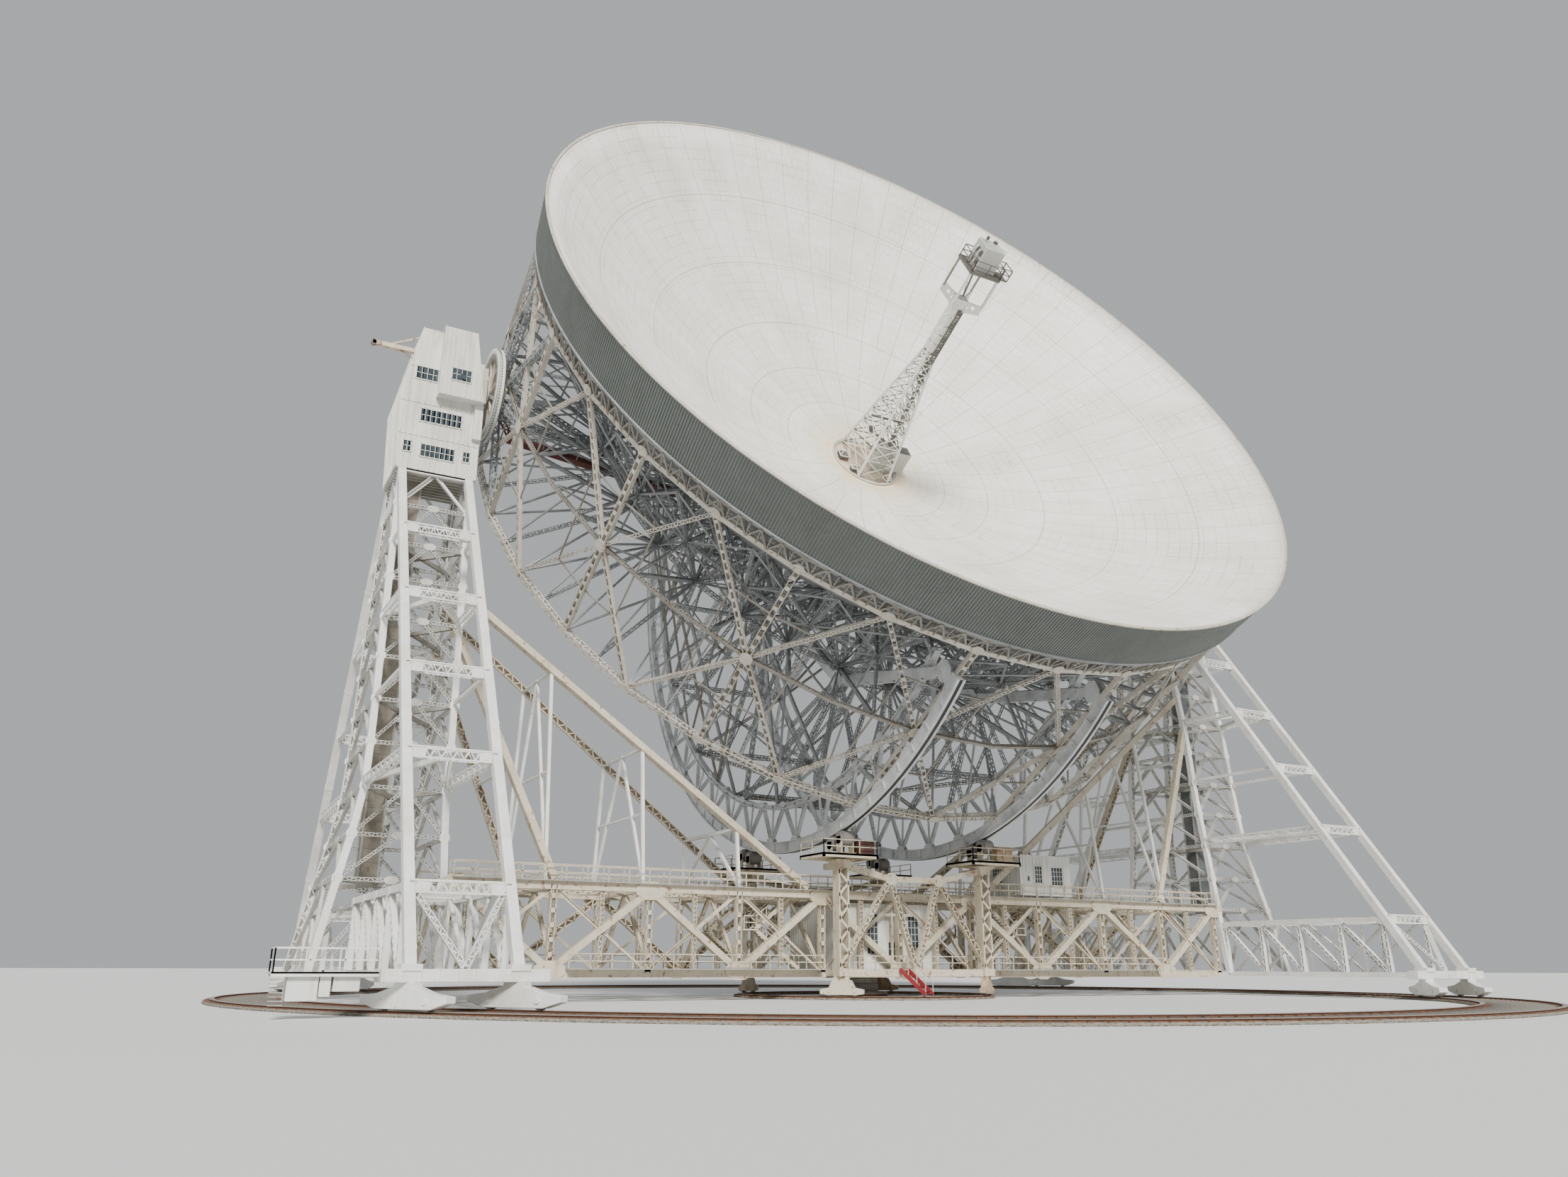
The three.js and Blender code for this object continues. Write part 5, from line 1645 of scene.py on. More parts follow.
@dataclass
class Mast:
    """Aerial mast: a pad ring, an open tapering lattice, a slim laced shaft and a ladder.

    Attributes:
        foot: half-widths of its oblong foot.
        foot_n: height of its feet.
        waist: half-width where the taper ends.
        waist_n: height of the waist.
        shaft: width of the upper part.
        head_n: height of its top.
    """

    foot: tuple[float, float] = (1.75, 2.9)
    foot_n: float = 2.4
    waist: float = 0.5
    waist_n: float = 16.0
    shaft: float = 1.12
    head_n: float = 21.3

    def corner(self, n: float, k: int) -> np.ndarray:
        """Finds a leg's point.

        Args:
            n: its height.
            k: the leg's number, 0 to 3 round the mast.

        Returns:
            The point.
        """
        t = (n - self.foot_n) / (self.waist_n - self.foot_n)
        x, u = (half + (self.waist - half) * t for half in self.foot)
        return np.array(((x, x, -x, -x)[k % 4], (-u, u, u, -u)[k % 4], n))

    def build(self, paints: Paints) -> None:
        """Makes the mast's steelwork and its pad ring.

        Args:
            paints: the finishes.
        """
        pad = turned([(3.35, 2.23), (3.62, 2.25), (3.62, 2.36), (3.65, 2.36), (3.65, 2.5), (3.6, 2.5),
                      (3.6, 2.38), (3.35, 2.36)], 64)
        bm_piece(pad, "mast_pad_ring", Place.BOWL, [paints.mast])
        # Coat 2 is grey as painted shade on faces and parts turned from the light.
        coats = [paints.mast, paints.bare, paints.shade]
        work = Steelwork()
        self.lower(work)
        self.fittings(work)
        self.cable_ladder(work)
        steel_piece(work, "mast_lattice", Place.BOWL, coats, ("mast_lower",))
        work = Steelwork()
        self.upper(work)
        steel_piece(work, "mast_shaft", Place.BOWL, coats, ("mast_upper",))
        self.hut(paints)

    def hut(self, paints: Paints) -> None:
        """Trims the hut in the mast's foot with its corner angles and the dark hatch in its roof.

        Args:
            paints: the finishes.
        """
        work = Steelwork()
        (x0, x1), (y0, y1), (z0, z1) = (0.3, 3.95), (-0.95, 0.35), (2.45, 4.85)
        work.hoop((x0, x1), (y0, y1), (z1 - 0.1, z1 + 0.03), 0.03, 0.02)
        for x, y in product((x0, x1), (y0, y1)):
            work.post(x, y, 0.03, (z0, z1))
        for i in range(1, 8):
            x = x0 + (x1 - x0) * i / 8
            work.block((x - 0.03, x + 0.03), (y0 - 0.025, y0), (z0, z1))
        work.block((x1 - 1.3, x1 - 0.08), (y0 + 0.08, y1 - 0.08), (z1, z1 + 0.04), 1)
        steel_piece(work, "mast_hut_trim", Place.BOWL, [paints.box, paints.bare])
        repaint("mast_hut", paints.box)

    def lower(self, work: Steelwork) -> None:
        """Adds the legs and the lattice of the tapering part.

        Args:
            work: the steelwork to add to.
        """
        heights = [self.foot_n, 4.2, 5.9, 7.5, 9.0, 10.4, 11.7, 12.9, 14.0, 15.0, self.waist_n]
        for k in range(4):
            work.bar(self.corner(self.foot_n, k), self.corner(self.waist_n, k), 0.24 if k == 3 else 0.18)
            # Faces 2 and 3 take the white coat; faces 0 and 1, turned from the light, take coat 2 as painted
            # shade.
            lit = 0 if k in (2, 3) else 2
            for i, (low, high) in enumerate(zip(heights, heights[1:])):
                a, b, c, d = (self.corner(n, j) for j in (k, k + 1) for n in (low, high))
                work.bar(b, d, 0.1, lit)
                work.bar(a, d, 0.09, lit)
                work.bar(c, b, 0.09, lit)
                if i < 5:
                    work.bar(between(a, c, 0.5), between(a, b, 0.5), 0.06, lit)
                    work.bar(between(a, c, 0.5), between(c, d, 0.5), 0.06, lit)
                if k < 2 and i % 3 == 0:
                    work.bar(b, self.corner(high, k + 2), 0.07, 2)

    def fittings(self, work: Steelwork) -> None:
        """Adds the cross beam, the ladder and the hatch boxes on the mast's pad.

        Args:
            work: the steelwork to add to.
        """
        work.bar((-2.3, -0.3, 8.0), (1.5, -0.3, 8.0), 0.17, 1)
        for x, u in ((-0.9, 0.6), (1.0, -0.9), (-0.4, -1.3)):
            work.block((x - 0.25, x + 0.25), (u - 0.2, u + 0.2), (5.6, 6.2), 1)
        foot, head = np.array((0.3, -3.4, 2.45)), np.array((0.3, -2.35, 5.4))
        half = np.array((0.25, 0, 0))
        for side in (-1, 1):
            work.bar(foot + half * side, head + half * side, 0.07, 2)
        for i in range(10):
            rung = between(foot, head, (i + 0.5) / 10)
            work.bar(rung - half, rung + half, 0.05, 2)
        for x, u, half in ((-2.6, 0.1, 0.5), (-2.0, -1.9, 0.3), (-1.5, -2.4, 0.25), (1.9, -2.6, 0.22)):
            work.post(x, u, half, (2.3, 2.62), 1)
            n = 2.66
            for edge in (-half, half):
                work.bar((x - half, u + edge, n), (x + half, u + edge, n), 0.09)
                work.bar((x + edge, u - half, n), (x + edge, u + half, n), 0.09)
                work.bar((x + edge, u - half, n), (x + edge * 0.4, u, 3.0), 0.05)

    def cable_ladder(self, work: Steelwork) -> None:
        """Adds the dark ladder, hoops and cable trays up the mast's right-hand face.

        Args:
            work: the steelwork to add to.
        """
        start, rungs = 4.0, 44
        low, high = self.corner(start, 0), self.corner(self.waist_n, 0)
        for y in (-0.2, 0.3):
            work.bar((low[0] + 0.1, y, start), (high[0] + 0.15, y, self.waist_n), 0.08, 1)
        for i in range(rungs):
            n = start + (self.waist_n - start) * i / rungs
            x = self.corner(n, 0)[0] + 0.12
            work.bar((x, -0.2, n), (x, 0.3, n), 0.06, 1)
            if i % 4 == 0:
                work.block((x - 0.25, x - 0.05), (-0.45, -0.15), (n, n + 0.45), 1)

    def upper(self, work: Steelwork) -> None:
        """Adds the laced shaft with the ladder beside it.

        Args:
            work: the steelwork to add to.
        """
        half, low, high = self.shaft / 2, self.waist_n, self.head_n
        turn = [(half, -half), (half, half), (-half, half), (-half, -half)]
        for i in range(5):
            n = low + 0.3 + i
            work.block((-half - 0.02, -half + 0.03), (-half, half), (n, n + 0.85))
            work.block((-half, half - 0.25), (-half - 0.02, -half + 0.03), (n, n + 0.85))
        panels = 6
        step = (high - low) / panels
        for k, (x, y) in enumerate(turn):
            work.member((x * 0.9, y * 0.9, low), (x * 0.9, y * 0.9, high), 0.12, 0.12, up=(0, 1, 0))
            far_x, far_y = turn[(k + 1) % 4]
            for i in range(panels):
                n = low + step * i
                work.bar((x, y, n), (far_x, far_y, n), 0.09)
                work.bar((x, y, n), (far_x, far_y, n + step), 0.07)
                work.bar((far_x, far_y, n), (x, y, n + step), 0.07)
        for x in (0.08, 0.52):
            work.bar((x, -half - 0.12, low - 3), (x, -half - 0.12, high - 0.2), 0.1, 1)
        rungs = 26
        for i in range(rungs):
            n = low - 2.9 + (high - low + 2.6) * i / rungs
            work.bar((0.08, -half - 0.12, n), (0.52, -half - 0.12, n), 0.07, 1)
            if i % 5 == 0:
                work.block((0.0, 0.4), (-half - 0.1, -half + 0.2), (n, n + 0.55), 1)
            # The plates on the shaft's upper front are in coat 2, painted shade.
            if i > 9:
                work.block((0.06, half - 0.05), (-half + 0.03, -half + 0.08), (n, n + 0.2), 2)


@dataclass
class Feed:
    """Head of the mast: winged yoke plates, four posts, a railed platform and the focus box.

    Attributes:
        yoke: heights of the wings' roots and tips.
        wing: how far the tips stand out along each axis.
        platform: half-width of the platform.
        platform_n: heights of its underside and top.
        top: height of the box's top.
    """

    yoke: tuple[float, float] = (21.6, 22.2)
    wing: float = 1.5
    platform: float = 1.6
    platform_n: tuple[float, float] = (25.2, 25.45)
    top: float = 27.7

    def build(self, paints: Paints) -> None:
        """Makes the feed's steelwork and dresses the focus box.

        Args:
            paints: the finishes.
        """
        for k in range(4):
            self.wing_plate(k, paints)
        work = Steelwork()
        self.posts(work)
        self.deck(work)
        # Coat 2 is grey as painted shade on the back posts and the thin brace.
        coats = [paints.mast, paints.bare, paints.shade]
        steel_piece(work, "feed_steelwork", Place.BOWL, coats, ("feed_frame",))
        self.focus_box(paints)

    def wing_plate(self, k: int, paints: Paints) -> None:
        """Cuts one wing of the yoke from plate, with two round holes and a flange round its edge.

        Args:
            k: the plate's number.
            paints: the finishes.
        """
        bm = bmesh.new()
        outline = [(0.1, -0.7), (0.35, -0.68), (2.2, 0.05), (2.25, 0.2), (2.15, 0.88), (1.95, 0.9),
                   (0.45, 0.55), (0.1, 0.55)]
        holes = ((0.75, 0.04, 0.26), (1.42, 0.33, 0.21))
        rim = [bm.verts.new((x, 0, z)) for x, z in outline]
        edges = [bm.edges.new((rim[i], rim[(i + 1) % len(rim)])) for i in range(len(rim))]
        for x, z, radius in holes:
            turn = Matrix.Translation((x, 0, z)) @ Matrix.Rotation(math.pi / 2, 4, "X")
            ring = bmesh.ops.create_circle(bm, segments=16, radius=radius, matrix=turn)["verts"]
            edges += list({e for v in ring for e in v.link_edges})
        bmesh.ops.triangle_fill(bm, edges=edges, use_beauty=True)
        bmesh.ops.solidify(bm, geom=bm.faces[:], thickness=0.16)
        bmesh.ops.recalc_face_normals(bm, faces=bm.faces)
        matrix = Matrix.Translation((0, 0, self.yoke[0])) @ Matrix.Rotation(math.radians(45 + 90 * k), 4, "Z")
        bmesh.ops.transform(bm, matrix=matrix, verts=bm.verts)
        bm_piece(bm, f"yoke_wing_{k + 1}", Place.BOWL, [paints.mast])

    def posts(self, work: Steelwork) -> None:
        """Adds the four posts from the wings' tips to the platform, with their braces.

        Args:
            work: the steelwork to add to.
        """
        for k, (x, u) in enumerate(((-1, -1), (1, -1), (1, 1), (-1, 1))):
            foot = (x * self.wing, u * self.wing, self.yoke[1])
            head = (x * 1.5, u * 1.45, self.platform_n[0] + 0.1)
            work.bar(foot, head, 0.22 if k == 1 else 0.16, 0 if k in (0, 1) else 2)
        work.bar((0.3, 0.3, self.yoke[0]), (0.2, 0.9, self.platform_n[0]), 0.13, 1)
        work.bar((0.3, 0.3, self.yoke[0] + 0.3), (-0.3, 0.9, self.platform_n[0]), 0.05, 2)
        work.post(0, 0, 0.6, (self.yoke[0] - 0.4, self.yoke[0] + 0.6))

    def deck(self, work: Steelwork) -> None:
        """Adds the platform with its edge channels and railings.

        Args:
            work: the steelwork to add to.
        """
        low, high = self.platform_n
        half = self.platform
        work.post(0, 0, half, (high - 0.1, high), 1)
        work.hoop((-half, half), (-half, half), (low, high), 0.06, coat=1)
        work.block((half, half + 0.9), (-1.3, 0.3), (high - 0.1, high), 1)
        edge, far = half - 0.05, half + 0.88
        for path in (((-edge, edge), (-edge, -edge), (edge, -edge), (edge, edge), (-edge, edge)),
                     ((half, -1.3), (far, -1.3), (far, 0.3), (half, 0.3))):
            work.railing([(x, y, high) for x, y in path], 1.05, 1)

    def focus_box(self, paints: Paints) -> None:
        """Adds trims, ducts, vents and the small boom on the focus box, and paints the box.

        Args:
            paints: the finishes.
        """
        work = Steelwork()
        low, high = self.platform_n[1], self.top
        for x, y in product((-1.0, 1.0), repeat=2):
            work.post(x, y, 0.03, (low, high))
        work.hoop((-1.0, 1.0), (-1.0, 1.0), (high - 0.1, high), 0.025)
        for y, z in ((-0.55, 0.35), (0.05, 0.35), (-0.55, 1.15), (0.1, 1.2)):
            work.block((-1.03, -0.99), (y - 0.25, y + 0.25), (low + z, low + z + 0.55), 1)
        for y in (-0.25, 0.45):
            path = [(-1.12, y, low + 0.1), (-1.12, y, low + 1.5), (-0.9, y, low + 1.75)]
            work.chain(path, 0.22, 0.22, Build.TUBE)
        root, tip, levels, bays = (-1.45, -0.1, high), (0.6, -1.6, high), (0.12, 0.4), 8
        for z in levels:
            work.bar((*root[:2], high + z), (*tip[:2], high + z), 0.07)
        for i in range(bays):
            a, b = between(root, tip, i / bays), between(root, tip, (i + 1) / bays)
            work.bar(a + (0, 0, levels[1 - i % 2]), b + (0, 0, levels[i % 2]), 0.05)
        work.post(0.3, 0.25, 0.15, (high, high + 0.35), 1)
        work.post(-0.5, 0.5, 0.1, (high, high + 0.5), 1)
        steel_piece(work, "focus_box_trim", Place.BOWL, [paints.mast, paints.bare])
        repaint("focus_box", paints.box)


def repaint(node: str, paint: bpy.types.Material) -> None:
    """Gives a carried-over CAD node its finish.

    Args:
        node: the CAD node's name.
        paint: its finish.
    """
    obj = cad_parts[node]
    for slot in obj.material_slots:
        slot.material = paint
    if not obj.material_slots:
        obj.data.materials.append(paint)


# The tracks
@dataclass
class Tracks:
    """Two circular railway tracks and the pivot in their middle.

    Attributes:
        outer: radii of the outer track's rails.
        inner: radius of the inner rail.
        base: height of the bed.
    """

    outer: tuple[float, float] = (48.3, 53.1)
    inner: float = 11.2
    base: float = 0.16

    def build(self, paints: Paints) -> None:
        """Makes the rails, their bed and the pivot.

        Args:
            paints: the finishes.
        """
        for name, near, far, slope, steps in (("outer", 47.7, 53.75, 0.05, 192),
                                              ("inner", 10.7, 11.7, 0.02, 96)):
            bed = turned([(near, 0.0), (far, 0.0), (far - slope, self.base), (near + slope, self.base)],
                         steps)
            bm_piece(bed, f"{name}_track_bed", Place.TRACK, [paints.ballast],
                     (f"{name}_track",))
        for name, radius, steps in (("outer_rail", self.outer[1], 240), ("middle_rail", self.outer[0], 240),
                                    ("inner_rail", self.inner, 128)):
            bm_piece(self.rail(radius, steps), name, Place.TRACK, [paints.rail])
        work = Steelwork()
        for radius, count in ((self.outer[0], 300), (self.outer[1], 330), (self.inner, 70)):
            for k in range(count):
                bearing = 360 * k / count
                work.member(polar(radius - 0.5, self.base, bearing), polar(radius + 0.5, self.base, bearing),
                            0.3, 0.08)
        steel_piece(work, "rail_chairs", Place.TRACK, [paints.rail])
        pivot = turned([(0.0, 0.0), (2.2, 0.0), (2.2, 0.35), (2.05, 0.5), (1.45, 0.5), (1.3, 0.62),
                        (1.3, 1.12), (1.2, 1.2), (0.0, 1.2)], 48, smooth=False)
        bm_piece(pivot, "pivot_casting", Place.TRACK, [paints.rail], ("centre_pivot",))

    def rail(self, radius: float, steps: int) -> bmesh.types.BMesh:
        """Turns a flat-bottomed rail round the pivot.

        Args:
            radius: its radius.
            steps: number of steps round it.

        Returns:
            The bmesh.
        """
        low, high = self.base, RAIL_TOP
        half = [(0.25, low), (0.25, low + 0.03), (0.1, low + 0.05), (0.1, high - 0.05), (0.16, high - 0.04),
                (0.16, high)]
        profile = half + [(-r, z) for r, z in reversed(half)]
        return turned([(radius + r, z) for r, z in profile], steps, smooth=False)


# The towers
@dataclass
class Tower:
    """One tower: the upright column, four raking legs, side trusses and end beams.

    Attributes:
        name: left or right.
        side: -1 left, 1 right.
        x: distance of its centre line from the middle.
        levels: the column's levels as (height, y, inner offset, outer offset).
        leg_top: x, y and height of a raking leg's top, measured from the centre line.
        leg_foot: the same of its foot.
        ties: shares of the leg's length where its ties are; the last is at the side truss.
        posts: places along of the side truss's posts.
        chords: heights of the side truss's upper and lower chord.
    """

    name: str
    side: int
    x: float = 42.46
    levels: tuple[tuple[float, float, float, float], ...] = (
        (40.9, 2.5, 2.85, 2.75), (37.8, 2.57, 2.91, 2.73), (34.32, 3.07, 2.87, 2.78),
        (31.22, 3.51, 2.86, 2.83), (27.78, 4.0, 2.82, 2.9), (24.64, 4.28, 2.86, 2.9),
        (21.25, 4.55, 2.9, 2.92), (17.95, 4.85, 2.88, 2.96), (14.62, 5.21, 2.78, 3.07),
        (11.16, 5.65, 2.87, 3.64), (8.01, 6.06, 3.0, 4.3), (1.75, 6.85, 3.05, 5.55))
    leg_top: tuple[float, float, float] = (2.7, 2.52, 40.9)
    leg_foot: tuple[float, float, float] = (2.91, 27.67, 2.0)
    ties: tuple[float, ...] = (0.167, 0.333, 0.499, 0.666, 0.884)
    posts: tuple[float, ...] = (6.8, 11.2, 15.6, 20.1, 24.6)
    chords: tuple[float, float] = (6.5, 1.75)

    def corner(self, level: int, face: int, end: int) -> np.ndarray:
        """Returns the column leg's point at a level; face 1 is the outer one, end -1 the front."""
        z, y, inner, outer = self.levels[level]
        return np.array((self.side * (self.x + (outer if face > 0 else -inner)), end * y, z))

    def leg(self, face: int, end: int, t: float) -> np.ndarray:
        """Returns the raking leg's point at a share of its length from the top."""
        x, y, z = between(self.leg_top, self.leg_foot, t)
        return np.array((self.side * (self.x + face * x), end * y, z))

    def foot_x(self, face: int) -> float:
        """Returns where a raking leg's foot lies across."""
        return self.side * (self.x + face * self.leg_foot[0])

    def build(self, paints: Paints) -> None:
        """Makes the tower's pieces.

        Args:
            paints: the finishes.
        """
        # Coat 1 is white dimmed as painted shade for the column's bracing behind the legs; coat 2 is grey as
        # painted shade for its inner diagonals and top plan bracing.
        coats = [paints.tower, paints.dull, paints.shaded]
        work = Steelwork()
        self.column(work)
        steel_piece(work, f"{self.name}_column_steelwork", Place.TURNING, coats,
                    (f"{self.name}_column",))
        for end_name, end in ENDS:
            work = Steelwork()
            self.raking_legs(work, end)
            steel_piece(work, f"{self.name}_{end_name}_legs", Place.TURNING, coats,
                        (f"{self.name}_{end_name}_raking_legs",))
            work = Steelwork()
            self.side_truss(work, end)
            steel_piece(work, f"{self.name}_{end_name}_side_steelwork", Place.TURNING, coats,
                        (f"{self.name}_{end_name}_side_truss",))
            self.end_beam(end_name, end, paints)
        self.shaft(paints)

    def column(self, work: Steelwork) -> None:
        """Adds the column's legs, its bracing on four faces and its plan bracing.

        Args:
            work: the steelwork to add to.
        """
        count = len(self.levels)
        for face, end, i in product((-1, 1), (-1, 1), range(count - 1)):
            work.member(self.corner(i, face, end), self.corner(i + 1, face, end), 0.5, 0.5, Build.LEG,
                        (0, end, 0))
        pairs = (((-1, -1), (1, -1), (0, -1, 0)), ((-1, 1), (1, 1), (0, 1, 0)),
                 ((-1, -1), (-1, 1), (-self.side, 0, 0)), ((1, -1), (1, 1), (self.side, 0, 0)))
        for i in range(1, count - 1):
            for first, second, out in pairs:
                a, b = self.corner(i, *first), self.corner(i, *second)
                middle = (a + b) / 2
                work.member(a, b, 0.28, 0.3, Build.CHANNELS, out, 1)
                work.gusset(middle + np.array(out) * 0.17, (b - a), out, 1.1, 0.05, 0.6, 1)
                for end in (first, second):
                    work.member(middle, self.corner(i + 1, *end), 0.24, 0.24, Build.CHANNELS, out, 1)
                    work.gusset(self.corner(i, *end) + np.array(out) * 0.24, (b - a), out, 0.8, 0.05, 0.8)
        for first, second, out in pairs:
            a, b = self.corner(0, *first), self.corner(0, *second)
            work.member(a, b, 0.4, 0.6, up=out)
            for end in (first, second):
                work.member((a + b) / 2, self.corner(1, *end), 0.3, 0.3, Build.ANGLE, out)
        for i, end in product((2, 4, 6, 8, 10), (-1, 1)):
            work.member(self.corner(i, -1, end), self.corner(i, 1, -end), 0.3, 0.3, Build.CHANNELS, coat=2)
        for i in range(9):
            y = -2.4 + 0.6 * i
            start, stop = ((self.side * (self.x + reach), y, 40.72) for reach in (-3.2, 3.2))
            work.member(start, stop, 0.14, 0.3, coat=2)

    def raking_legs(self, work: Steelwork, end: int) -> None:
        """Adds two raking legs, the ties between them and the links to the column.

        Args:
            work: the steelwork to add to.
            end: -1 front, 1 back.
        """
        out = np.array((0, end * 0.84, 0.54))
        for face in (-1, 1):
            a, b = self.leg(face, end, 0), self.leg(face, end, 1)
            work.member(a, b, 0.62, 0.62, Build.PLATED if end == face else Build.LEG, out)
            for t in (0.2, 0.4, 0.6, 0.8, 0.97):
                c, d = between(a, b, t), between(a, b, t + 0.006)
                work.member(c, d, 0.66, 0.66, up=out)
        for t in self.ties:
            a, b = self.leg(-1, end, t), self.leg(1, end, t)
            self.box_tie(work, a, b, 0.66, 0.6, 8)
            for point, way in ((a, 1), (b, -1)):
                middle = point + np.array((way * self.side * 0.75, end * 0.3, -0.05))
                work.gusset(middle, (1, 0, 0), (0, 1, 0), 0.9, 0.05, 0.8)
        for t, level, heavy in zip(self.ties, (2, 4, 6, 8), (False, True, False, True)):
            middle = (self.leg(-1, end, t) + self.leg(1, end, t)) / 2
            for face in (-1, 1):
                leg = self.leg(face, end, t)
                column = np.array((*self.corner(level, face, end)[:2], leg[2]))
                if heavy:
                    self.box_tie(work, column, leg, 0.55, 0.4, 9)
                    work.member(middle, column, 0.34, 0.34, Build.CHANNELS)
                else:
                    work.member(column, leg, 0.26, 0.26, Build.ANGLE)

    @staticmethod
    def box_tie(work: Steelwork, a: np.ndarray, b: np.ndarray, deep: float, wide: float, panels: int) -> None:
        """Adds a small lattice girder: four chords with zig-zag bars on the two tall faces.

        Args:
            work: the steelwork to add to.
            a: first end.
            b: second end.
            deep: its depth.
            wide: its width.
            panels: number of lacing panels.
        """
        side, top = work.axes(a, b, UP)[:2]
        low = top * deep * 0.45
        for shift in (side * wide * -0.5, side * wide * 0.5):
            for chord in (top * deep * -0.5, top * deep * 0.5):
                work.bar(a + shift + chord, b + shift + chord, 0.11)
            for i in range(panels):
                p, q = (between(a, b, t / panels) + shift for t in (i, i + 1))
                work.chain([p - low, (p + q) / 2 + low, q - low], 0.07, 0.07)

    def side_truss(self, work: Steelwork, end: int) -> None:
        """Adds the low truss beside the tower: battened posts, laced diagonals and a lighter inner zig-zag.

        Args:
            work: the steelwork to add to.
            end: -1 front, 1 back.
        """
        (top, bottom), posts = self.chords, self.posts
        near, far = end * posts[0], end * posts[-1]
        for face in (-1, 1):
            x = self.foot_x(face)
            work.member((x, near, top), (x, far, top), 0.44, 0.44, Build.LEG)
            work.member((x, near, bottom), (x, end * 27.0, bottom), 0.44, 0.44, Build.CHANNELS)
            work.member((x, far, top), self.leg(face, end, self.ties[-1]), 0.44, 0.44)
            for y in posts:
                work.member((x, end * y, bottom), (x, end * y, top), 0.3, 0.4, Build.BATTENED, (1, 0, 0))
                middle = (x + self.side * face * 0.23, end * y, top - 0.1)
                work.gusset(middle, (0, 1, 0), (1, 0, 0), 1.0, 0.05, 0.7)
            for y0, y1 in zip(posts, posts[1:]):
                head, foot = (x, end * y0, top - 0.1), (x, end * y1, bottom + 0.1)
                work.member(head, foot, 0.26, 0.36, Build.BATTENED, (1, 0, 0))
            inner = x - face * self.side * 0.75
            zigzag = ((6.7, bottom), (12.6, top), (18.6, bottom), (posts[-1], top))
            work.chain([(inner, end * y, z) for y, z in zigzag], 0.24, 0.24, Build.CHANNELS, (1, 0, 0))
            for y in (12.6, 18.6):
                work.member((inner, end * y, bottom), (inner, end * y, top + 0.2), 0.2, 0.2, Build.ANGLE,
                            (1, 0, 0))
            work.member((inner, near, top + 0.2), (inner, far, top + 0.2), 0.2, 0.2, Build.ANGLE)
        for (y0, y1), z in product(zip(posts, posts[1:]), self.chords):
            start = (self.foot_x(-1), end * y0, z)
            for y, size in ((y0, 0.3), (y1, 0.24)):
                work.member(start, (self.foot_x(1), end * y, z), size, size, Build.CHANNELS)
        middle = (self.leg(-1, end, 1) + self.leg(1, end, 1)) / 2 + (0, 0, 0.1)
        for face in (-1, 1):
            head = self.leg(face, end, self.ties[-1]) - (face * self.side * 0.4, 0, 0.3)
            work.member(head, middle, 0.32, 0.32, Build.CHANNELS, (0, 1, 0))

    def end_beam(self, end_name: str, end: int, paints: Paints) -> None:
        """Makes the beam across the legs' feet and a stepped bogie at each of its ends.

        Args:
            end_name: front or back.
            end: -1 front, 1 back.
            paints: the finishes.
        """
        y = end * self.leg_foot[1]
        bm = bmesh.new()
        box_bm((self.side * self.x - 4.6, y - 0.5, 1.42), (self.side * self.x + 4.6, y + 0.5, 2.1), bm)
        soften(bm, 0.05, 2)
        bm_piece(bm, f"{self.name}_{end_name}_foot_beam", Place.TURNING, [paints.tower],
                 (f"{self.name}_{end_name}_end_beam",))
        work = Steelwork()
        for i in range(10):
            x = self.side * self.x - 4.3 + 0.95 * i
            work.block((x - 0.03, x + 0.03), (y - 0.56, y + 0.56), (1.44, 2.08))
        for face in (-1, 1):
            x = self.foot_x(face)
            work.block((x - 0.55, x + 0.55), (y - 0.58, y + 0.58), (2.0, 2.35))
        steel_piece(work, f"{self.name}_{end_name}_foot_stiffeners", Place.TURNING, [paints.tower])
        for face_name, face in (("inner", -1), ("outer", 1)):
            bogie = Bogie(self.foot_x(face), y, top=1.5, length=6.4, top_length=1.9, low=0.53, width=0.7,
                          wheel=0.36, spread=1.7)
            bogie.build(f"{self.name}_{end_name}_{face_name}_bogie", paints.tower, paints.rail)

    def shaft(self, paints: Paints) -> None:
        """Adds the ribs and the panelled corners to the lift shaft and paints it.

        Args:
            paints: the finishes.
        """
        work = Steelwork()
        x, half = self.side * 43.9, 0.7
        for i in range(32):
            z = 8.6 + i * 1.02
            work.hoop((x - half, x + half), (-half, half), (z, z + 0.1), 0.03, 0.03)
        for cx, cy in product((x - half, x + half), (-half, half)):
            work.post(cx, cy, 0.07, (8.4, self.levels[0][0]), 1)
        paint = paints.rusty if self.side < 0 else paints.dark
        steel_piece(work, f"{self.name}_shaft_ribs", Place.TURNING, [paint, paints.shaded])
        repaint(f"{self.name}_lift_shaft", paint)


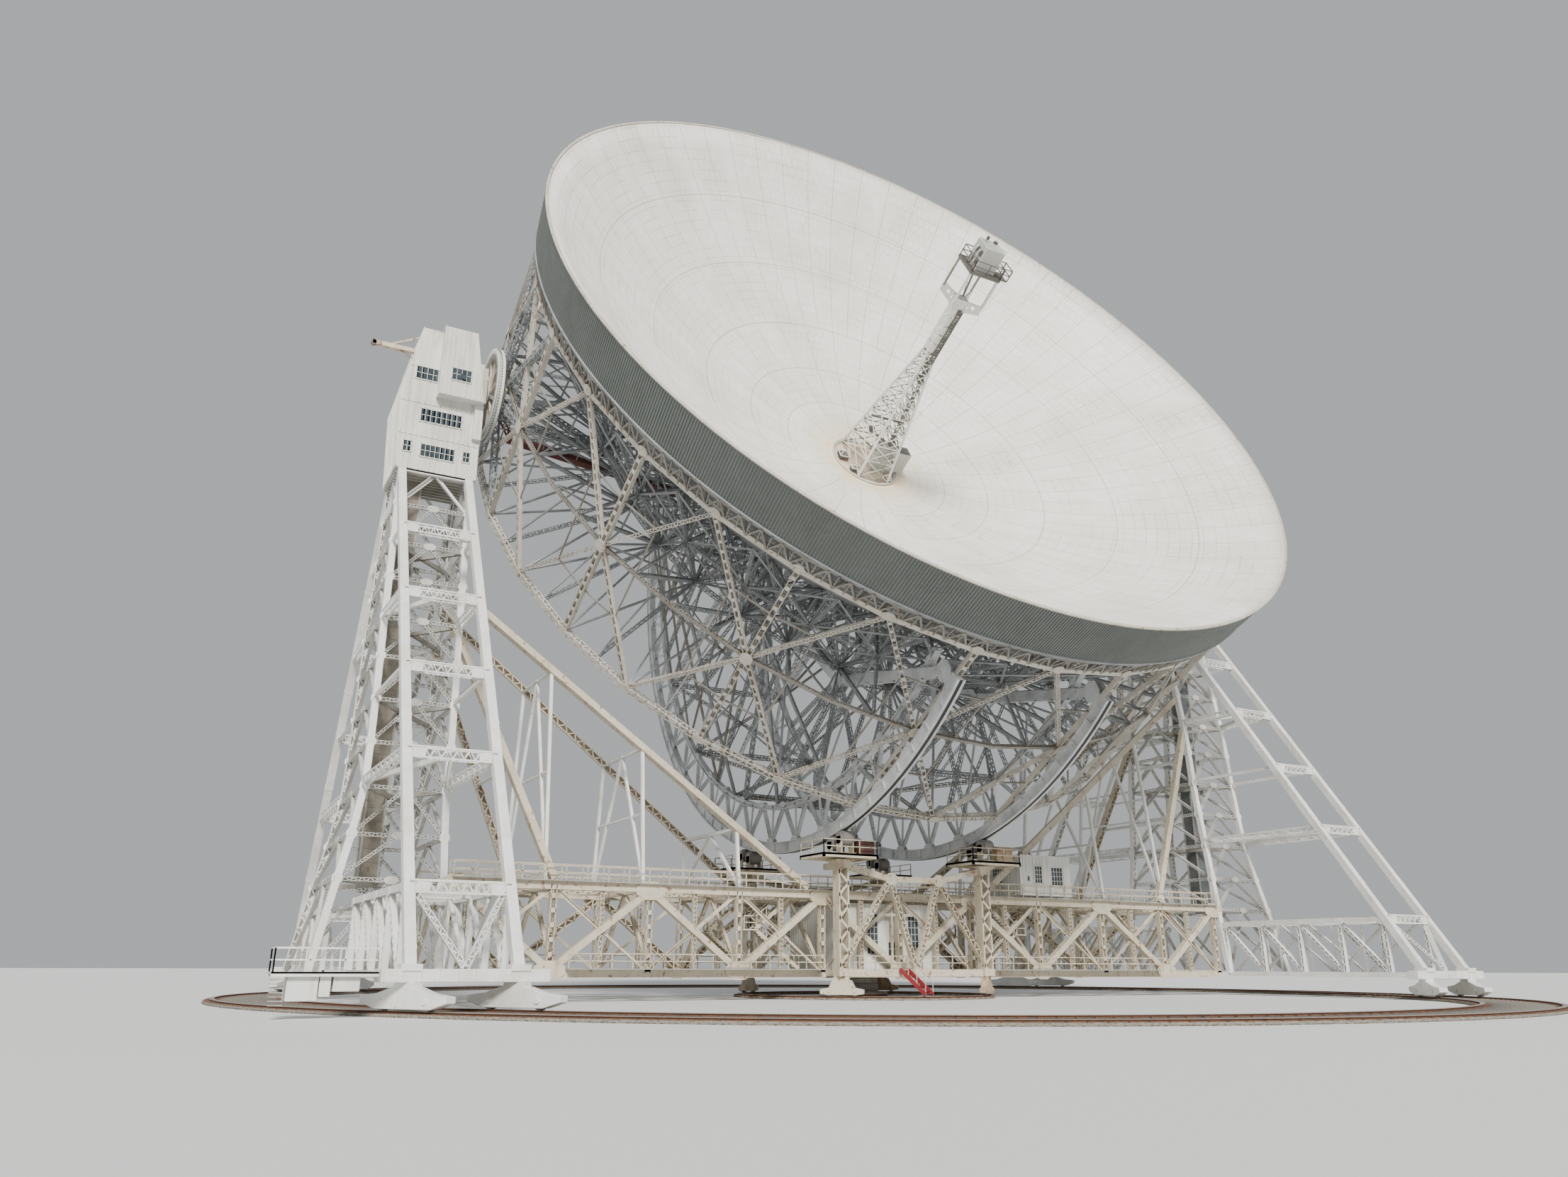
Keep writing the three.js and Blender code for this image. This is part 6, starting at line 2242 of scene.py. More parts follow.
@dataclass
class Bogie:
    """Stepped side frame that stands on two wheels on one rail.

    Attributes:
        x: its place across.
        y: its place along.
        top: height of its top.
        length: its length along the rail.
        top_length: length of its top.
        low: height of its shoulders above the rail.
        width: its width.
        wheel: radius of its wheels.
        spread: distance of a wheel from its middle.
    """

    x: float
    y: float
    top: float
    length: float
    top_length: float
    low: float
    width: float
    wheel: float
    spread: float

    def build(self, name: str, paint: bpy.types.Material, steel: bpy.types.Material) -> None:
        """Makes the frame, its wheels and its axle caps.

        Args:
            name: the bogie's name.
            paint: the frame's finish.
            steel: the wheels' finish.
        """
        half, top_half = self.length / 2, self.top_length / 2
        quarter = [(top_half * 0.75, self.top), (top_half * 0.75, self.top - 0.3),
                   (top_half, self.top - 0.33), (half * 0.6, self.low + 0.36), (half, self.low + 0.22),
                   (half, self.low - 0.13), (half * 0.64, 0.09)]
        outline = [(-u, v) for u, v in reversed(quarter)] + quarter
        bm = bmesh.new()
        face = bm.faces.new([bm.verts.new((u, -self.width / 2, v)) for u, v in outline])
        moved = bmesh.ops.extrude_face_region(bm, geom=[face])
        verts = [v for v in moved["geom"] if isinstance(v, bmesh.types.BMVert)]
        bmesh.ops.translate(bm, verts=verts, vec=(0, self.width, 0))
        bmesh.ops.recalc_face_normals(bm, faces=bm.faces)
        soften(bm, 0.03, 1)
        lying = Matrix.Rotation(math.pi / 2, 4, "X")
        wheels = bmesh.new()
        for place in (-self.spread, self.spread):
            for y in (-self.width / 2 - 0.02, self.width / 2 + 0.02):
                cylinder(bm, 0.16, 0.1, 16, Matrix.Translation((place, y, self.wheel + 0.12)) @ lying)
            turn = Matrix.Translation((place, 0, self.wheel + 0.003)) @ lying
            cylinder(wheels, self.wheel, self.width * 0.6, 32, turn)
        turn = Matrix.Translation((self.x, self.y, 0)) @ Matrix.Rotation(math.atan2(self.x, -self.y), 4, "Z")
        for mesh, title, finish in ((bm, "frame", paint), (wheels, "wheels", steel)):
            bmesh.ops.transform(mesh, matrix=turn, verts=mesh.verts)
            bm_piece(mesh, f"{name}_{title}", Place.TURNING, [finish])


def window(work: Steelwork, corner: Point, across: Point, out: Point, size: tuple[float, float],
           panes: tuple[int, int]) -> None:
    """Adds a window that stands a little proud of a wall: glass is coat 1, its bars coat 0.

    Args:
        work: the steelwork that it joins.
        corner: its lower corner on the wall.
        across: direction along the wall.
        out: direction away from the wall.
        size: width and height.
        panes: number of panes across and up.
    """
    corner, across, out = (np.array(v, float) for v in (corner, across, out))
    wide, tall = size
    up = np.array(UP)
    middle = corner + across * wide / 2 + out * 0.02
    work.member(middle, middle + up * tall, wide, 0.04, up=out, coat=1)
    for i in range(panes[0] + 1):
        foot = corner + across * wide * i / panes[0] + out * 0.05
        thick = 0.09 if i in (0, panes[0]) else 0.04
        work.member(foot, foot + up * tall, thick, 0.07, up=out)
    for j in range(panes[1] + 1):
        start = corner + up * tall * j / panes[1] + out * 0.05
        thick = 0.09 if j in (0, panes[1]) else 0.04
        work.member(start - across * 0.05, start + across * (wide + 0.05), 0.07, thick)


def wall_ribs(work: Steelwork, start: Point, across: Point, out: Point, width: float, height: float,
              pitch: float = 0.42) -> None:
    """Adds the upstanding ribs of profiled sheet to a wall.

    Args:
        work: the steelwork that they join.
        start: lower corner of the wall.
        across: direction along the wall.
        out: direction away from the wall.
        width: width of the wall.
        height: height of the wall.
        pitch: distance between two ribs.
    """
    start, across, out = (np.array(v, float) for v in (start, across, out))
    count = max(1, round(width / pitch))
    for i in range(count + 1):
        foot = start + across * width * i / count + out * 0.015
        work.member(foot, foot + np.array(UP) * height, 0.09, 0.05, up=out)


@dataclass
class HeadHouse:
    """Machine house on a tower head, clad in profiled sheet, with an overhanging bay.

    Attributes:
        name: left or right.
        side: -1 left, 1 right.
        foot: height of the ribs' feet.
        knee: height where the walls begin to slope inwards.
        top: height of the roof's edge.
        bay_foot: height of the bay's underside.
    """

    name: str
    side: int
    foot: float = 40.95
    knee: float = 47.6
    top: float = 54.0
    bay_foot: float = 47.75

    def build(self, paints: Paints) -> None:
        """Makes the ribs, laps, windows and trims, and paints the house.

        Args:
            paints: the finishes.
        """
        work = Steelwork()
        s = self.side
        for end in (-1, 1):
            self.gable(work, end)
            self.windows(work, end)
        for i in range(14):
            y = -2.85 + 5.7 * i / 13
            work.member((s * 45.72, y, self.foot), (s * 46.02, y, self.knee), 0.09, 0.05, up=(s, 0, 0))
            work.member((s * 46.02, y, self.knee), (s * 44.72, y, self.top), 0.09, 0.05, up=(s, 0, 0))
        for i in range(19):
            y = -3.9 + 7.8 * i / 18
            if abs(y) > 1.95:
                work.member((s * 39.4, y, self.bay_foot), (s * 40.45, y, self.top), 0.09, 0.04, up=(-s, 0, 0))
        for x, z, half in ((39.4, 47.7, 4.02), (40.43, 54.02, 4.02), (43.1, 47.7, 4.02), (43.1, 54.02, 4.02),
                           (39.22, 41.0, 2.93), (45.7, 41.0, 2.93), (44.7, 53.98, 2.93)):
            work.block((s * x - 0.05, s * x + 0.05), (-half, half), (z - 0.06, z + 0.05))
        # The floor under the house is in coat 2, grey as painted shade.
        work.block((s * 42.45 - 3.0, s * 42.45 + 3.0), (-2.8, 2.8), (40.8, 40.93), 2)
        coats = [paints.wall, paints.glass, paints.shaded, paints.base]
        steel_piece(work, f"{self.name}_house_trim", Place.TURNING, coats)
        repaint(f"{self.name}_head_house", paints.wall)
        repaint(f"{self.name}_trunnion_bearing", paints.base)

    def gable(self, work: Steelwork, end: int) -> None:
        """Adds the ribs and laps of one end wall and of the bay's end wall.

        Args:
            work: the steelwork to add to.
            end: -1 front, 1 back.
        """
        s, out = self.side, (0, end, 0)
        wall, bay = end * 2.915, end * 4.015
        for i in range(16):
            x = 39.25 + 6.45 * i / 15
            top = min(self.top, self.knee + (x - 39.2) / 0.18) if x > 39.3 else self.knee
            top = top if x < 44.7 else self.top - (x - 44.7) * 4.9
            work.member((s * x, wall, self.foot), (s * x, wall, top), 0.09, 0.05, up=out)
        for z in (43.9, 46.9, 50.2):
            inner = 39.2 + max(0.0, z - self.knee) * 0.18
            outer = 46.0 - max(0.0, z - self.knee) * 0.203 if z > self.knee else 45.7 + (z - 40.92) * 0.045
            work.block(sorted((s * inner, s * outer)), (wall - 0.025, wall + 0.025), (z, z + 0.07))
        for i in range(10):
            x = 39.42 + 3.62 * i / 9
            top = min(self.top, self.bay_foot + (x - 39.38) / 0.167)
            work.member((s * x, bay, self.bay_foot), (s * x, bay, top), 0.09, 0.05, up=out)
        for (x0, z0), (x1, z1) in (((39.42, 47.7), (40.45, 54.03)), ((43.1, 47.7), (43.1, 54.03))):
            work.member((s * x0, bay, z0), (s * x1, bay, z1), 0.12, 0.07, up=out)
        work.block(sorted((s * 39.2, s * 39.9)), sorted((end * 2.9, end * 3.3)), (44.5, 47.66))

    def windows(self, work: Steelwork, end: int) -> None:
        """Adds the windows of one end wall; a row is (outer edge, sill, width, height, panes).

        Args:
            work: the steelwork to add to.
            end: -1 front, 1 back.
        """
        s = self.side
        across = (-s, 0, 0)
        rows = ((44.95, 49.1, 1.85, 1.2, (4, 2)), (44.25, 45.3, 3.4, 1.2, (8, 2)),
                (43.95, 42.15, 2.8, 1.15, (7, 2)),
                (45.35, 42.35, 0.65, 1.0, (2, 2)), (40.5, 42.35, 0.62, 0.95, (2, 2)))
        for x, z, width, height, panes in rows:
            window(work, (s * x, end * 2.9, z), across, (0, end, 0), (width, height), panes)
        window(work, (s * 42.25, end * 4.0, 49.15), across, (0, end, 0), (1.65, 1.15), (4, 2))
        work.block((s * 41.3 - 0.25, s * 41.3 + 0.25), (end * 4.1 - 0.08, end * 4.1 + 0.08), (49.35, 49.8), 1)


@dataclass
class CraneJib:
    """Small jib crane on the left house: two arms, a pulley at its tip and stay rods.

    Attributes:
        wall: distance of its root from the middle.
        tip: distance of its tip from the middle.
        y: its place along.
    """

    wall: float = 45.1
    tip: float = 48.6
    y: float = -2.0

    def build(self, paints: Paints) -> None:
        """Makes the jib.

        Args:
            paints: the finishes.
        """
        work = Steelwork()
        root, tip = np.array((-self.wall, self.y, 52.0)), np.array((-self.tip, self.y, 52.0))
        for offset in (-0.16, 0.16):
            work.member(root + (0, offset, 0), tip + (0, offset, 0), 0.08, 0.36)
        work.member(root + (0, 0, -0.15), tip + (0.3, 0, -0.15), 0.3, 0.05)
        for i in range(9):
            a = between(root, tip, (i + 0.5) / 9)
            work.bar(a + (0, -0.16, 0.14), a + (0, 0.16, 0.14), 0.07)
        work.bar(between(root, tip, 0.6) + (0, 0, 0.15), (-self.wall + 0.4, self.y, 53.5), 0.14)
        work.bar(between(root, tip, 0.35) + (0, 0, -0.15), (-self.wall, self.y, 51.2), 0.07, 1)
        work.gusset(tip + (0.1, 0, -0.02), (1, 0, 0), (0, 1, 0), 0.45, 0.4, 0.5, 1)
        steel_piece(work, "crane_jib", Place.TURNING, [paints.crane, paints.rusty],
                    ("left_crane_jib",))


@dataclass
class FootPlatform:
    """Railed platform and machinery cabinet at the foot of the left front legs."""

    def build(self, paints: Paints) -> None:
        """Makes the platform's deck, railing, cabinet and steps.

        Args:
            paints: the finishes.
        """
        work = Steelwork()
        work.block((-52.2, -47.063), (-28.7, -26.7), (1.86, 1.95))
        for y in (-28.66, -26.74):
            work.block((-52.2, -47.063), (y - 0.04, y + 0.04), (1.72, 1.95))
        path = ((-47.1, -28.62), (-52.12, -28.62), (-52.12, -26.78), (-47.1, -26.78))
        work.railing([(x, y, 1.95) for x, y in path], 1.15)
        for i in range(8):
            z = 0.35 + i * 0.2
            work.block((-52.15, -51.5), (-28.6, -28.0), (z, z + 0.05), 1)
        steel_piece(work, "foot_platform_deck", Place.TURNING, [paints.tower, paints.shaded],
                    ("left_foot_platform",))
        bm = bmesh.new()
        for x0, x1, z0 in ((-51.4, -49.9, 0.55), (-49.85, -49.3, 0.75), (-49.2, -47.9, 1.0)):
            box_bm((x0, -28.4, z0), (x1, -26.95, 1.86), bm)
        soften(bm, 0.04, 2)
        bm_piece(bm, "foot_machinery_cabinet", Place.TURNING, [paints.wall])


# The base between the towers
@dataclass
class BaseGirder:
    """Long Warren girder across the base, with its walkways, stairs and railings.

    Attributes:
        name: front or back.
        end: -1 front, 1 back.
        y: distance of its face from the middle.
        top: height of the upper chord's middle.
        bottom: height of the lower chord's middle.
        half: half its length.
    """

    name: str
    end: int
    y: float = 6.0
    top: float = 8.1
    bottom: float = 1.75
    half: float = 38.9

    def build(self, paints: Paints) -> None:
        """Makes the girder's face.

        Args:
            paints: the finishes.
        """
        work = Steelwork()
        y = self.end * self.y
        out = np.array((0, self.end, 0))
        for z, size in ((self.top, 0.6), (self.bottom, 0.6)):
            work.member((-self.half, y, z), (self.half, y, z), 0.5, size)
            for edge in (-size / 2, size / 2):
                work.member((-self.half, y, z + edge), (self.half, y, z + edge), 0.62, 0.05)
        bottoms, tops = (-31.2, -15.6, 0.0, 15.6, 31.2), (-38.6, -23.4, -7.8, 7.8, 23.4, 38.6)
        for i, x in enumerate(bottoms):
            foot = np.array((x, y, self.bottom + 0.2))
            for other in (tops[i], tops[i + 1]):
                head = np.array((other, y, self.top - 0.2))
                work.member(foot, head, 0.5, 0.6, Build.LEG, out)
            work.member((x, y, self.bottom), (x, y, self.top), 0.5, 0.5, Build.BATTENED, out)
            work.gusset(foot + out * 0.32, (1, 0, 0), out, 2.6, 0.05, 1.5)
        for x in tops:
            work.member((x, y, self.bottom), (x, y, self.top), 0.5, 0.5, Build.BATTENED, out)
            work.gusset(np.array((x, y, self.top - 0.2)) + out * 0.32, (1, 0, 0), out, 2.6, 0.05, 1.5)
        self.lighter_bracing(work, bottoms, tops)
        self.walkways(work)
        coats = [paints.base, paints.shaded, paints.tower]
        steel_piece(work, f"{self.name}_girder_steelwork", Place.TURNING, coats,
                    (f"{self.name}_base_girder",))

    def lighter_bracing(self, work: Steelwork, bottoms: Sequence[float], tops: Sequence[float]) -> None:
        """Adds the laced posts and the sub-diagonals of each panel.

        Args:
            work: the steelwork to add to.
            bottoms: the lower chord's joints.
            tops: the upper chord's joints.
        """
        y, out = self.end * self.y, (0, self.end, 0)
        for i, x in enumerate(bottoms):
            for other in (tops[i], tops[i + 1]):
                middle = (x + other) / 2
                work.member((middle, y, self.bottom), (middle, y, self.top), 0.34, 0.34, Build.CHANNELS, out)
                centre = (middle, y, (self.top + self.bottom) / 2)
                work.member(centre, (other, y, self.bottom + 0.1), 0.24, 0.24, Build.ANGLE, out)
                work.member(centre, (x, y, self.top - 0.1), 0.24, 0.24, Build.ANGLE, out)

    def walkways(self, work: Steelwork) -> None:
        """Adds the upper and lower walkways with their railings, and the zig-zag stairs.

        Args:
            work: the steelwork to add to.
        """
        y, e = self.end * self.y, self.end
        work.block((-self.half, self.half), (y - 0.65, y + 0.65), (8.38, 8.45), 1)
        for edge in (-0.62, 0.62):
            work.railing([(-self.half, y + edge, 8.45), (self.half, y + edge, 8.45)], 1.15)
        low = e * (self.y + 0.75)
        for x0, x1 in ((-30.0, -8.2), (-6.4, 6.4), (8.2, 30.0)):
            work.block((x0, x1), (low - 0.4, low + 0.4), (2.02, 2.1), 1)
            work.railing([(x0, low + e * 0.36, 2.1), (x1, low + e * 0.36, 2.1)], 1.05)
        inside = e * (self.y - 1.3)
        for hand in (-1, 1):
            flights = ((hand * 9.5, 8.4, hand * 13.6, 5.2), (hand * 13.6, 5.2, hand * 9.5, 2.1))
            for x0, z0, x1, z1 in flights:
                self.stair(work, (x0, inside, z0), (x1, inside, z1))
            work.block(sorted((hand * 13.4, hand * 14.8)), (inside - 0.6, inside + 0.6), (5.1, 5.2))
            work.railing([(hand * 13.6, inside - 0.55, 5.2), (hand * 14.7, inside - 0.55, 5.2)], 1.05)

    @staticmethod
    def stair(work: Steelwork, head: Point, foot: Point) -> None:
        """Adds a flight with two strings, treads and handrails.

        Args:
            work: the steelwork to add to.
            head: its upper end.
            foot: its lower end.
        """
        for offset in (-0.42, 0.42):
            a, b = np.array(head) + (0, offset, 0), np.array(foot) + (0, offset, 0)
            work.member(a, b, 0.08, 0.3)
            work.member(a + (0, 0, 1.0), b + (0, 0, 1.0), 0.07, 0.07)
            for i in range(5):
                p = between(a, b, i / 4)
                work.bar(p, p + (0, 0, 1.0), 0.06)
        count = 14
        for i in range(count):
            c = between(head, foot, (i + 0.5) / count)
            work.block((c[0] - 0.14, c[0] + 0.14), (c[1] - 0.4, c[1] + 0.4), (c[2] - 0.03, c[2] + 0.03), 1)


@dataclass
class BaseDeck:
    """Plan bracing between the two base girders at both chords, and its cross beams.

    Attributes:
        y: distance of a girder from the middle.
        half: half the bracing's length.
    """

    y: float = BaseGirder.y
    half: float = 38.6

    def build(self, paints: Paints) -> None:
        """Makes the upper and the lower bracing.

        Args:
            paints: the finishes.
        """
        for title, z in (("deck", BaseGirder.top), ("floor", BaseGirder.bottom)):
            work = Steelwork()
            work.member((-self.half, 0, z), (self.half, 0, z), 0.45, 0.4, Build.LACED)
            xs = [-self.half + self.half * i / 5 for i in range(11)]
            for x in xs:
                work.member((x, -self.y, z), (x, self.y, z), 0.45, 0.45, Build.CHANNELS)
            for (x, after), y in product(zip(xs, xs[1:]), (-self.y, self.y)):
                work.member((x, y, z), (after, 0, z), 0.3, 0.3, Build.CHANNELS)
            if title == "floor":
                for x, y in product([x for x in xs if abs(x) > 5], (-self.y, self.y)):
                    work.member((x, y, z), (x, 0, 8.0), 0.3, 0.3, Build.CHANNELS, (1, 0, 0))
            steel_piece(work, f"{title}_steelwork", Place.TURNING, [paints.base],
                        (f"{title}_bracing",))
        boss = turned([(0.0, 0.903), (1.3, 0.903), (1.3, 1.3), (0.8, 1.5), (0.8, 1.7), (0.0, 1.7)], 32,
                      smooth=False)
        bm_piece(boss, "pivot_boss", Place.TURNING, [paints.shaded])


@dataclass
class Cradle:
    """Frame at the front or back that carries the rollers under the two wheel girders.

    Attributes:
        name: front or back.
        end: -1 front, 1 back.
        x: distance of a post from the middle.
        y: distance of the frame from the elevation axis's plane.
        foot: height of the posts' feet.
        top: height of the posts' tops.
        deck: height of the platforms' floors.
        roller: radius of a roller's flanges.
        gap: how far the wheel girders clear them.
    """

    name: str
    end: int
    x: float = WheelGirder.x
    y: float = 8.5
    foot: float = 1.5
    top: float = 10.75
    deck: float = 11.17
    roller: float = 0.62
    gap: float = 0.06

    def build(self, paints: Paints) -> None:
        """Makes the frame, its platforms and rollers.

        Args:
            paints: the finishes.
        """
        work = Steelwork()
        y, out = self.end * self.y, (0, self.end, 0)
        work.member((-self.x, y, 1.8), (self.x, y, 1.8), 0.6, 0.6)
        for side in (-1, 1):
            x = side * self.x
            work.member((x, y, self.foot), (x, y, self.top), 1.0, 1.0, Build.CHANNELS, out)
            for z in (self.foot + 0.35, self.top - 0.3):
                work.post(x, y, 0.56, (z - 0.3, z + 0.3))
            for i, flare in enumerate((0.6, 0.72, 0.88)):
                z = self.top - 0.28 + 0.1 * i
                work.post(x, y, flare, (z, z + 0.1))
            apex = np.array((side * 2.45, y, 9.4))
            work.member((x, y, self.top - 0.3), apex, 0.5, 0.5, Build.LEG, out)
            work.member(apex, (0, y, 1.9), 0.45, 0.45, Build.CHANNELS, out)
            work.member(apex, (x, y, 2.4), 0.45, 0.45, Build.CHANNELS, out)
            work.gusset(apex + np.array(out) * 0.27, (1, 0, 0), out, 1.3, 0.05, 1.1)
            inner = self.end * BaseGirder.y
            work.member((x, y, self.top - 0.35), (x, inner, self.top - 0.35), 0.5, 0.5)
            work.member((x, y, 1.8), (x, inner, 1.8), 0.5, 0.5)
            work.member((x, y, 6.2), (x, inner, 8.0), 0.4, 0.4, Build.CHANNELS, (1, 0, 0))
            self.platform(work, side)
        work.member((-2.45, y, 9.4), (2.45, y, 9.4), 0.5, 0.5, Build.LEG, out)
        coats = [paints.base, paints.shaded, paints.oxide_turning, paints.cream]
        steel_piece(work, f"{self.name}_cradle_steelwork", Place.TURNING, coats,
                    (f"{self.name}_cradle_frame",))
        for side_name, side in SIDES:
            bogie = Bogie(side * self.x, y, top=1.55, length=3.6, top_length=1.6, low=0.3, width=0.6,
                          wheel=0.32, spread=1.05)
            bogie.build(f"{self.name}_{side_name}_inner_bogie", paints.base if side < 0 else paints.cream,
                        paints.rail)
            self.rollers(f"{self.name}_{side_name}_rollers", side, paints)

    def platform(self, work: Steelwork, side: int) -> None:
        """Adds one railed platform round a roller rocker.

        Args:
            work: the steelwork to add to.
            side: -1 left, 1 right.
        """
        x0, x1 = sorted((side * 4.9, side * 10.2))
        y0, y1 = sorted((self.end * 6.6, self.end * 10.6))
        deck = self.deck
        work.block((x0, x1), (y0, y1), (deck - 0.17, deck))
        for y in (y0 + 0.1, y1 - 0.1):
            work.block((x0, x1), (y - 0.1, y + 0.1), (deck - 0.34, deck))
        for x in (x0 + 0.1, x1 - 0.1):
            work.block((x - 0.1, x + 0.1), (y0, y1), (deck - 0.34, deck))
        if self.end < 0:
            if side < 0:
                work.block((-6.4, -5.0), (y0 + 0.5, y0 + 1.7), (deck, 12.3), 2)
            else:
                work.block((7.9, 9.6), (y0 + 0.4, y0 + 1.8), (deck, 12.5), 3)
        x0, x1, y0, y1 = x0 + 0.08, x1 - 0.08, y0 + 0.08, y1 - 0.08
        near, far = (y1, y0) if self.end < 0 else (y0, y1)
        work.railing([(x0, near, deck), (x0, far, deck), (x1, far, deck), (x1, near, deck)])

    def rollers(self, name: str, side: int, paints: Paints) -> None:
        """Makes the two rollers under the rail with their flanges, and the rocker that holds them.

        Args:
            name: start of the pieces' names.
            side: -1 left, 1 right.
            paints: the finishes.
        """
        reach = WheelGirder.radius + self.gap + self.roller
        bm = bmesh.new()
        work = Steelwork()
        x = side * self.x
        for offset in (-0.75, 0.75):
            y = self.end * self.y + offset
            z = AXIS_HEIGHT - math.sqrt(reach ** 2 - y ** 2)
            turn = Matrix.Translation((x, y, z)) @ Matrix.Rotation(math.pi / 2, 4, "Y")
            for width, radius in ((1.3, 0.5), (0.9, self.roller)):
                cylinder(bm, radius, width, 32, turn)
            for cheek in (-0.6, 0.6):
                work.block((x + cheek - 0.05, x + cheek + 0.05), (y - 0.35, y + 0.35), (11.1, z + 0.15))
        work.block((x - 0.7, x + 0.7), (self.end * self.y - 1.4, self.end * self.y + 1.4), (11.12, 11.32))
        bm_piece(bm, name, Place.TURNING, [paints.rail])
        steel_piece(work, f"{name}_rocker", Place.TURNING, [paints.base])


@dataclass
class Houses:
    """Motor room inside the base and control cabin on its walkway, both clad in ribbed sheet.

    Attributes:
        motor: the motor room's ends across, along and in height.
        cabin: the same of the control cabin.
    """

    motor: tuple[tuple[float, float], ...] = ((-4.6, 4.2), (-5.3, 5.3), (1.953, 7.5))
    cabin: tuple[tuple[float, float], ...] = ((13.5, 19.6), (-6.4, -1.2), (8.65, 12.35))

    def build(self, paints: Paints) -> None:
        """Dresses both houses.

        Args:
            paints: the finishes.
        """
        work = Steelwork()
        for x, y, z in (self.motor, self.cabin):
            low, tall = z[0] + 0.05, z[1] - z[0] - 0.1
            for i, out in enumerate((-1, 1)):
                wall_ribs(work, (x[0], y[i], low), (1, 0, 0), (0, out, 0), x[1] - x[0], tall)
                wall_ribs(work, (x[i], y[0], low), (0, 1, 0), (out, 0, 0), y[1] - y[0], tall)
            for n in (z[0] + 0.03, z[1] - 0.1):
                work.hoop(x, y, (n, n + 0.12), 0.05, 0.04)
        front = self.motor[1][0]
        for (y, out), x in product(zip(self.motor[1], (-1, 1)), (-2.9, 1.35)):
            window(work, (x, y, 3.3), (1, 0, 0), (0, out, 0), (1.15, 3.4), (3, 6))
        (x0, x1), (y0, y1), z0 = *self.cabin[:2], self.cabin[2][0]
        work.block((13.95, 14.8), (y0 - 0.07, y0), (z0 + 0.05, z0 + 2.1))
        for corner, size, panes in (
                ((-0.75, front, 2.6), (0.75, 1.75), (1, 3)),
                ((15.2, y0, z0 + 1.15), (0.9, 1.6), (3, 4)),
                ((17.2, y0, z0 + 1.0), (1.4, 1.7), (4, 4)),
                ((14.2, y0 - 0.06, z0 + 1.3), (0.35, 0.5), (1, 1))):
            window(work, corner, (1, 0, 0), (0, -1, 0), size, panes)
        for x, y, way in ((x0, y1 - 1.2, -1), (x1, y0 + 1.2, 1)):
            window(work, (x, y, z0 + 1.1), (0, way, 0), (way, 0, 0), (1.4, 1.6), (4, 4))
        work.bar((-0.6, front - 0.5, 2.1), (-0.6, front - 0.5, 6.6), 0.18, 2)
        work.bar((-1.7, front - 0.5, 6.6), (1.6, front - 0.5, 6.6), 0.22, 2)
        steel_piece(work, "houses_trim", Place.TURNING, [paints.wall, paints.glass, paints.base])
        repaint("motor_room", paints.wall)
        repaint("control_cabin", paints.wall)


@dataclass
class EntryStair:
    """Red stair from the ground up to the front cradle frame."""

    def build(self, paints: Paints) -> None:
        """Makes the stair.

        Args:
            paints: the finishes.
        """
        work = Steelwork()
        head, foot = np.array((-1.55, -8.9, 2.1)), np.array((-0.85, -11.5, 0.14))
        across = np.array((0.45, 0.12, 0))
        for s in (-1, 1):
            a, b = head + across * s, foot + across * s
            work.member(a, b, 0.08, 0.34)
            work.member(a + (0, 0, 1.0), b + (0, 0, 1.0), 0.06, 0.06, coat=1)
            for i in range(4):
                p = between(a, b, i / 3)
                work.bar(p, p + (0, 0, 1.0), 0.05, 1)
        for i in range(10):
            c = between(head, foot, (i + 0.5) / 10)
            work.member(c - across, c + across, 0.26, 0.05)
        steel_piece(work, "red_stair", Place.TURNING, [paints.red, paints.base],
                    ("entry_stair",))


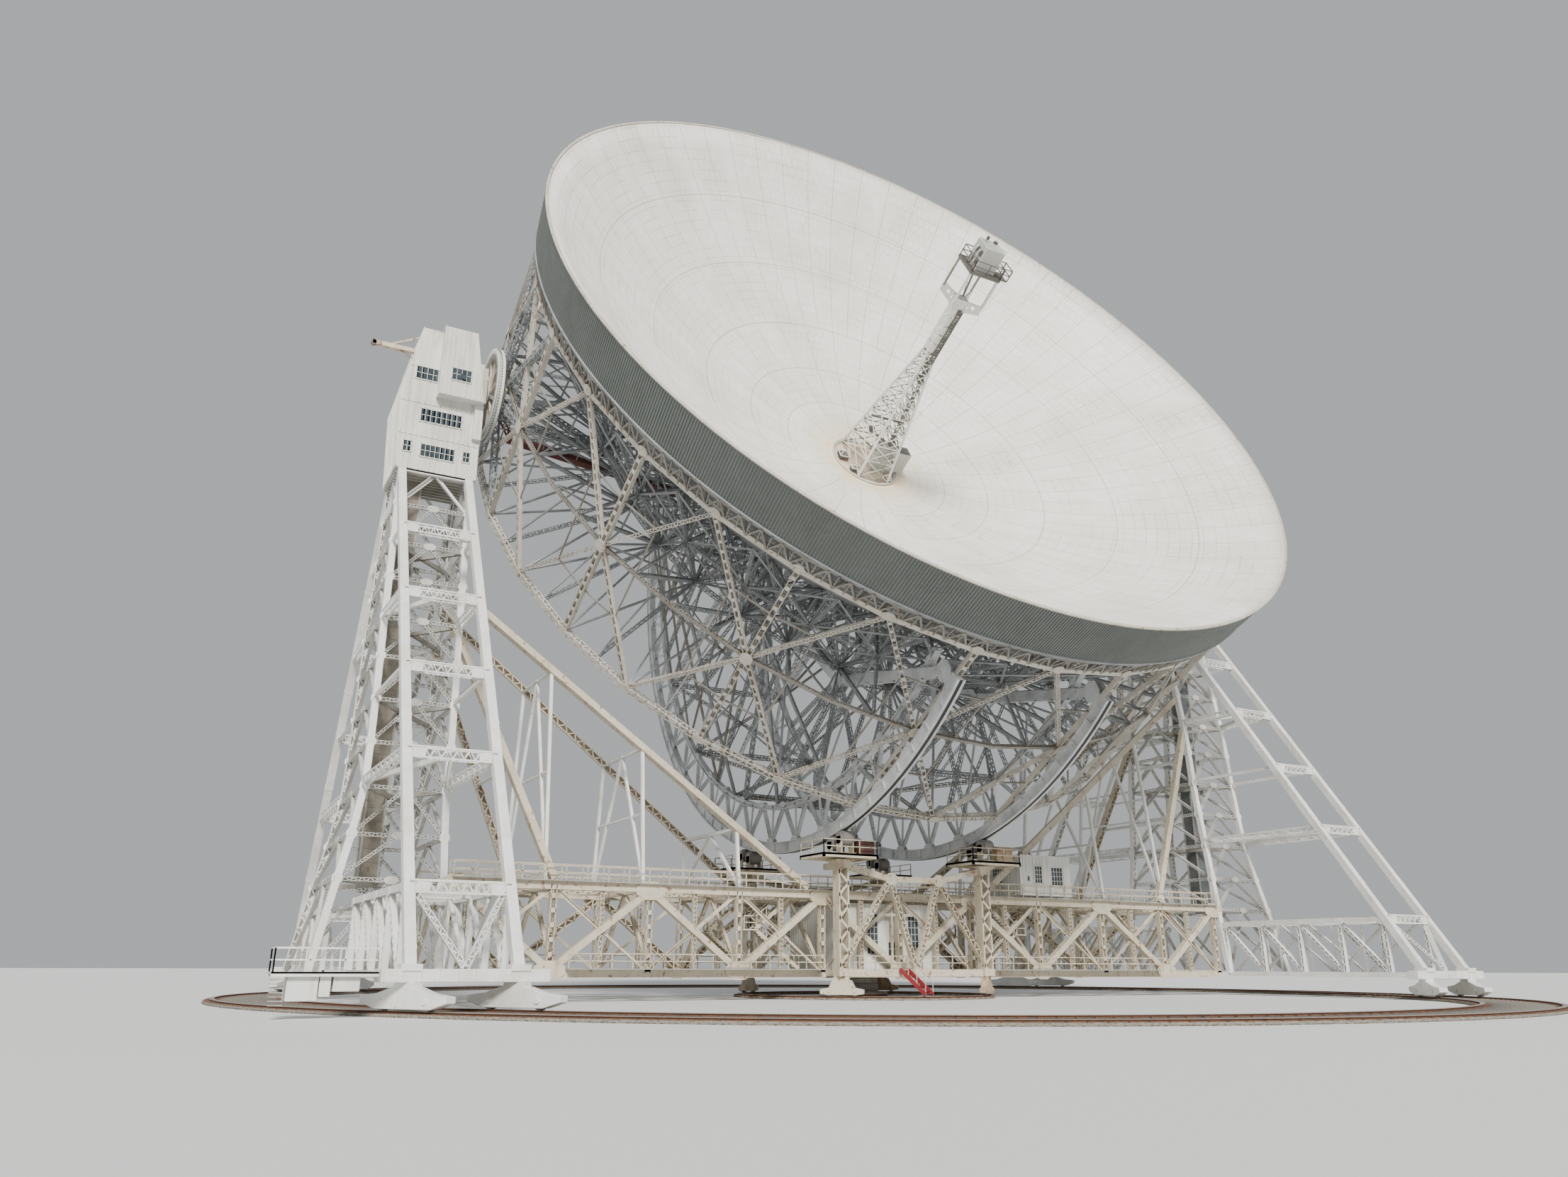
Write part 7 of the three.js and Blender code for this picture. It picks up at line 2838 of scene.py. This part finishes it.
@dataclass
class BraceStruts:
    """The long and the steep pairs of struts from a tower down to the base girder.

    Attributes:
        name: left or right.
        side: -1 left, 1 right.
        long: top and foot of a long strut; x is from the middle, y from the axis's plane.
        steep: the same of a steep strut.
        long_ties: distances from the middle of the ties between the long struts.
        steep_ties: the same between the steep struts.
        deck: height of the base girder's top.
    """

    name: str
    side: int
    long: tuple[Point, Point] = ((39.86, 3.3, 31.0), (9.2, 6.0, 8.55))
    steep: tuple[Point, Point] = ((39.86, 3.8, 27.6), (31.2, 6.0, 8.55))
    long_ties: Point = (31.9, 24.0, 15.6)
    steep_ties: Point = (38.0, 35.0)
    deck: float = 8.5

    def build(self, paints: Paints) -> None:
        """Makes both pairs.

        Args:
            paints: the finishes.
        """
        for kind, pair, ties in (("long", self.long, self.long_ties), ("steep", self.steep, self.steep_ties)):
            work = Steelwork()
            self.pair(work, *pair, ties)
            if pair is self.long:
                self.posts(work)
            name = f"{self.name}_{kind}_strut"
            coats = [paints.tower, paints.base]
            steel_piece(work, f"{name}_steelwork", Place.TURNING, coats, (f"{name}s",))

    def point(self, end: int, top: Point, foot: Point, x: float) -> np.ndarray:
        """Returns the point of one strut at a distance from the middle."""
        p = between(top, foot, (top[0] - x) / (top[0] - foot[0]))
        return np.array((self.side * p[0], end * p[1], p[2]))

    def pair(self, work: Steelwork, top: Point, foot: Point, ties: Sequence[float]) -> None:
        """Adds a front and a back strut and the ties between them.

        Args:
            work: the steelwork to add to.
            top: a strut's top.
            foot: a strut's foot.
            ties: distances of the ties from the middle.
        """
        for end in (-1, 1):
            a, b = self.point(end, top, foot, top[0]), self.point(end, top, foot, foot[0])
            work.member(a, b, 0.55, 0.6, Build.LEG, (0, end, 0.2), 1)
        for x in ties:
            work.member(self.point(-1, top, foot, x), self.point(1, top, foot, x), 0.34, 0.34, Build.ANGLE)

    def posts(self, work: Steelwork) -> None:
        """Adds the posts and the slanting V's that hold the long struts up from the deck.

        Args:
            work: the steelwork to add to.
        """
        half_width = self.long[1][1]
        for i, x in enumerate(self.long_ties):
            front, back = self.point(-1, *self.long, x), self.point(1, *self.long, x)
            middle = (front + back) / 2
            for head, end in ((front, -1), (back, 1)):
                base = np.array((self.side * x, end * half_width, self.deck))
                work.bar(head, base, 0.26)
                work.bar(middle, base, 0.24)
            if i < 2:
                half = (middle[2] + self.deck) / 2
                share = (front[2] - half) / (front[2] - self.deck)
                a = np.array((self.side * x, front[1] * (1 - share) - half_width * share, half))
                b = a * (1, -1, 1)
                work.bar(a, b, 0.18)


# Studio
@dataclass
class Studio:
    """Camera, lights and floor.

    Attributes:
        eye: the camera's place in metres of the model.
        yaw: the camera's turn to the right of straight ahead, in degrees.
        pitch: its tilt up, in degrees.
        roll: its roll, in degrees.
        lens: its focal length for a 36 mm sensor.
    """

    eye: tuple[float, float, float] = (-5.8007, -9.2938, 0.257)
    yaw: float = 28.158
    pitch: float = 18.316
    roll: float = 0.189
    lens: float = 26.236

    def build(self, paints: Paints) -> None:
        """Makes the camera, the lights, the world and the floor.

        Args:
            paints: the finishes.
        """
        self.camera()
        sun = bpy.data.lights.new("soft_sun", "SUN")
        sun.energy = 5.2
        sun.angle = math.radians(14)
        sun.color = (1.0, 0.975, 0.94)
        lamp = bpy.data.objects.new("soft_sun", sun)
        lamp.rotation_euler = Vector((-0.3, -0.85, 0.6)).to_track_quat("Z", "Y").to_euler()
        bpy.context.scene.collection.objects.link(lamp)
        world = bpy.data.worlds.new("pale_room")
        world.use_nodes = True
        background = world.node_tree.nodes["Background"]
        background.inputs["Color"].default_value = linear("#e6e8ea")
        background.inputs["Strength"].default_value = 0.6
        bpy.context.scene.world = world
        bm = bmesh.new()
        bmesh.ops.create_circle(bm, cap_ends=True, segments=64, radius=90)
        mesh = bpy.data.meshes.new("floor")
        bm.to_mesh(mesh)
        bm.free()
        floor = bpy.data.objects.new("floor", mesh)
        mesh.materials.append(paints.floor)
        bpy.context.scene.collection.objects.link(floor)

    def camera(self) -> None:
        """Makes the camera at the photograph's place and angle."""
        yaw, pitch, roll = (math.radians(v) for v in (self.yaw, self.pitch, self.roll))
        forward = Vector((math.sin(yaw) * math.cos(pitch), math.cos(yaw) * math.cos(pitch), math.sin(pitch)))
        right = Vector((math.cos(yaw), -math.sin(yaw), 0))
        up = right.cross(forward)
        turned_right = right * math.cos(roll) + up * math.sin(roll)
        turned_up = turned_right.cross(forward)
        data = bpy.data.cameras.new("camera")
        data.lens = self.lens
        data.sensor_width = 36
        data.clip_end = 500
        obj = bpy.data.objects.new("camera", data)
        turn = Matrix((turned_right, turned_up, -forward)).transposed().to_4x4()
        obj.matrix_world = Matrix.Translation(self.eye) @ turn
        bpy.context.scene.collection.objects.link(obj)
        bpy.context.scene.camera = obj


def main() -> None:
    """Builds the telescope round the frame, piece by piece."""
    logging.basicConfig(level=logging.INFO, format="%(name)s: %(message)s")
    paints = Paints()
    Studio().build(paints)
    Tracks().build(paints)
    for name, side in SIDES:
        Tower(name, side).build(paints)
        HeadHouse(name, side).build(paints)
        BraceStruts(name, side).build(paints)
    CraneJib().build(paints)
    FootPlatform().build(paints)
    for name, end in ENDS:
        BaseGirder(name, end).build(paints)
        Cradle(name, end).build(paints)
    BaseDeck().build(paints)
    Houses().build(paints)
    EntryStair().build(paints)
    BowlSkins().build(paints)
    EdgeDrum().build(paints)
    SpaceFrame().build(paints)
    WheelLinks().build(paints)
    for name, side in SIDES:
        WheelGirder(side).build(name, paints)
        Trunnion(side).build(name, paints)
    AxisWalkway().build(paints)
    Mast().build(paints)
    Feed().build(paints)


if __name__ == "__main__":
    main()
